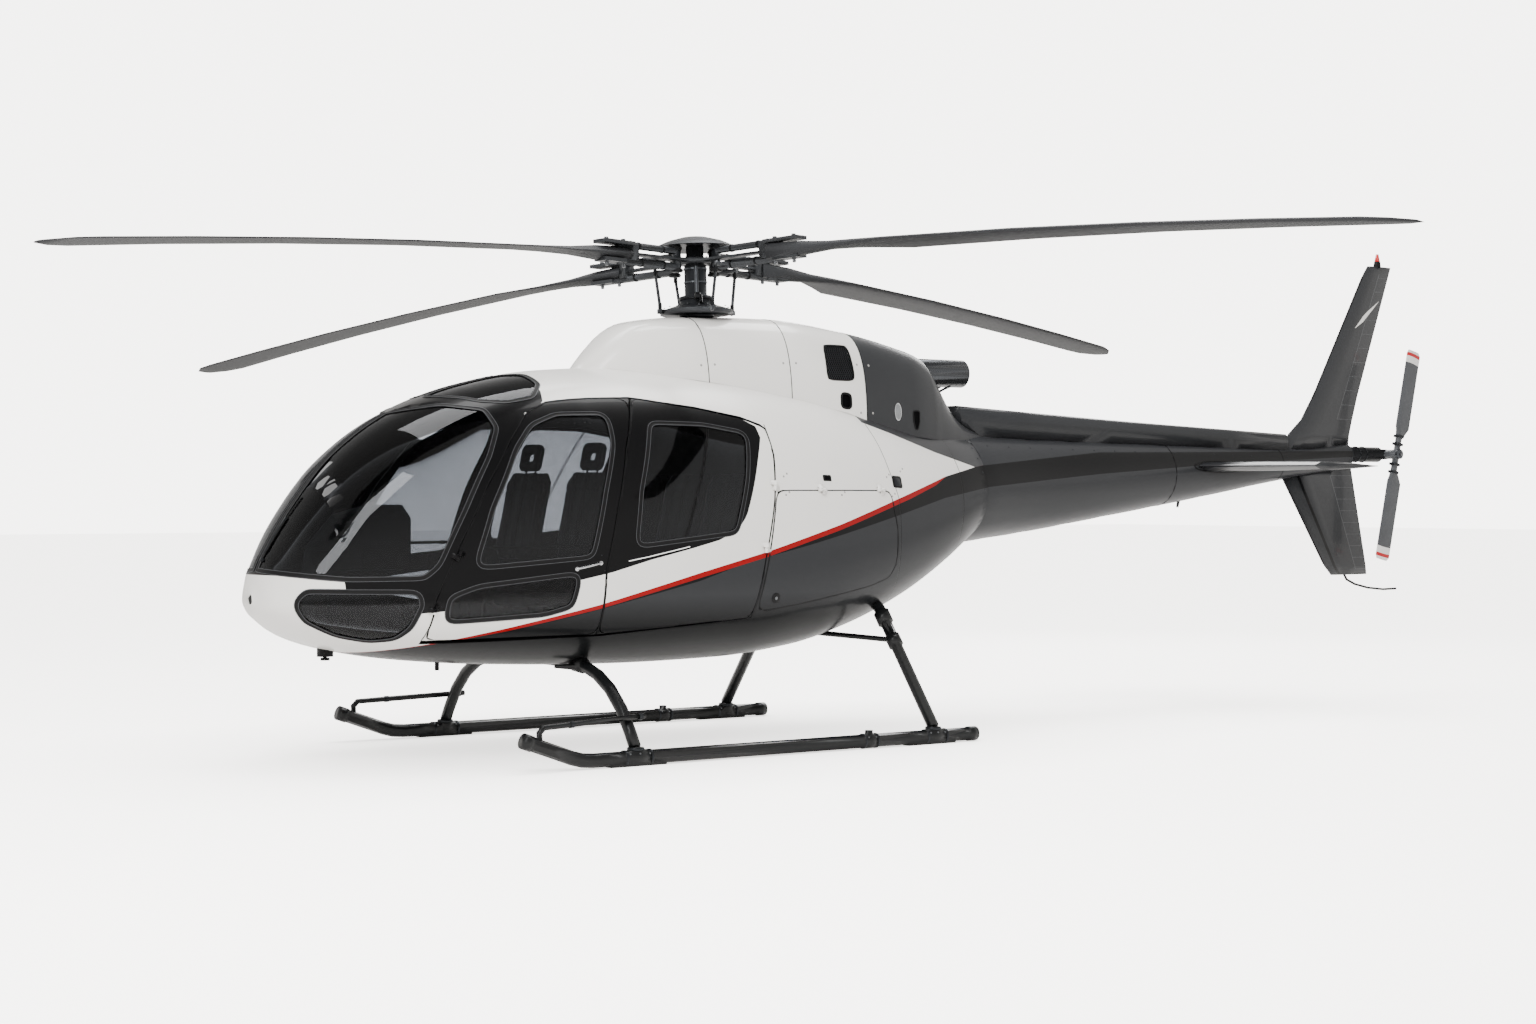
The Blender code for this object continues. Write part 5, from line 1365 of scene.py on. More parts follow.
class Copyist:
    """Makes the pieces that stand for CAD nodes."""

    weld: float = 0.00004
    passes: int = 4
    edge_angle: float = 35.0
    slack: tuple[float, float] = (0.011, 0.018)
    facing: float = 0.86
    proud: float = 0.002
    proud_above: float = 0.80

    def __init__(self, frame: dict) -> None:
        """Read which body and slot each node has.
        """
        self.nodes = frame["nodes"]
        bodies = frame["record"]["behaviour"]["bodies"]
        self.body_of = {node: body for body, names in bodies.items() for node in names}
        rows = frame["record"].get("subparts") or []
        self.slot_of = {row.get("node"): row.get("material_slot") for row in rows if isinstance(row, dict)}
        self.faces = 0

    def welded(self, node: str) -> bmesh.types.BMesh:
        """The node's mesh with its loose triangles welded.

        Args:
            node: the CAD node.

        Returns:
            The mesh.
        """
        bm = bmesh.new()
        bm.from_mesh(self.nodes[node].data)
        bmesh.ops.remove_doubles(bm, verts=bm.verts, dist=self.weld)
        return bm

    def settle(self, mesh: Mesh, node: str) -> Object:
        """Hang a finished mesh on its body in place of its node.

        Args:
            mesh: the mesh.
            node: the CAD node.

        Returns:
            The piece.
        """
        item = add_object(f"{node}_look", mesh)
        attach(item, self.body_of[node])
        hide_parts(node)
        mesh.calc_loop_triangles()
        self.faces += len(mesh.loop_triangles)
        LOG.info("%s: %d triangles", item.name, len(mesh.loop_triangles))
        return item

    def plain(self, node: str, look: str, angle: float = edge_angle) -> Object:
        """A copy with smooth shading across its shallow edges.

        Args:
            node: the CAD node.
            look: its finish.
            angle: the edge angle in degrees that stays sharp.

        Returns:
            The piece.
        """
        bm = self.welded(node)
        mesh = bpy.data.meshes.new(f"{node}_look")
        bm.to_mesh(mesh)
        bm.free()
        mesh.shade_smooth()
        mesh.set_sharp_from_angle(angle=math.radians(angle))
        mesh.materials.append(finish(look))
        return self.settle(mesh, node)

    def skin(self, node: str, surface: Surface, looks: Sequence[str], insets: Numbers = (0.0, WALL),
             longest: float = 0.10) -> Object:
        """A copy whose inner and outer skins follow the true curved surface.

        Args:
            node: the CAD node.
            surface: the skin it was cut from.
            looks: finishes of the outer skin, the inner skin and the cut edges.
            insets: how far in the outer and the inner skin lie.
            longest: the longest edge left on a skin, in metres.

        Returns:
            The piece.
        """
        bm = self.welded(node)
        bmesh.ops.triangulate(bm, faces=bm.faces)
        for _ in range(self.passes):
            marks = self.layers(bm, surface, insets)
            long_edges = [e for e in bm.edges if e.calc_length() > longest
                          and any(marks[f.index] > 0 for f in e.link_faces)]
            if not long_edges:
                break
            bmesh.ops.subdivide_edges(bm, edges=long_edges, cuts=1)
            bmesh.ops.triangulate(bm, faces=bm.faces)
        marks = self.layers(bm, surface, insets)
        bm.verts.ensure_lookup_table()
        co = np.array([v.co[:] for v in bm.verts])
        for layer, inset in enumerate(insets, 1):
            ids = sorted({v.index for f in bm.faces if marks[f.index] == layer for v in f.verts})
            if ids:
                co[ids] = surface.pull(co[ids], inset)
        for vert, place in zip(bm.verts, co):
            vert.co = place
        middle = np.array([f.calc_center_median()[:] for f in bm.faces])
        steep = np.linalg.norm(surface.slope(middle, insets[0]), axis=1)
        proud = (surface.level(middle, insets[0]) > 1.0 + self.proud * steep) & (middle[:, 2] > self.proud_above)
        for face in bm.faces:
            face.smooth = True
            face.material_index = (3 if proud[face.index] else 2, 0, 1)[marks[face.index]]
        mesh = bpy.data.meshes.new(f"{node}_look")
        bm.to_mesh(mesh)
        bm.free()
        for look in (*looks, looks[0]):
            mesh.materials.append(finish(look))
        self.round_normals(mesh, surface, insets)
        return self.settle(mesh, node)

    def layers(self, bm: bmesh.types.BMesh, surface: Surface, insets: Numbers) -> np.ndarray:
        """For each face 1 on the outer skin, 2 on the inner skin, 0 elsewhere.

        Args:
            bm: the mesh.
            surface: the skin it was cut from.
            insets: how far in the outer and the inner skin lie.

        Returns:
            The marks.
        """
        bm.faces.ensure_lookup_table()
        bm.faces.index_update()
        bm.verts.index_update()
        middle = np.array([f.calc_center_median()[:] for f in bm.faces])
        normal = np.array([f.normal[:] for f in bm.faces])
        marks = np.zeros(len(middle), int)
        for layer, inset, sense, slack in zip((1, 2), insets, (1.0, -1.0), self.slack):
            slope = surface.slope(middle, inset)
            steep = np.maximum(np.linalg.norm(slope, axis=1), 1e-6)
            apart = (surface.level(middle, inset) - 1.0) / steep
            facing = sense * np.einsum("ij,ij->i", normal, slope) / steep
            marks[(np.abs(apart) < slack) & (facing > self.facing)] = layer
        return marks

    def round_normals(self, mesh: Mesh, surface: Surface, insets: Numbers) -> None:
        """Give the skins the true surface's normals and leave the cut edges sharp.

        Args:
            mesh: the mesh, with look 0 on its outer skin and look 1 on its inner skin.
            surface: the skin it was cut from.
            insets: how far in the outer and the inner skin lie.
        """
        mesh.set_sharp_from_angle(angle=math.radians(self.edge_angle))
        normals = read(mesh.corner_normals, "vector", width=3)
        co = read(mesh.vertices, "co", width=3)
        corner = read(mesh.loops, "vertex_index", np.int32)
        looks = read(mesh.polygons, "material_index", np.int32)
        of_face = np.repeat(looks, read(mesh.polygons, "loop_total", np.int32))
        for index, sense in enumerate((1.0, -1.0)):
            slope = unit(surface.slope(co, insets[index]))
            pick = of_face == index
            normals[pick] = sense * slope[corner[pick]]
        mesh.normals_split_custom_set(normals.tolist())


@dataclass
class SubAssembly:
    """A group of pieces, with the makers that it uses."""

    copies: Copyist
    studs: StudRows

    def fit(self, shapes: Sculptor, name: str, node: str) -> Object:
        """Make a drawn piece that rides on the body of a CAD node."""
        return shapes.finish(name, self.copies.body_of[node])

    def trim(self, name: str, node: str, look: str, profile: Sequence[Point], *paths: Path,
             closed: bool = False) -> Object:
        """Make a piece that carries one profile along paths.

        Args:
            name: the piece's name.
            node: a CAD node on the body that it rides on.
            look: its finish.
            profile: the profile, as (across, out).
            paths: where it goes.
            closed: whether the paths join up.

        Returns:
            The piece.
        """
        shapes = Sculptor(look)
        for path in paths:
            shapes.sweep(path, profile, 0, closed)
        return self.fit(shapes, name, node)

    def rivet(self, name: str, node: str, path: Path, look: str, size: Point) -> Object:
        """Set heads of one (radius, height) on a path that rides on the body of a CAD node."""
        return self.studs.set(name, self.copies.body_of[node], path, look, *size)


@dataclass
class Fuselage(SubAssembly):
    """Hull skins, cabin doors, baggage doors and panes."""

    longest: float = 0.10
    pane_longest: float = 0.08

    def build(self) -> None:
        """Make every skin piece."""
        for node in ("canopy_frame", "rear_fuselage", "belly_structure"):
            self.shell(node)
        for side in Side:
            word = side.word
            for door in ("door_front", "door_rear", "baggage_door"):
                self.shell(f"{door}_{word}")
            for pane in (f"windscreen_{word}", f"chin_window_{word}", f"roof_window_{word}",
                         f"door_front_{word}_upper_pane", f"door_front_{word}_lower_pane", f"door_rear_{word}_pane"):
                self.copies.skin(pane, HULL_SKIN, ("glass",) * 3, (GLASS_OUTER, GLASS_INNER), self.pane_longest)

    def shell(self, node: str) -> None:
        """One painted skin with its lining and rubber edges."""
        self.copies.skin(node, HULL_SKIN, ("livery", "lining", "seal"), longest=self.longest)


@dataclass
class Glazing(SubAssembly):
    """Rubber beads round every window, with fine pale lines along each crown as painted highlights."""

    half: float = 0.017
    crown: float = 0.004
    hair: float = 0.0013
    divider_half: float = 0.006
    rail_height: float = 1.330
    rail_radius: float = 0.010

    def build(self) -> None:
        """Lay the beads."""
        for side in Side:
            word = side.word
            for name, path, node in (
                    ("windscreen", diagonal_path(rounded(WINDSCREEN), side), "canopy_frame"),
                    ("chin_window", diagonal_path(rounded(CHIN_WINDOW), side), "canopy_frame"),
                    ("roof_window", roof_path(rounded(ROOF_WINDOW), side), "canopy_frame"),
                    ("front_upper", side_path(rounded(FRONT_UPPER_WINDOW), side, True, 0.022), f"door_front_{word}"),
                    ("front_lower", side_path(rounded(FRONT_LOWER_WINDOW), side, True, 0.022), f"door_front_{word}"),
                    ("rear", side_path(rounded(REAR_WINDOW), side, True, 0.022), f"door_rear_{word}")):
                self.bead(f"{name}_bead_{word}", path, node)
            bars = (side_path([(x + shift, z) for x, z in DIVIDER], side).lifted(-0.004)
                    for shift in (-self.divider_half, self.divider_half))
            self.trim(f"rear_window_divider_{word}", f"door_rear_{word}", "seal", strip(0.002, 0.0022, 0.001), *bars)
            self.grab_bar(side)

    def bead(self, name: str, path: Path, node: str) -> None:
        """One window's bead.

        Args:
            name: the piece's name.
            path: the window's outline on the skin.
            node: a CAD node on the body that it rides on.
        """
        w = self.half
        edge = [(-w, -0.003), (-w, 0.0010), (-w + self.crown, 0.0028), (-w + 2 * self.crown, 0.0014)]
        bead = Sculptor("seal", "bead_line")
        bead.sweep(path, [*edge, *((-a, b) for a, b in reversed(edge))], closed=True)
        # Pale hairlines on both crowns: painted highlights
        for off in (-w + self.crown, w - self.crown):
            bead.sweep(path, [(off + a, b) for a, b in strip(self.hair, 0.0033, -0.0020)], 1, True)
        self.fit(bead, name, node)

    def grab_bar(self, side: Side) -> None:
        """The bar across the upper window of a front door, inside.

        Args:
            side: the door's side.
        """
        rail = side_path([(-2.075, self.rail_height), (-1.392, self.rail_height)], side).lifted(-0.058)
        ends = [side_path([(x, self.rail_height)], side).lifted(-0.030).points[0] for x in (-2.085, -1.370)]
        grab = Sculptor("trim", "stud_dark")
        grab.tube([ends[0], *rail.points, ends[1]], self.rail_radius, 0, 12)
        for k in (2, -3):
            grab.lathe(((-0.018, 0.0125), (0.018, 0.0125)), rail.points[k], rail.points[k + 1] - rail.points[k], 1, 16)
        self.fit(grab, f"grab_bar_{side.word}", f"door_front_{side.word}")


@dataclass
class HullFittings(SubAssembly):
    """Handles, latch plates, caps, the wiper and the lines of screws on the hull."""

    plates: tuple[tuple[float, ...], ...] = ((0.486, 1.751, 0.072, 0.042), (1.171, 1.728, 0.098, 0.084))
    latches: tuple[Point, ...] = ((0.11, 1.76), (0.11, 1.64), (1.07, 1.76), (1.10, 1.63), (0.60, 1.64), (1.23, 1.80))
    gap: float = 0.0075
    corner_radius: float = 0.055
    corner_turn: float = math.radians(50.0)

    def build(self) -> None:
        """Make the fittings."""
        for side in Side:
            word = side.word
            self.door(side)
            self.latch_plates(side)
            rows = [q for x, z in self.latches for q in ((x, z), (x + 0.030, z + 0.018))]
            self.rivet(f"latch_studs_{word}", "rear_fuselage",
                       together(*(side_path([q], side).lifted(0.0002) for q in rows)), "painted_stud", (0.0075, 0.0016))
            edge = Sculptor("seal")
            edge.sweep(side_path(CABIN_OPENING, side, spacing=0.03), strip(0.00225, 0.0012))
            edge.sweep(side_path(CABIN_SEAM, side, spacing=0.03), strip(0.00225, 0.0009))
            self.fit(edge, f"cabin_edge_{word}", "rear_fuselage")
            self.trim(f"door_split_{word}", f"door_rear_{word}", "seal", strip(0.00225, 0.0014),
                      side_path(DOOR_SPLIT, side, spacing=0.03).lifted(-0.0005))
            self.corners(side)
            middle = np.array(BAGGAGE_DOOR).mean(axis=0)
            lid = [q + (q - middle) / np.linalg.norm(q - middle) * self.gap for q in np.array(rounded(BAGGAGE_DOOR))]
            self.trim(f"baggage_edge_{word}", "rear_fuselage", "seal", strip(0.0035, 0.0011),
                      side_path(lid, side, True, 0.03), closed=True)
        ring = ring_path(HULL_SKIN, 2.185, np.linspace(0, 345, 24), 1.80)
        self.rivet("boom_ring_studs", "rear_fuselage", ring.lifted(0.0002), "stud_dark", (0.007, 0.0018))
        cap = side_path([(0.015, 0.976)], Side.PORT)
        filler = Sculptor("seal", "stud")
        filler.lathe(((-0.004, 0.034), (0.002, 0.034), (0.0035, 0.030), (0.0035, 0.010)), cap.points[0], cap.normals[0])
        filler.lathe(((0.002, 0.012), (0.0060, 0.011), (0.0065, 0.004)), cap.points[0], cap.normals[0], 1, 16)
        self.fit(filler, "filler_cap", "belly_structure")
        self.wiper()
        self.compass()

    def latch_plates(self, side: Side) -> None:
        """The small and the large plate on the rear fuselage, each with its recess.

        Args:
            side: which side.
        """
        plates = Sculptor("seal", "void", "stud_dark")
        for (station, z, wide, tall), recess in zip(self.plates, (1, 2)):
            point = side_path([(station, z)], side)
            out, here = point.normals[0], point.points[0]
            along = np.array([1.0, 0.0, 0.0]) - out * out[0]
            across = np.cross(out, along)
            plates.block(here + out * 0.0010, along, across, (wide, tall, 0.0064), 0, 0.3)
            # The first plate's recess takes the dark opening finish as painted shade; the second's is blackened steel
            plates.block(here + out * 0.0044, along, across, (wide * 0.62, tall * 0.62, 0.0030), recess, 0.3)
        self.fit(plates, f"hull_plates_{side.word}", "rear_fuselage")

    def corners(self, side: Side) -> None:
        """Painted fillets of the fixed skin that follow the doors' rounded corners.

        Args:
            side: which side.
        """
        item = Sculptor("livery")
        for door in (FRONT_DOOR, REAR_DOOR):
            middle = np.array(door).mean(axis=0)
            for k, corner in enumerate(door):
                before, here, after = (Vector(door[(k + n) % len(door)]) for n in (-1, 0, 1))
                if math.pi - (before - here).angle(after - here) < self.corner_turn:
                    continue
                arc = rounded([before, here, after], self.corner_radius, 6)[1:-1]
                away = (np.array(corner) - middle) / np.linalg.norm(np.array(corner) - middle)
                flat = [np.array(corner) + away * 0.0065, *(np.array(q) + away * 0.0070 for q in arc)]
                top = side_path(flat, side, spacing=9.0).lifted(-0.0004)
                n = len(flat)
                faces = [(0, j, j + 1) for j in range(1, n - 1)] + [(n, n + j + 1, n + j) for j in range(1, n - 1)]
                item.shape([*top.points, *top.lifted(-0.006).points], faces + walls(2, n))
        self.fit(item, f"door_corner_fillets_{side.word}", "canopy_frame")

    def door(self, side: Side) -> None:
        """A front door's handle and the painted highlight along the rear door's crease.

        Args:
            side: which side.
        """
        path = side_path([(-1.491, 1.189), (-1.327, 1.223)], side, spacing=0.012)
        grip = Sculptor("chrome", "seal")
        grip.sweep(path, strip(0.017, 0.0016), 1)
        grip.tube([p + n * (0.004 + 0.018 * math.sin(math.pi * k / (len(path.points) - 1)) ** 0.6)
                   for k, (p, n) in enumerate(zip(path.points, path.normals))], 0.0065)
        for k in (0, -1):
            grip.lathe(((-0.002, 0.013), (0.004, 0.013), (0.006, 0.009)), path.points[k], path.normals[k], 0, 16)
        self.fit(grip, f"door_handle_{side.word}", f"door_front_{side.word}")
        # Gloss white hairline on the rear door: a painted highlight along its crease
        self.trim(f"door_line_{side.word}", f"door_rear_{side.word}", "white_line", strip(0.003, 0.0008),
                  side_path([(-1.130, 1.232), (-0.978, 1.258), (-0.680, 1.316)], side, spacing=0.02))
        rows = [(-1.50, 1.235), (-1.505, 1.145), (-1.320, 1.270), (-1.300, 1.175)]
        self.rivet(f"handle_studs_{side.word}", f"door_front_{side.word}",
                   together(*(side_path([q], side) for q in rows)), "stud_dark", (0.004, 0.0012))

    def wiper(self) -> None:
        """The windscreen wiper on the port half: an arm on a spindle with its blade along the glass."""
        heights = np.linspace(1.251, 1.627, 12)
        start = columns(-1.0, -0.039 - 0.040 * (heights - 1.251) / 0.376, heights)
        path = met(HULL_SKIN, start, (-1.0, 0.0, 0.0), 3.6)
        arm = Sculptor("seal", "stud_dark")
        arm.sweep(path.lifted(0.001), strip(0.004, 0.004, 0.001))
        arm.tube(path.lifted(0.010).points[1:8], 0.0035, 1, 8)
        arm.lathe(((-0.003, 0.013), (0.012, 0.011), (0.014, 0.006)), path.points[0], path.normals[0], 1, 16)
        along = path.points[8] - path.points[6]
        arm.block(path.points[7] + path.normals[7] * 0.007, along, np.cross(path.normals[7], along),
                  (0.030, 0.012, 0.010), 1)
        self.fit(arm, "windscreen_wiper", "canopy_frame")

    def compass(self) -> None:
        """The standby compass that hangs from the top of the centre post."""
        top = met(HULL_SKIN, np.array([at(-1.9, 0.0, 1.30)]), (-0.30, 0.0, 0.74), 2.0)
        hang = Vector(top.points[0]) - Vector(top.normals[0]) * 0.034
        box = hang + Vector((0.012, 0.0, -0.078))
        compass = Sculptor("trim", "dial", "mark")
        compass.tube([hang, hang + Vector((0.01, 0.0, -0.050))], 0.010)
        compass.block(box, (0, 1, 0), (0, 0, 1), (0.062, 0.060, 0.058), 0, 0.2)
        compass.lathe(((0.0, 0.024), (0.003, 0.024), (0.004, 0.021)), box + Vector((0.028, 0, 0)), (1, 0, 0), 1)
        compass.block(box + Vector((0.0325, 0, 0)), (0, 1, 0), (0, 0, 1), (0.030, 0.006, 0.001), 2, 0.2)
        self.fit(compass, "standby_compass", "canopy_frame")


@dataclass
class Upperworks(SubAssembly):
    """Cowl panels, exhaust and what shows of the machinery."""

    longest: float = 0.08

    def build(self) -> None:
        """Make the cowl panels and the pieces under them."""
        for node, look in (("cowl_front", "white"), ("cowl_middle", "white"), ("cowl_rear", "white"),
                           ("cowl_exhaust", "grey")):
            self.copies.skin(node, COWL_SKIN, (look, "seal", look), (0.0, COWL_WALL), self.longest)
        self.copies.plain("exhaust_pipe", "steel")
        self.copies.plain("mast_housing", "dark")


@dataclass
class CowlFittings(SubAssembly):
    """Seams, latches, the intake's mesh, ports, lamp and exhaust fittings of the cowls."""

    seams: tuple[float, ...] = (-0.150, 0.500, 1.120)
    latch_angles: tuple[float, ...] = (158.0, 128.0, 52.0, 22.0)
    latch_half: float = 0.052
    middle: float = 2.02
    mesh_pitch: float = 0.017
    mesh_lean: float = 0.62
    wire_half: float = 0.0014
    pipe_radius: float = 0.100

    def build(self) -> None:
        """Make the fittings."""
        self.trim("cowl_seam_lines", "cowl_middle", "groove", strip(0.003, 0.0009),
                  *(ring_path(COWL_SKIN, station, np.linspace(5, 175, 70), self.middle) for station in self.seams))
        latches = [ring_path(COWL_SKIN, station + shift, (angle,), self.middle) for station in self.seams
                   for angle in self.latch_angles for shift in (-self.latch_half, self.latch_half)]
        feet = [ring_path(COWL_SKIN, station, (angle,), 2.10 - 0.06 * max(station, 0.0))
                for station in np.arange(-0.95, 2.25, 0.16) for angle in (176.5, 3.5)]
        for name, rows, size in (("latch", latches, (0.0085, 0.0020)), ("foot", feet, (0.0050, 0.0014))):
            self.rivet(f"cowl_{name}_studs", "cowl_middle", together(*rows).lifted(0.0002), "painted_stud", size)
        for side in Side:
            self.intake(side)
            self.ports(side)
        self.exhaust()

    def intake(self, side: Side) -> None:
        """The intake: a rubber edge round an expanded-metal mesh over a dark sheet of painted shade.

        Args:
            side: which side.
        """
        outline = rounded(GRILLE, 0.03)
        flat = np.array(outline)
        centre = flat.mean(axis=0)
        frame = Sculptor("seal", "void")
        frame.sweep(side_path(outline, side, True, 0.02, COWL_SKIN), strip(0.005, 0.0022, 0.006), 0, True)
        # Dark sheet behind the mesh: painted shade of the cowl's inside
        frame.fan(side_path(centre + (flat - centre) * 0.99, side, True, 0.02, COWL_SKIN).lifted(-0.011), 1)
        self.fit(frame, f"intake_frame_{side.word}", "cowl_middle")
        mesh = Sculptor("mesh_wire")
        low, high = flat.min(axis=0), flat.max(axis=0)
        for lean in (-1.0, 1.0):
            for k in range(-30, 60):
                run = [(low[0] + k * self.mesh_pitch + lean * (z - low[1]) * self.mesh_lean, z)
                       for z in np.linspace(low[1] - 0.005, high[1] + 0.005, 60)]
                run = [q for q in run if self.inside(outline, *q)]
                if len(run) > 2:
                    strand = side_path([run[0], run[-1]], side, spacing=0.03, skin=COWL_SKIN)
                    mesh.sweep(strand.lifted(-0.004 + lean * 0.0008), strip(self.wire_half, 0.001, 0.001))
        self.fit(mesh, f"intake_mesh_{side.word}", "cowl_middle")

    @staticmethod
    def inside(outline: Sequence[Point], x: float, z: float) -> bool:
        """Whether a point lies in a closed outline.

        Args:
            outline: its corners.
            x: the point's station.
            z: its height.

        Returns:
            True if it does.
        """
        hit = False
        for (x1, z1), (x2, z2) in zip(outline, [*outline[1:], outline[0]]):
            if (z1 > z) != (z2 > z) and x < (x2 - x1) * (z - z1) / (z2 - z1) + x1:
                hit = not hit
        return hit

    def ports(self, side: Side) -> None:
        """The drain port with its rubber ring, the side lamp and the keyhole port of the dark cowl.

        Args:
            side: which side.
        """
        item = Sculptor("seal", "void", "frosted", "chrome")
        rim = side_path(rounded(COWL_PORT, 0.03), side, True, 0.012, COWL_SKIN)
        item.sweep(rim, ((-0.006, -0.008), (-0.006, 0.003), (0.0, 0.0055), (0.008, 0.003), (0.008, -0.008)), 0, True)
        # Dark disc inside the port: painted shade of its hole
        item.fan(rim.lifted(-0.010), 1)
        oval = [(1.402 + 0.028 * math.cos(a), 2.215 + 0.058 * math.sin(a)) for a in np.linspace(0, math.tau, 25)[:-1]]
        lamp = side_path(oval, side, True, 0.05, COWL_SKIN)
        item.sweep(lamp, ((-0.004, -0.002), (-0.004, 0.003), (0.0, 0.0045), (0.004, 0.003), (0.004, -0.002)), 3, True)
        centre, n = lamp.points.mean(axis=0), len(lamp.points)
        rings = [lamp.lifted(0.001).points]
        for share, out in ((0.75, 0.008), (0.40, 0.012)):
            rings.append(centre + (lamp.points - centre) * share + lamp.normals * out)
        item.shape(np.vstack([*rings, [centre + lamp.normals.mean(axis=0) * 0.013]]),
                   walls(3, n) + [(2 * n + k, 2 * n + (k + 1) % n, 3 * n) for k in range(n)], 2)
        hole = [(1.546, 2.225), (1.611, 2.225), (1.608, 2.150), (1.590, 2.095), (1.568, 2.095), (1.550, 2.150)]
        keyhole = side_path(rounded(hole, 0.018, 3), side, True, 0.015, COWL_SKIN)
        item.sweep(keyhole, strip(0.004, 0.003), 0, True)
        # Dark patch over the keyhole: painted shade of its hole
        item.fan(keyhole.lifted(0.0012), 1)
        self.fit(item, f"cowl_ports_{side.word}", "cowl_middle")

    def exhaust(self) -> None:
        """The exhaust's flange, weld rings and bracket."""
        item, low = Sculptor("steel", "stud_dark"), self.pipe_radius - 0.001
        for station, radius, wide in ((2.075, 0.108, 0.016), (2.205, 0.1035, 0.008), (2.330, 0.1045, 0.010)):
            item.lathe(((-wide / 2, low), *collar(wide / 2, 0.002, radius, 0.002), (wide / 2, low)),
                       at(station, 0.0, EXHAUST_HEIGHT), (1, 0, 0), 0, 40)
        for side in Side:
            item.tube([at(x, side.value * y, EXHAUST_HEIGHT - drop) for x, y, drop in
                       ((2.03, 0.065, 0.16), (2.13, 0.062, 0.115), (2.19, 0.055, 0.095))], 0.009, 1, 8)
        self.fit(item, "exhaust_collars", "exhaust_pipe")


@dataclass
class Tail(SubAssembly):
    """Boom, fins, stabilisers and what they carry."""

    wall: float = 0.020
    longest: float = 0.20

    def build(self) -> None:
        """Make the tail's pieces."""
        self.copies.skin("tail_boom", BOOM_SKIN, ("boom", "seal", "grey"), (0.0, self.wall), self.longest)
        for node, look, angle in (("spine_fairing", "grey", 28.0), ("upper_fin", "upper_fin", 28.0),
                                  ("lower_fin", "lower_fin", 28.0), ("stabiliser_port", "grey", 28.0),
                                  ("stabiliser_starboard", "grey", 28.0), ("tail_gearbox", "dark", 35.0),
                                  ("tail_bumper", "gear", 35.0), ("tail_beacon", "lens", 45.0),
                                  ("tail_rotor", "tail_blades", 28.0)):
            self.copies.plain(node, look, angle)


@dataclass
class TailFittings(SubAssembly):
    """Spine screws, root fairings, fin trims, beacon base, gearbox collars and the tail rotor's hub."""

    root_start: float = 4.500
    root_length: float = 0.72
    root_half: float = 0.052
    bands: tuple[tuple[str, float], ...] = (("boom_band_aft", 5.600), ("boom_band_mid", 4.300))
    trim_radius: float = 0.0075

    def build(self) -> None:
        """Make the fittings."""
        rows = []
        for side in Side:
            rows += [met(BOOM_SKIN, np.array([at(station, 0.0, 1.90)]), (0.0, side.value * 0.72, 0.25), 1.0)
                     for station in np.arange(2.36, 5.66, 0.22)]
            section = []
            for a in np.linspace(0, math.tau, 33)[:-1]:
                share = 0.5 - 0.5 * math.cos(a)
                section.append((self.root_start + self.root_length * share,
                                STABILISER_HEIGHT + self.root_half * math.sin(a) * (1.0 - 0.35 * share)))
            self.trim(f"stabiliser_root_seal_{side.word}", "tail_boom", "seal", strip(0.004, 0.004, 0.002),
                      side_path(section, side, True, 0.05, BOOM_SKIN), closed=True)
        self.rivet("boom_studs", "tail_boom", together(*rows).lifted(0.0004), "stud_dark", (0.0060, 0.0018))
        for name, station in self.bands:
            self.trim(name, "tail_boom", "groove", strip(0.003, 0.0009),
                      ring_path(BOOM_SKIN, station, np.linspace(0, 360, 65), 1.93))
        trims = Sculptor("seal")
        for table, first, last in ((UPPER_FIN_EDGE, 2.32, 3.44), (LOWER_FIN_EDGE, 1.08, 1.78)):
            zs = np.linspace(first, last, 14)
            xs = np.interp(zs, *zip(*table)) + HUB_STATION
            trims.tube([(x + 0.004, 0.0, z) for x, z in zip(xs, zs)], self.trim_radius, 0, 8)
        self.fit(trims, "fin_edge_strips", "tail_boom")
        fixed = Sculptor("seal", "stud_dark")
        fixed.lathe(((0.0, 0.030), (0.004, 0.031), (0.040, 0.0265), (0.044, 0.023)), (5.820, 0.0, 3.535), (0, 0, 1))
        for station in (6.505, 6.600, 6.680):
            fixed.lathe(collar(0.006, 0.001, 0.0665, 0.0045), at(station, 0.0, TAIL_HUB[2]), (1, 0, 0), 1, 28)
        self.fit(fixed, "tail_fixed_fittings", "tail_gearbox")
        self.hub()

    def hub(self) -> None:
        """The tail rotor's cap, grips, links and joints."""
        hub, middle = Sculptor("stud_dark", "head_light", "stud"), Vector(at(*TAIL_HUB))
        x, y, z = at(*TAIL_HUB)
        hub.lathe(((-0.020, 0.036), (-0.010, 0.0395), (0.010, 0.0395), (0.016, 0.030)), (x, y - 0.045, z),
                  (0, -1, 0), 1)
        hub.lathe(((0.0, 0.018), (0.018, 0.018), (0.024, 0.010)), (x, y - 0.056, z), (0, -1, 0), 2, 6)
        lean = Matrix.Rotation(TAIL_LEAN, 3, "Y")
        for sign in (-1.0, 1.0):
            for out, half in ((0.085, 0.036), (0.150, 0.034)):
                hub.block(lean @ Vector((0.0, -0.012, sign * out)) + middle, lean @ Vector((0, 0, 1)), (0, 1, 0),
                          (0.020, 0.060, half * 2))
            link = [lean @ Vector(q) + middle for q in ((0.055, 0.030, sign * 0.110), (0.052, 0.060, sign * 0.020))]
            hub.tube(link, 0.0055, 1, 8)
            for end in link:
                hub.lathe(((-0.010, 0.006), (0.0, 0.012), (0.010, 0.006)), end, (0, 1, 0), 2, 12)
        self.fit(hub, "tail_rotor_fittings", "tail_rotor")


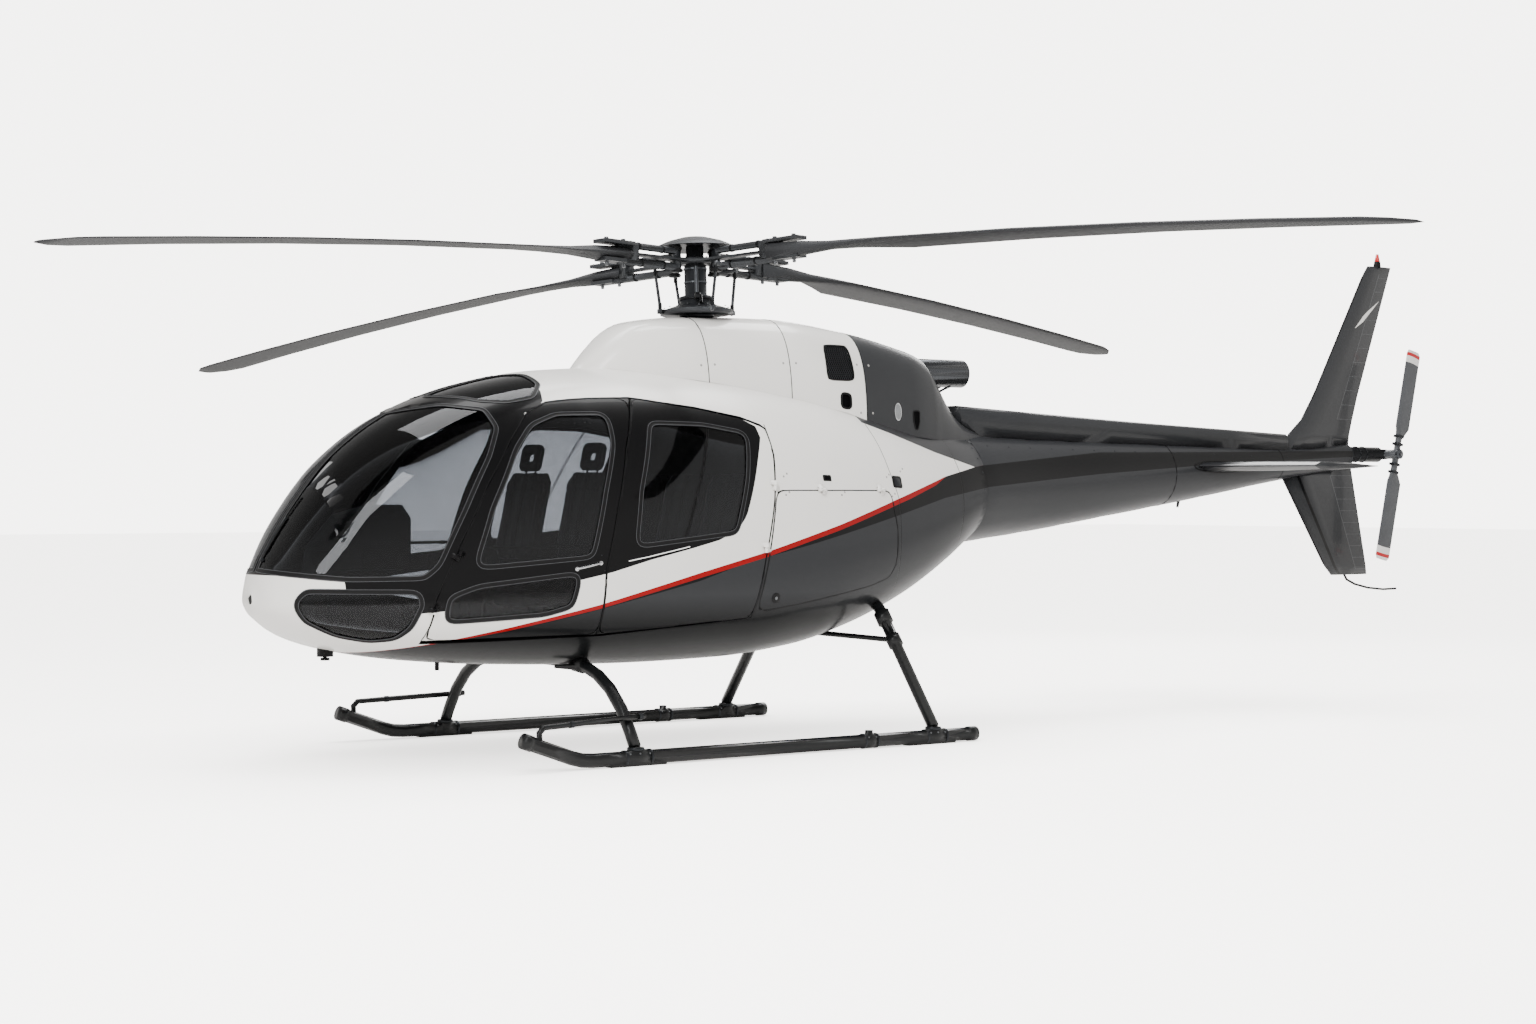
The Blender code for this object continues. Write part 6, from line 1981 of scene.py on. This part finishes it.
@dataclass
class MainRotor(SubAssembly):
    """Rotor head and blades."""

    blades: int = 4

    def build(self) -> None:
        """Make the rotor's pieces."""
        self.copies.plain("rotor_head", "head")
        for k in range(self.blades):
            self.copies.plain(f"rotor_blade_{k + 1}", "rotor", 40.0)


@dataclass
class HeadFittings(SubAssembly):
    """What shows on the rotor head: bolts, bearing stacks, ball joints and the scissors."""

    arms: int = 4
    bearing: float = 0.185
    stack: tuple[Point, ...] = ((-0.086, 0.040), (-0.078, 0.044), (-0.070, 0.040), (0.062, 0.037), (0.070, 0.041),
                                (0.078, 0.037))
    blade_bolts: tuple[float, ...] = (0.700, 0.860)
    sleeves: tuple[tuple[float, ...], ...] = ((0.330, 0.052, 0.027), (0.560, 0.052, 0.027), (0.330, -0.054, 0.030),
                                              (0.540, -0.054, 0.030))
    bolt_rings: tuple[Point, ...] = ((0.128, -0.300), (0.215, -0.318), (0.140, 0.0095))
    ring_bolts: int = 12

    @staticmethod
    def lean(p: Numbers) -> Vector:
        """A point of the head, given from the hub along the leaning mast, in the frame."""
        turned = Matrix.Rotation(-MAST_LEAN, 3, "X") @ Vector(p)
        return turned + Vector((HUB_STATION, 0.0, HUB_HEIGHT))

    def placer(self, angle: float) -> Placer:
        """A way to place points of the head turned by this angle about the mast."""
        turn = Matrix.Rotation(angle, 3, "Z")
        return lambda x, y, z: self.lean(turn @ Vector((x, y, z)))

    def build(self) -> None:
        """Make the fittings."""
        item = Sculptor("stud", "elastomer", "dark", "head_light")
        up = self.lean((0, 0, 1)) - self.lean((0, 0, 0))
        heads = []
        for k in range(self.arms):
            heads += self.arm(item, self.placer(ROTOR_AZIMUTH + math.pi + k * math.tau / self.arms), up)
        for radius, height in self.bolt_rings:
            heads += [self.placer(k * math.tau / self.ring_bolts)(radius, 0.0, height + 0.002)
                      for k in range(self.ring_bolts)]
        item.lathe(((-0.004, 0.105), (0.0, 0.120), (0.008, 0.120), (0.012, 0.112)), self.lean((0, 0, -0.262)), up,
                   2, 12)
        for height, radius in ((-0.150, 0.079), (-0.060, 0.080)):
            item.lathe(((0.0, radius), (0.010, radius), (0.012, radius - 0.003)), self.lean((0, 0, height)), up, 3, 32)
        for angle in (45.0, 225.0):
            spot = self.placer(ROTOR_AZIMUTH + math.radians(angle))
            item.tube([spot(0.085, 0.0, -0.045), spot(0.102, 0.0, -0.150), spot(0.118, 0.0, -0.255)], 0.014, 3)
            item.tube([spot(0.100, 0.020, -0.262), spot(0.165, 0.020, -0.250), spot(0.200, 0.020, -0.300)], 0.012, 2, 8)
            item.lathe(collar(0.020, 0.005, 0.024, 0.012), spot(0.165, 0.0, -0.252), spot(0, 1, 0) - spot(0, 0, 0),
                       2, 14)
        self.fit(item, "rotor_head_fittings", "rotor_head")
        marks = Path(np.array([tuple(p) for p in heads]), np.array([tuple(up)] * len(heads)))
        self.rivet("rotor_head_studs", "rotor_head", marks, "stud", (0.0075, 0.0050))

    def arm(self, item: Sculptor, place: Placer, up: Vector) -> list[Vector]:
        """One arm's bearings, bolts, sleeves and link ends.

        Args:
            item: the shapes so far.
            place: turns a point of the arm into one of the frame.
            up: the mast's direction.

        Returns:
            Where the arm's small bolt heads stand.
        """
        out, across = place(1, 0, 0) - place(0, 0, 0), place(0, 1, 0) - place(0, 0, 0)
        for height, radius in self.stack:
            item.lathe(collar(0.003, 0.0015, radius, 0.003), place(self.bearing, 0, height), up, 1, 20)
        item.lathe(((0.0, 0.020), (0.012, 0.020), (0.012, 0.012), (0.022, 0.012), (0.024, 0.009)),
                   place(self.bearing, 0, 0.095), up, 2, 6)
        for station in self.blade_bolts:
            item.lathe(((0.0, 0.019), (0.004, 0.019), (0.004, 0.0145), (0.016, 0.0145), (0.018, 0.010)),
                       place(station, 0, 0.070), up, 0, 6)
            item.lathe(((0.0, 0.017), (-0.004, 0.017), (-0.004, 0.012), (-0.026, 0.012), (-0.030, 0.007)),
                       place(station, 0, -0.071), up, 0, 12)
        for station, height, radius in self.sleeves:
            item.lathe(collar(0.008, 0.002, radius, 0.004), place(station, 0, height), out, 2)
        item.lathe(((-0.016, 0.007), (-0.013, 0.015), (0.0, 0.0185), (0.013, 0.015), (0.016, 0.007)),
                   place(0.285, -0.11, -0.052), across, 0, 16)
        item.lathe(((-0.018, 0.007), (-0.014, 0.016), (0.0, 0.020), (0.014, 0.016), (0.018, 0.007)),
                   place(0.235, -0.11, -0.345), across, 0, 16)
        for x, z in ((0.241, -0.310), (0.278, -0.090)):
            item.lathe(((-0.020, 0.0135), (0.020, 0.0135)), place(x, -0.11, z), up, 2, 6)
        item.block(place(0.628, 0.0, 0.052), out, across, (0.030, 0.060, 0.010), 2)
        return [place(x, y, 0.0702) for x in (0.668, 0.905) for y in (-0.038, 0.038)]


@dataclass
class LandingGear(SubAssembly):
    """Skids and cross tubes."""

    edge_angle: float = 45.0

    def build(self) -> None:
        """Make the gear's pieces."""
        for node in ("skid_port", "skid_starboard", "cross_tube_front", "cross_tube_rear"):
            self.copies.plain(node, "gear", self.edge_angle)


@dataclass
class GearFittings(SubAssembly):
    """Collar bolts, clamp bands and end caps on the skids."""

    collars: tuple[Point, ...] = ((-1.350, -1.150), (0.480, 0.600), (1.000, 1.180))
    band_radius: float = 0.0496
    bolt_radius: float = 0.0485
    saddles: tuple[float, ...] = (-1.250, 1.090)
    steps: tuple[tuple[float, ...], ...] = ((-1.700, 1.178, 0.272), (-1.180, 1.126, 0.290))

    def build(self) -> None:
        """Make the fittings."""
        for side in Side:
            sign, word = side.value, side.word
            y = sign * SKID_Y
            item = Sculptor("stud_dark", "seal")
            for x in (x for first, last in self.collars for x in (first + 0.010, last - 0.010)):
                item.lathe(collar(0.008, 0.001, self.band_radius, 0.0021), at(x, y, SKID_CENTRE), (1, 0, 0), 0, 28)
            item.lathe(((0.0, 0.047), (0.004, 0.047), (0.012, 0.030), (0.013, 0.010)), at(1.440, y, SKID_CENTRE),
                       (1, 0, 0), 1, 28)
            for x in self.saddles:
                item.lathe(((-0.004, 0.052), (0.0, 0.054), (0.008, 0.054), (0.012, 0.051)),
                           at(x, y - sign * 0.012, 0.098), (0, 0, 1), 0, 28)
            for x, out, z in self.steps:
                item.lathe(((-0.014, 0.0215), (0.014, 0.0215)), at(x, sign * out, z), (1, -0.1 * sign, 0.03), 0, 20)
            self.fit(item, f"skid_fittings_{word}", f"skid_{word}")
            rows = [(x, a) for first, last in self.collars
                    for x in np.linspace(first + 0.030, last - 0.030, 3 if last - first > 0.15 else 2)
                    for a in np.radians((35.0, 145.0))]
            normals = np.array([(0.0, math.cos(a), math.sin(a)) for _, a in rows])
            points = np.array([at(x, y, SKID_CENTRE) for x, _ in rows]) + self.bolt_radius * normals
            self.rivet(f"skid_studs_{word}", f"skid_{word}", Path(points, normals), "stud", (0.0070, 0.0050))


@dataclass
class PadMaker:
    """Inflates padded forms with a cloth simulation and sews their channels."""

    voxel: float = 0.012
    cap: float = 0.024
    pressure: float = 4.0
    frames: int = 20
    corner: float = 0.32

    def inflate(self, name: str, mesh: Mesh) -> Mesh:
        """Blow a closed form up under pressure, hold back its farthest points and smooth it once.

        Args:
            name: the new mesh's name.
            mesh: the cut form, a little small.

        Returns:
            The padded mesh, about its own origin.
        """
        item = add_object(name, mesh.copy())
        item.data.remesh_voxel_size = self.voxel
        bpy.ops.object.select_all(action="DESELECT")
        item.select_set(True)
        bpy.context.view_layer.objects.active = item
        bpy.ops.object.voxel_remesh()
        start = read(item.data.vertices, "co", width=3)
        cloth = item.modifiers.new("cloth", "CLOTH")
        cloth.settings.use_pressure = True
        cloth.settings.uniform_pressure_force = self.pressure
        cloth.settings.effector_weights.gravity = 0.0
        scene = bpy.context.scene
        for frame in range(1, self.frames + 1):
            scene.frame_set(frame)
        blown = self.frozen(item)
        item.modifiers.clear()
        move = read(blown.vertices, "co", width=3) - start
        size = np.linalg.norm(move, axis=1)
        move *= np.minimum(1.0, self.cap / np.maximum(size, 1e-9))[:, None]
        item.data.vertices.foreach_set("co", (start + move).ravel())
        bpy.data.meshes.remove(blown)
        scene.frame_set(1)
        smooth = item.modifiers.new("smooth", "SUBSURF")
        smooth.levels = smooth.render_levels = 1
        out = self.frozen(item)
        out.name = name
        bpy.data.objects.remove(item)
        return out

    @staticmethod
    def frozen(item: Object) -> Mesh:
        """The mesh that the item's modifiers give now."""
        return bpy.data.meshes.new_from_object(item.evaluated_get(bpy.context.evaluated_depsgraph_get()))

    def block(self, size: Numbers, hole: Numbers | None = None) -> Mesh:
        """A cut form: a slab with clipped corners.

        Args:
            size: its length, width and thickness.
            hole: the length and width of a hole through it, if there is one.

        Returns:
            The form.
        """
        rims = [clipped(size[0] / 2, size[1] / 2, self.corner)]
        if hole:
            rims.append([(x * hole[0] / size[0], y * hole[1] / size[1]) for x, y in rims[0]])
        n, half = len(rims[0]), size[2] / 2
        verts = [(x, y, z) for z in (-half, half) for rim in rims for x, y in rim]
        if hole:
            faces = []
            for k in range(n):
                j = (k + 1) % n
                faces += [(k, j, 2 * n + j, 2 * n + k), (n + j, n + k, 3 * n + k, 3 * n + j),
                          (j, k, n + k, n + j), (2 * n + k, 2 * n + j, 3 * n + j, 3 * n + k)]
        else:
            faces = [tuple(reversed(range(n))), tuple(range(n, 2 * n)), *walls(2, n)]
        mesh = bpy.data.meshes.new("cut_form")
        mesh.from_pydata(verts, [], faces)
        return mesh

    @staticmethod
    def channels(mesh: Mesh, rows: Numbers, axis: int, depth: float = 0.007,
                 width: float = 0.007) -> None:
        """Draw sewn channels into the form's upper face.

        Args:
            mesh: the padded form.
            rows: where the channels lie along the axis.
            axis: the axis that they are measured along.
            depth: how deep they are.
            width: how wide they are.
        """
        co = read(mesh.vertices, "co", width=3)
        top = co[:, 2] > 0.2 * co[:, 2].max()
        for row in rows:
            sink = depth * np.exp(-((co[:, axis] - row) / width) ** 2)
            co[:, 2] -= np.where(top, sink, 0.0)
        mesh.vertices.foreach_set("co", co.ravel())

    @staticmethod
    def rim(mesh: Mesh, height: float, count: int = 64) -> list[Vector]:
        """Points round the form at one height, where its piping is sewn.

        Args:
            mesh: the padded form.
            height: the height.
            count: how many points.

        Returns:
            The points.
        """
        tree = BVHTree.FromPolygons([v.co for v in mesh.vertices], [p.vertices for p in mesh.polygons])
        ways = [Vector((math.cos(math.tau * k / count), math.sin(math.tau * k / count), 0.0)) for k in range(count)]
        return [tree.ray_cast(way * 1.5 + Vector((0, 0, height)), -way)[0] for way in ways]


@dataclass
class Seats(SubAssembly):
    """Front seats and rear bench: padded cushions, backs and headrests on plain shells, with belts."""

    pads: PadMaker = field(default_factory=PadMaker)
    cushion: tuple[float, ...] = (0.375, 0.440, 0.085)
    back: tuple[float, ...] = (0.615, 0.440, 0.050)
    headrest: tuple[float, ...] = (0.175, 0.240, 0.040)
    headrest_hole: Point = (0.050, 0.100)
    front_top: float = 1.99
    bench_top: float = 1.90
    wide: float = 0.465
    leg_y: float = 0.165
    post_y: float = 0.060
    cord_radius: float = 0.0030

    def build(self) -> None:
        """Make the seats."""
        pads = self.pads
        forms = {"cushion": pads.inflate("cushion_form", pads.block(self.cushion)),
                 "back": pads.inflate("back_form", pads.block(self.back)),
                 "headrest": pads.inflate("headrest_form", pads.block(self.headrest, self.headrest_hole))}
        pads.channels(forms["cushion"], (-0.070, 0.070), 1)
        pads.channels(forms["cushion"], (-0.095,), 0, 0.005)
        pads.channels(forms["back"], (-0.075, 0.075), 1)
        pads.channels(forms["back"], (0.165,), 0, 0.005)
        for side in Side:
            self.place(forms, f"seat_front_{side.word}", SEAT_STATION, [side.value * SEAT_Y], self.front_top)
        self.place(forms, "rear_bench", BENCH_STATION, [-0.495, 0.0, 0.495], self.bench_top)
        for form in forms.values():
            bpy.data.meshes.remove(form)

    def place(self, forms: dict[str, Mesh], node: str, station: float, rows: Numbers,
              tall: float) -> None:
        """Set one seat's pieces where its solid stands; only a front seat has headrests.

        Args:
            forms: the padded forms.
            node: the seat's CAD node.
            station: its station.
            rows: the y of each place to sit.
            tall: the top of its solid.
        """
        x0, front = station + HUB_STATION, len(rows) == 1
        low, high = Vector((x0 + 0.16, 0.0, 1.160)), Vector((x0 + 0.34, 0.0, tall))
        along = (high - low).normalized()
        ahead = Vector((-along.z, 0.0, along.x))

        def spot(up: float, out: float, y: float) -> Vector:
            """A point this far up the back and this far ahead of it."""
            return low + along * up + ahead * out + Vector((0.0, y, 0.0))

        shell = Sculptor("trim", "stud_dark", "webbing")
        for y in rows:
            shell.block((x0 - 0.045, y, 0.985), (1, 0, 0), (0, 1, 0), (0.400, self.wide, 0.075), 0, 0.2)
            for sign in (-1.0, 1.0):
                leg = y + sign * self.leg_y
                shell.block((x0 - 0.030, leg, 0.835), (1, 0, 0), (0, 1, 0), (0.400, 0.036, 0.050), 1, 0.2)
                for x in (-0.17, 0.12):
                    shell.tube([(x0 + x, leg, 0.850), (x0 + x - 0.01, y + sign * 0.150, 0.955)], 0.014, 1)
            shell.block(spot(0.325, -0.100, y), along, (0, 1, 0), (0.665, self.wide - 0.02, 0.022), 0, 0.3)
            if front:
                for sign in (-1.0, 1.0):
                    shell.tube([spot(up, -0.070, y + sign * self.post_y) for up in (0.600, 0.705)], 0.007, 1)
            for sign in (-1.0, 1.0):
                self.belt(shell, x0, y, sign)
                strap = resampled([spot(0.630, 0.004, y + sign * 0.075), spot(0.060, 0.012, y + sign * 0.060)], 0.04)
                shell.sweep(Path(strap, np.tile(ahead, (len(strap), 1))), strip(0.021, 0.003, 0.001), 2)
        item = self.fit(shell, f"{node}_shell", node)
        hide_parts(node)
        turn = Matrix(((-1, 0, 0), (0, -1, 0), (0, 0, 1))).to_4x4()
        frame = Matrix((along, (0, 1, 0), ahead)).transposed().to_4x4()
        for k, y in enumerate(rows, 1):
            seat = Matrix.Translation((x0 - 0.035, y, 1.105)) @ Matrix.Rotation(math.radians(3.0), 4, "Y") @ turn
            self.pad(forms["cushion"], f"{node}_cushion_{k}", node, seat)
            self.pad(forms["back"], f"{node}_back_{k}", node, Matrix.Translation(spot(0.358, -0.048, y)) @ frame)
            if front:
                self.pad(forms["headrest"], f"{node}_headrest_{k}", node,
                         Matrix.Translation(spot(0.752, -0.058, y)) @ frame)

    @staticmethod
    def belt(shell: Sculptor, x0: float, y: float, sign: float) -> None:
        """Half a lap belt, from the hip to the buckle.

        Args:
            shell: the seat's shapes so far.
            x0: the seat's x.
            y: the y of the place to sit.
            sign: -1 for the port half, 1 for the starboard half.
        """
        hip = ((0.170, 0.205, 1.02), (0.100, 0.190, 1.135), (0.030, 0.110, 1.186), (0.000, 0.020, 1.192))
        path = resampled([(x0 + x, y + sign * out, z) for x, out, z in hip], 0.02)
        shell.sweep(Path(path, unit(np.tile([-0.3, sign * 0.3, 0.9], (len(path), 1)))), strip(0.022, 0.003, 0.0), 2)

    def pad(self, form: Mesh, name: str, node: str, place: Matrix) -> None:
        """Args:
            form: the padded form.
            name: the piece's name.
            node: the seat's CAD node.
            place: where it goes.
        """
        body = self.copies.body_of[node]
        mesh = form.copy()
        edge = self.pads.rim(form, 0.35 * max(v.co.z for v in form.vertices))
        mesh.transform(place)
        mesh.shade_smooth()
        mesh.materials.append(finish("leather"))
        item = add_object(name, mesh)
        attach(item, body)
        LOG.info("%s: %d faces", name, len(mesh.polygons))
        points = np.array([tuple(place @ p) for p in edge])
        normals = np.tile(place.to_3x3() @ Vector((0, 0, 1)), (len(points), 1))
        cord = Sculptor("piping")
        cord.sweep(Path(points, normals), [(self.cord_radius * math.cos(a), self.cord_radius * math.sin(a))
                                           for a in np.linspace(0, math.tau, 7)[:-1]], closed=True)
        cord.finish(f"{name}_piping", body)


@dataclass
class Cabin(SubAssembly):
    """Floor, bulkhead, console with its instruments, the controls and the seats."""

    panel_station: float = -2.300
    dial_rows: tuple[tuple, ...] = ((1.460, 0.043, (-0.115, 0.0, 0.115)), (1.355, 0.043, (-0.115, 0.0, 0.115)),
                                    (1.265, 0.030, (-0.110, -0.035, 0.040, 0.115)))
    ticks: int = 10
    pilot_y: float = 0.38
    lever_in: float = 0.275
    pedal_half: float = 0.085

    def build(self) -> None:
        """Make what shows through the glass."""
        for node in ("cabin_floor", "aft_bulkhead"):
            self.copies.plain(node, "lining")
        self.copies.plain("instrument_console", "trim")
        panel = Sculptor("dial", "stud_dark", "mark", "lining")
        x = self.panel_station + HUB_STATION
        panel.block((x + 0.003, 0.0, 1.375), (0, 1, 0), (0, 0, 1), (0.330, 0.330, 0.010), 3, 0.2)
        for z, radius, row in self.dial_rows:
            for y in row:
                self.dial(panel, Vector((x, y, z)), radius)
        self.fit(panel, "instrument_faces", "instrument_console")
        self.controls()
        Seats(self.copies, self.studs).build()

    def dial(self, panel: Sculptor, place: Vector, radius: float) -> None:
        """One dial with its bezel, marks and hand.

        Args:
            panel: the shapes so far.
            place: its middle on the panel.
            radius: its radius.
        """
        front = place + Vector((0.006, 0.0, 0.0))
        panel.lathe(((0.0, radius), (0.009, radius), (0.011, radius - 0.004), (0.007, radius - 0.006)), front,
                    (1, 0, 0), 1, 28)
        panel.lathe(((0.0, radius - 0.006), (0.0085, radius - 0.006)), front, (1, 0, 0), 0, 28)
        for k in range(self.ticks):
            way = self.clock(-50 + k * 31)
            panel.block(place + Vector((0.0152, 0.0, 0.0)) + way * (radius - 0.011), way, (1, 0, 0),
                        (0.006, 0.0012, 0.0014), 2, 0.1)
        way = self.clock(40 + 700 * place.y)
        panel.block(place + Vector((0.0156, 0.0, 0.0)) + way * 0.010, way, (1, 0, 0), (radius * 0.8, 0.0015, 0.0022),
                    2, 0.1)

    @staticmethod
    def clock(degrees: float) -> Vector:
        """A direction on a dial's face, from the top towards starboard."""
        return Vector((0.0, math.sin(math.radians(degrees)), math.cos(math.radians(degrees))))

    def controls(self) -> None:
        """Cyclic sticks, collective levers and pedals."""
        sticks = Sculptor("stud_dark", "trim")
        for y in (-self.pilot_y, self.pilot_y):
            base, inner = Vector(at(-1.86, y, 0.806)), y - self.lever_in
            sticks.lathe(((0.0, 0.055), (0.012, 0.052), (0.030, 0.030), (0.036, 0.016)), base, (0, 0, 1), 1)
            sticks.tube([base + Vector(q) for q in ((0, 0, 0.02), (0.010, 0, 0.14), (0.055, 0, 0.24), (0.075, 0, 0.30),
                                                    (0.070, 0, 0.345))], 0.011, 0, 12)
            sticks.tube([base + Vector(q) for q in ((0.071, 0, 0.335), (0.066, 0, 0.40), (0.056, 0, 0.455))],
                        (0.017, 0.020, 0.016), 1, 14)
            lever = [at(-1.36, inner, 0.860), at(-1.56, inner, 0.965), at(-1.73, inner, 1.040)]
            sticks.tube(lever, 0.012, 0, 12)
            sticks.tube([lever[2], at(-1.83, inner, 1.075)], 0.019, 1, 14)
            for foot in (y - self.pedal_half, y + self.pedal_half):
                sticks.tube([at(-2.33, foot, 0.81), at(-2.36, foot, 0.93)], 0.009)
                sticks.block(at(-2.358, foot, 0.945), (0, 1, 0), (-0.3, 0, 1), (0.085, 0.060, 0.012), 0, 0.3)
        self.fit(sticks, "cabin_controls", "cabin_floor")


@dataclass
class Studio:
    """Floor, backdrop, lights and camera: none of it belongs to the aircraft."""

    floor_half: float = 90.0
    floor_glow: float = 0.30
    floor_seen: float = 4.2
    contact: float = 2.2
    backdrop: float = 6.4
    horizon: float = 1.5
    zenith: float = 0.55
    # Name, place, target, width, height, watts, whether glossy surfaces mirror it, tilt
    lights: tuple[tuple, ...] = (
        ("key_softbox", (-7.5, -8.0, 8.0), (-0.5, 0.0, 1.2), 7.0, 4.0, 1300.0, False, 0.0),
        ("strip_softbox", (-9.2, -5.2, 7.4), (-2.0, 0.0, 1.4), 1.6, 9.0, 500.0, True, -0.35),
        ("top_softbox", (0.5, 1.0, 9.5), (0.5, 0.0, 1.5), 9.0, 4.0, 1000.0, True, 0.0),
        ("rear_softbox", (9.0, 7.0, 6.0), (1.0, 0.0, 1.5), 5.0, 4.0, 500.0, True, 0.0))

    def build(self) -> None:
        """Make the studio."""
        half = self.floor_half
        mesh = bpy.data.meshes.new("studio_floor")
        mesh.from_pydata([(-half, -half, 0), (half, -half, 0), (half, half, 0), (-half, half, 0)], [], [(0, 1, 2, 3)])
        mesh.materials.append(self.floor())
        add_object("studio_floor", mesh)
        self.sky()
        for row in self.lights:
            self.light(*row)
        self.camera()

    def floor(self) -> Material:
        """Pale seamless floor that glows for the camera alone, with a painted shadow darkening its glow where something
        stands near it.

        Returns:
            The material.
        """
        shader = Shader("studio_floor")
        tone = shader.joined(shader.clouds(0.35), 0.20)
        seen = shader.add("LightPath", out="Is Camera Ray")
        # Ambient occlusion dims the glow: a painted contact shadow
        near = shader.add("AmbientOcclusion", {"Distance": self.contact}, "AO")
        shade = shader.add("Math", (shader.joined(near, near), 0.70, 0.30), operation="MULTIPLY_ADD")
        glow = shader.add("Math", (shader.joined(seen, shade), self.floor_seen, self.floor_glow),
                          operation="MULTIPLY_ADD")
        return shader.surface({"Base Color": shader.coats("#f3f1ef", (tone, "#eae8e5")),
                               "Roughness": 0.70, "Specular IOR Level": 0.15, "Emission Color": linear("#f6f4f1"),
                               "Emission Strength": glow})

    def sky(self) -> None:
        """A pale backdrop all round that darkens overhead, so that dark gloss keeps its depth."""
        world = bpy.data.worlds.new("studio_world")
        bpy.context.scene.world = world
        world.use_nodes = True
        tree = world.node_tree
        height = add_node(tree, "ShaderNodeSeparateXYZ", (add_node(tree, "ShaderNodeTexCoord", out="Generated"),), 2)
        fade = add_node(tree, "ShaderNodeMapRange", (height, 0.16, 0.75, self.horizon, self.zenith))
        seen = add_node(tree, "ShaderNodeLightPath", out="Is Camera Ray")
        shine = tree.nodes["Background"].inputs
        shine["Color"].default_value = linear("#f6f4f1")
        tree.links.new(add_node(tree, "ShaderNodeMix", {"Factor": seen, "A": fade, "B": self.backdrop}, "Result"),
                       shine["Strength"])

    @staticmethod
    def light(name: str, place: Numbers, target: Numbers, width: float, height: float,
              power: float, mirrored: bool, tilt: float) -> None:
        """One rectangular softbox that faces its target.

        Args:
            name: its name.
            place: where it hangs.
            target: what it faces.
            width: its width in metres.
            height: its height in metres.
            power: its power in watts.
            mirrored: whether glossy surfaces mirror it.
            tilt: its turn about the line to the target.
        """
        lamp = bpy.data.lights.new(name, "AREA")
        lamp.shape = "RECTANGLE"
        lamp.size, lamp.size_y = width, height
        lamp.energy = power
        item = add_object(name, lamp)
        item.location = place
        turn = (Vector(target) - Vector(place)).to_track_quat("-Z", "Y").to_matrix() @ Matrix.Rotation(tilt, 3, "Z")
        item.rotation_euler = turn.to_euler()
        item.visible_glossy = mirrored

    @staticmethod
    def camera() -> None:
        """The camera at the photograph's own angle."""
        data = bpy.data.cameras.new("camera")
        data.sensor_width = 36.0
        data.lens = CAMERA_LENS
        data.clip_end = 500.0
        item = add_object("camera", data)
        item.location = CAMERA_PLACE
        ahead = Vector((math.sin(CAMERA_YAW) * math.cos(CAMERA_PITCH), math.cos(CAMERA_YAW) * math.cos(CAMERA_PITCH),
                        math.sin(CAMERA_PITCH)))
        item.rotation_euler = ahead.to_track_quat("-Z", "Y").to_euler()
        bpy.context.scene.camera = item


def main() -> None:
    """Build every sub-assembly in order."""
    logging.basicConfig(level=logging.INFO, format="%(name)s %(message)s")
    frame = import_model()
    copies = Copyist(frame)
    studs = StudRows()
    for group in (Fuselage, Glazing, HullFittings, Upperworks, CowlFittings, Tail, TailFittings, MainRotor,
                  HeadFittings, LandingGear, GearFittings, Cabin):
        group(copies, studs).build()
        LOG.info("built %s, %d triangles so far", group.__name__, copies.faces)
    Studio().build()


if __name__ == "__main__":
    main()
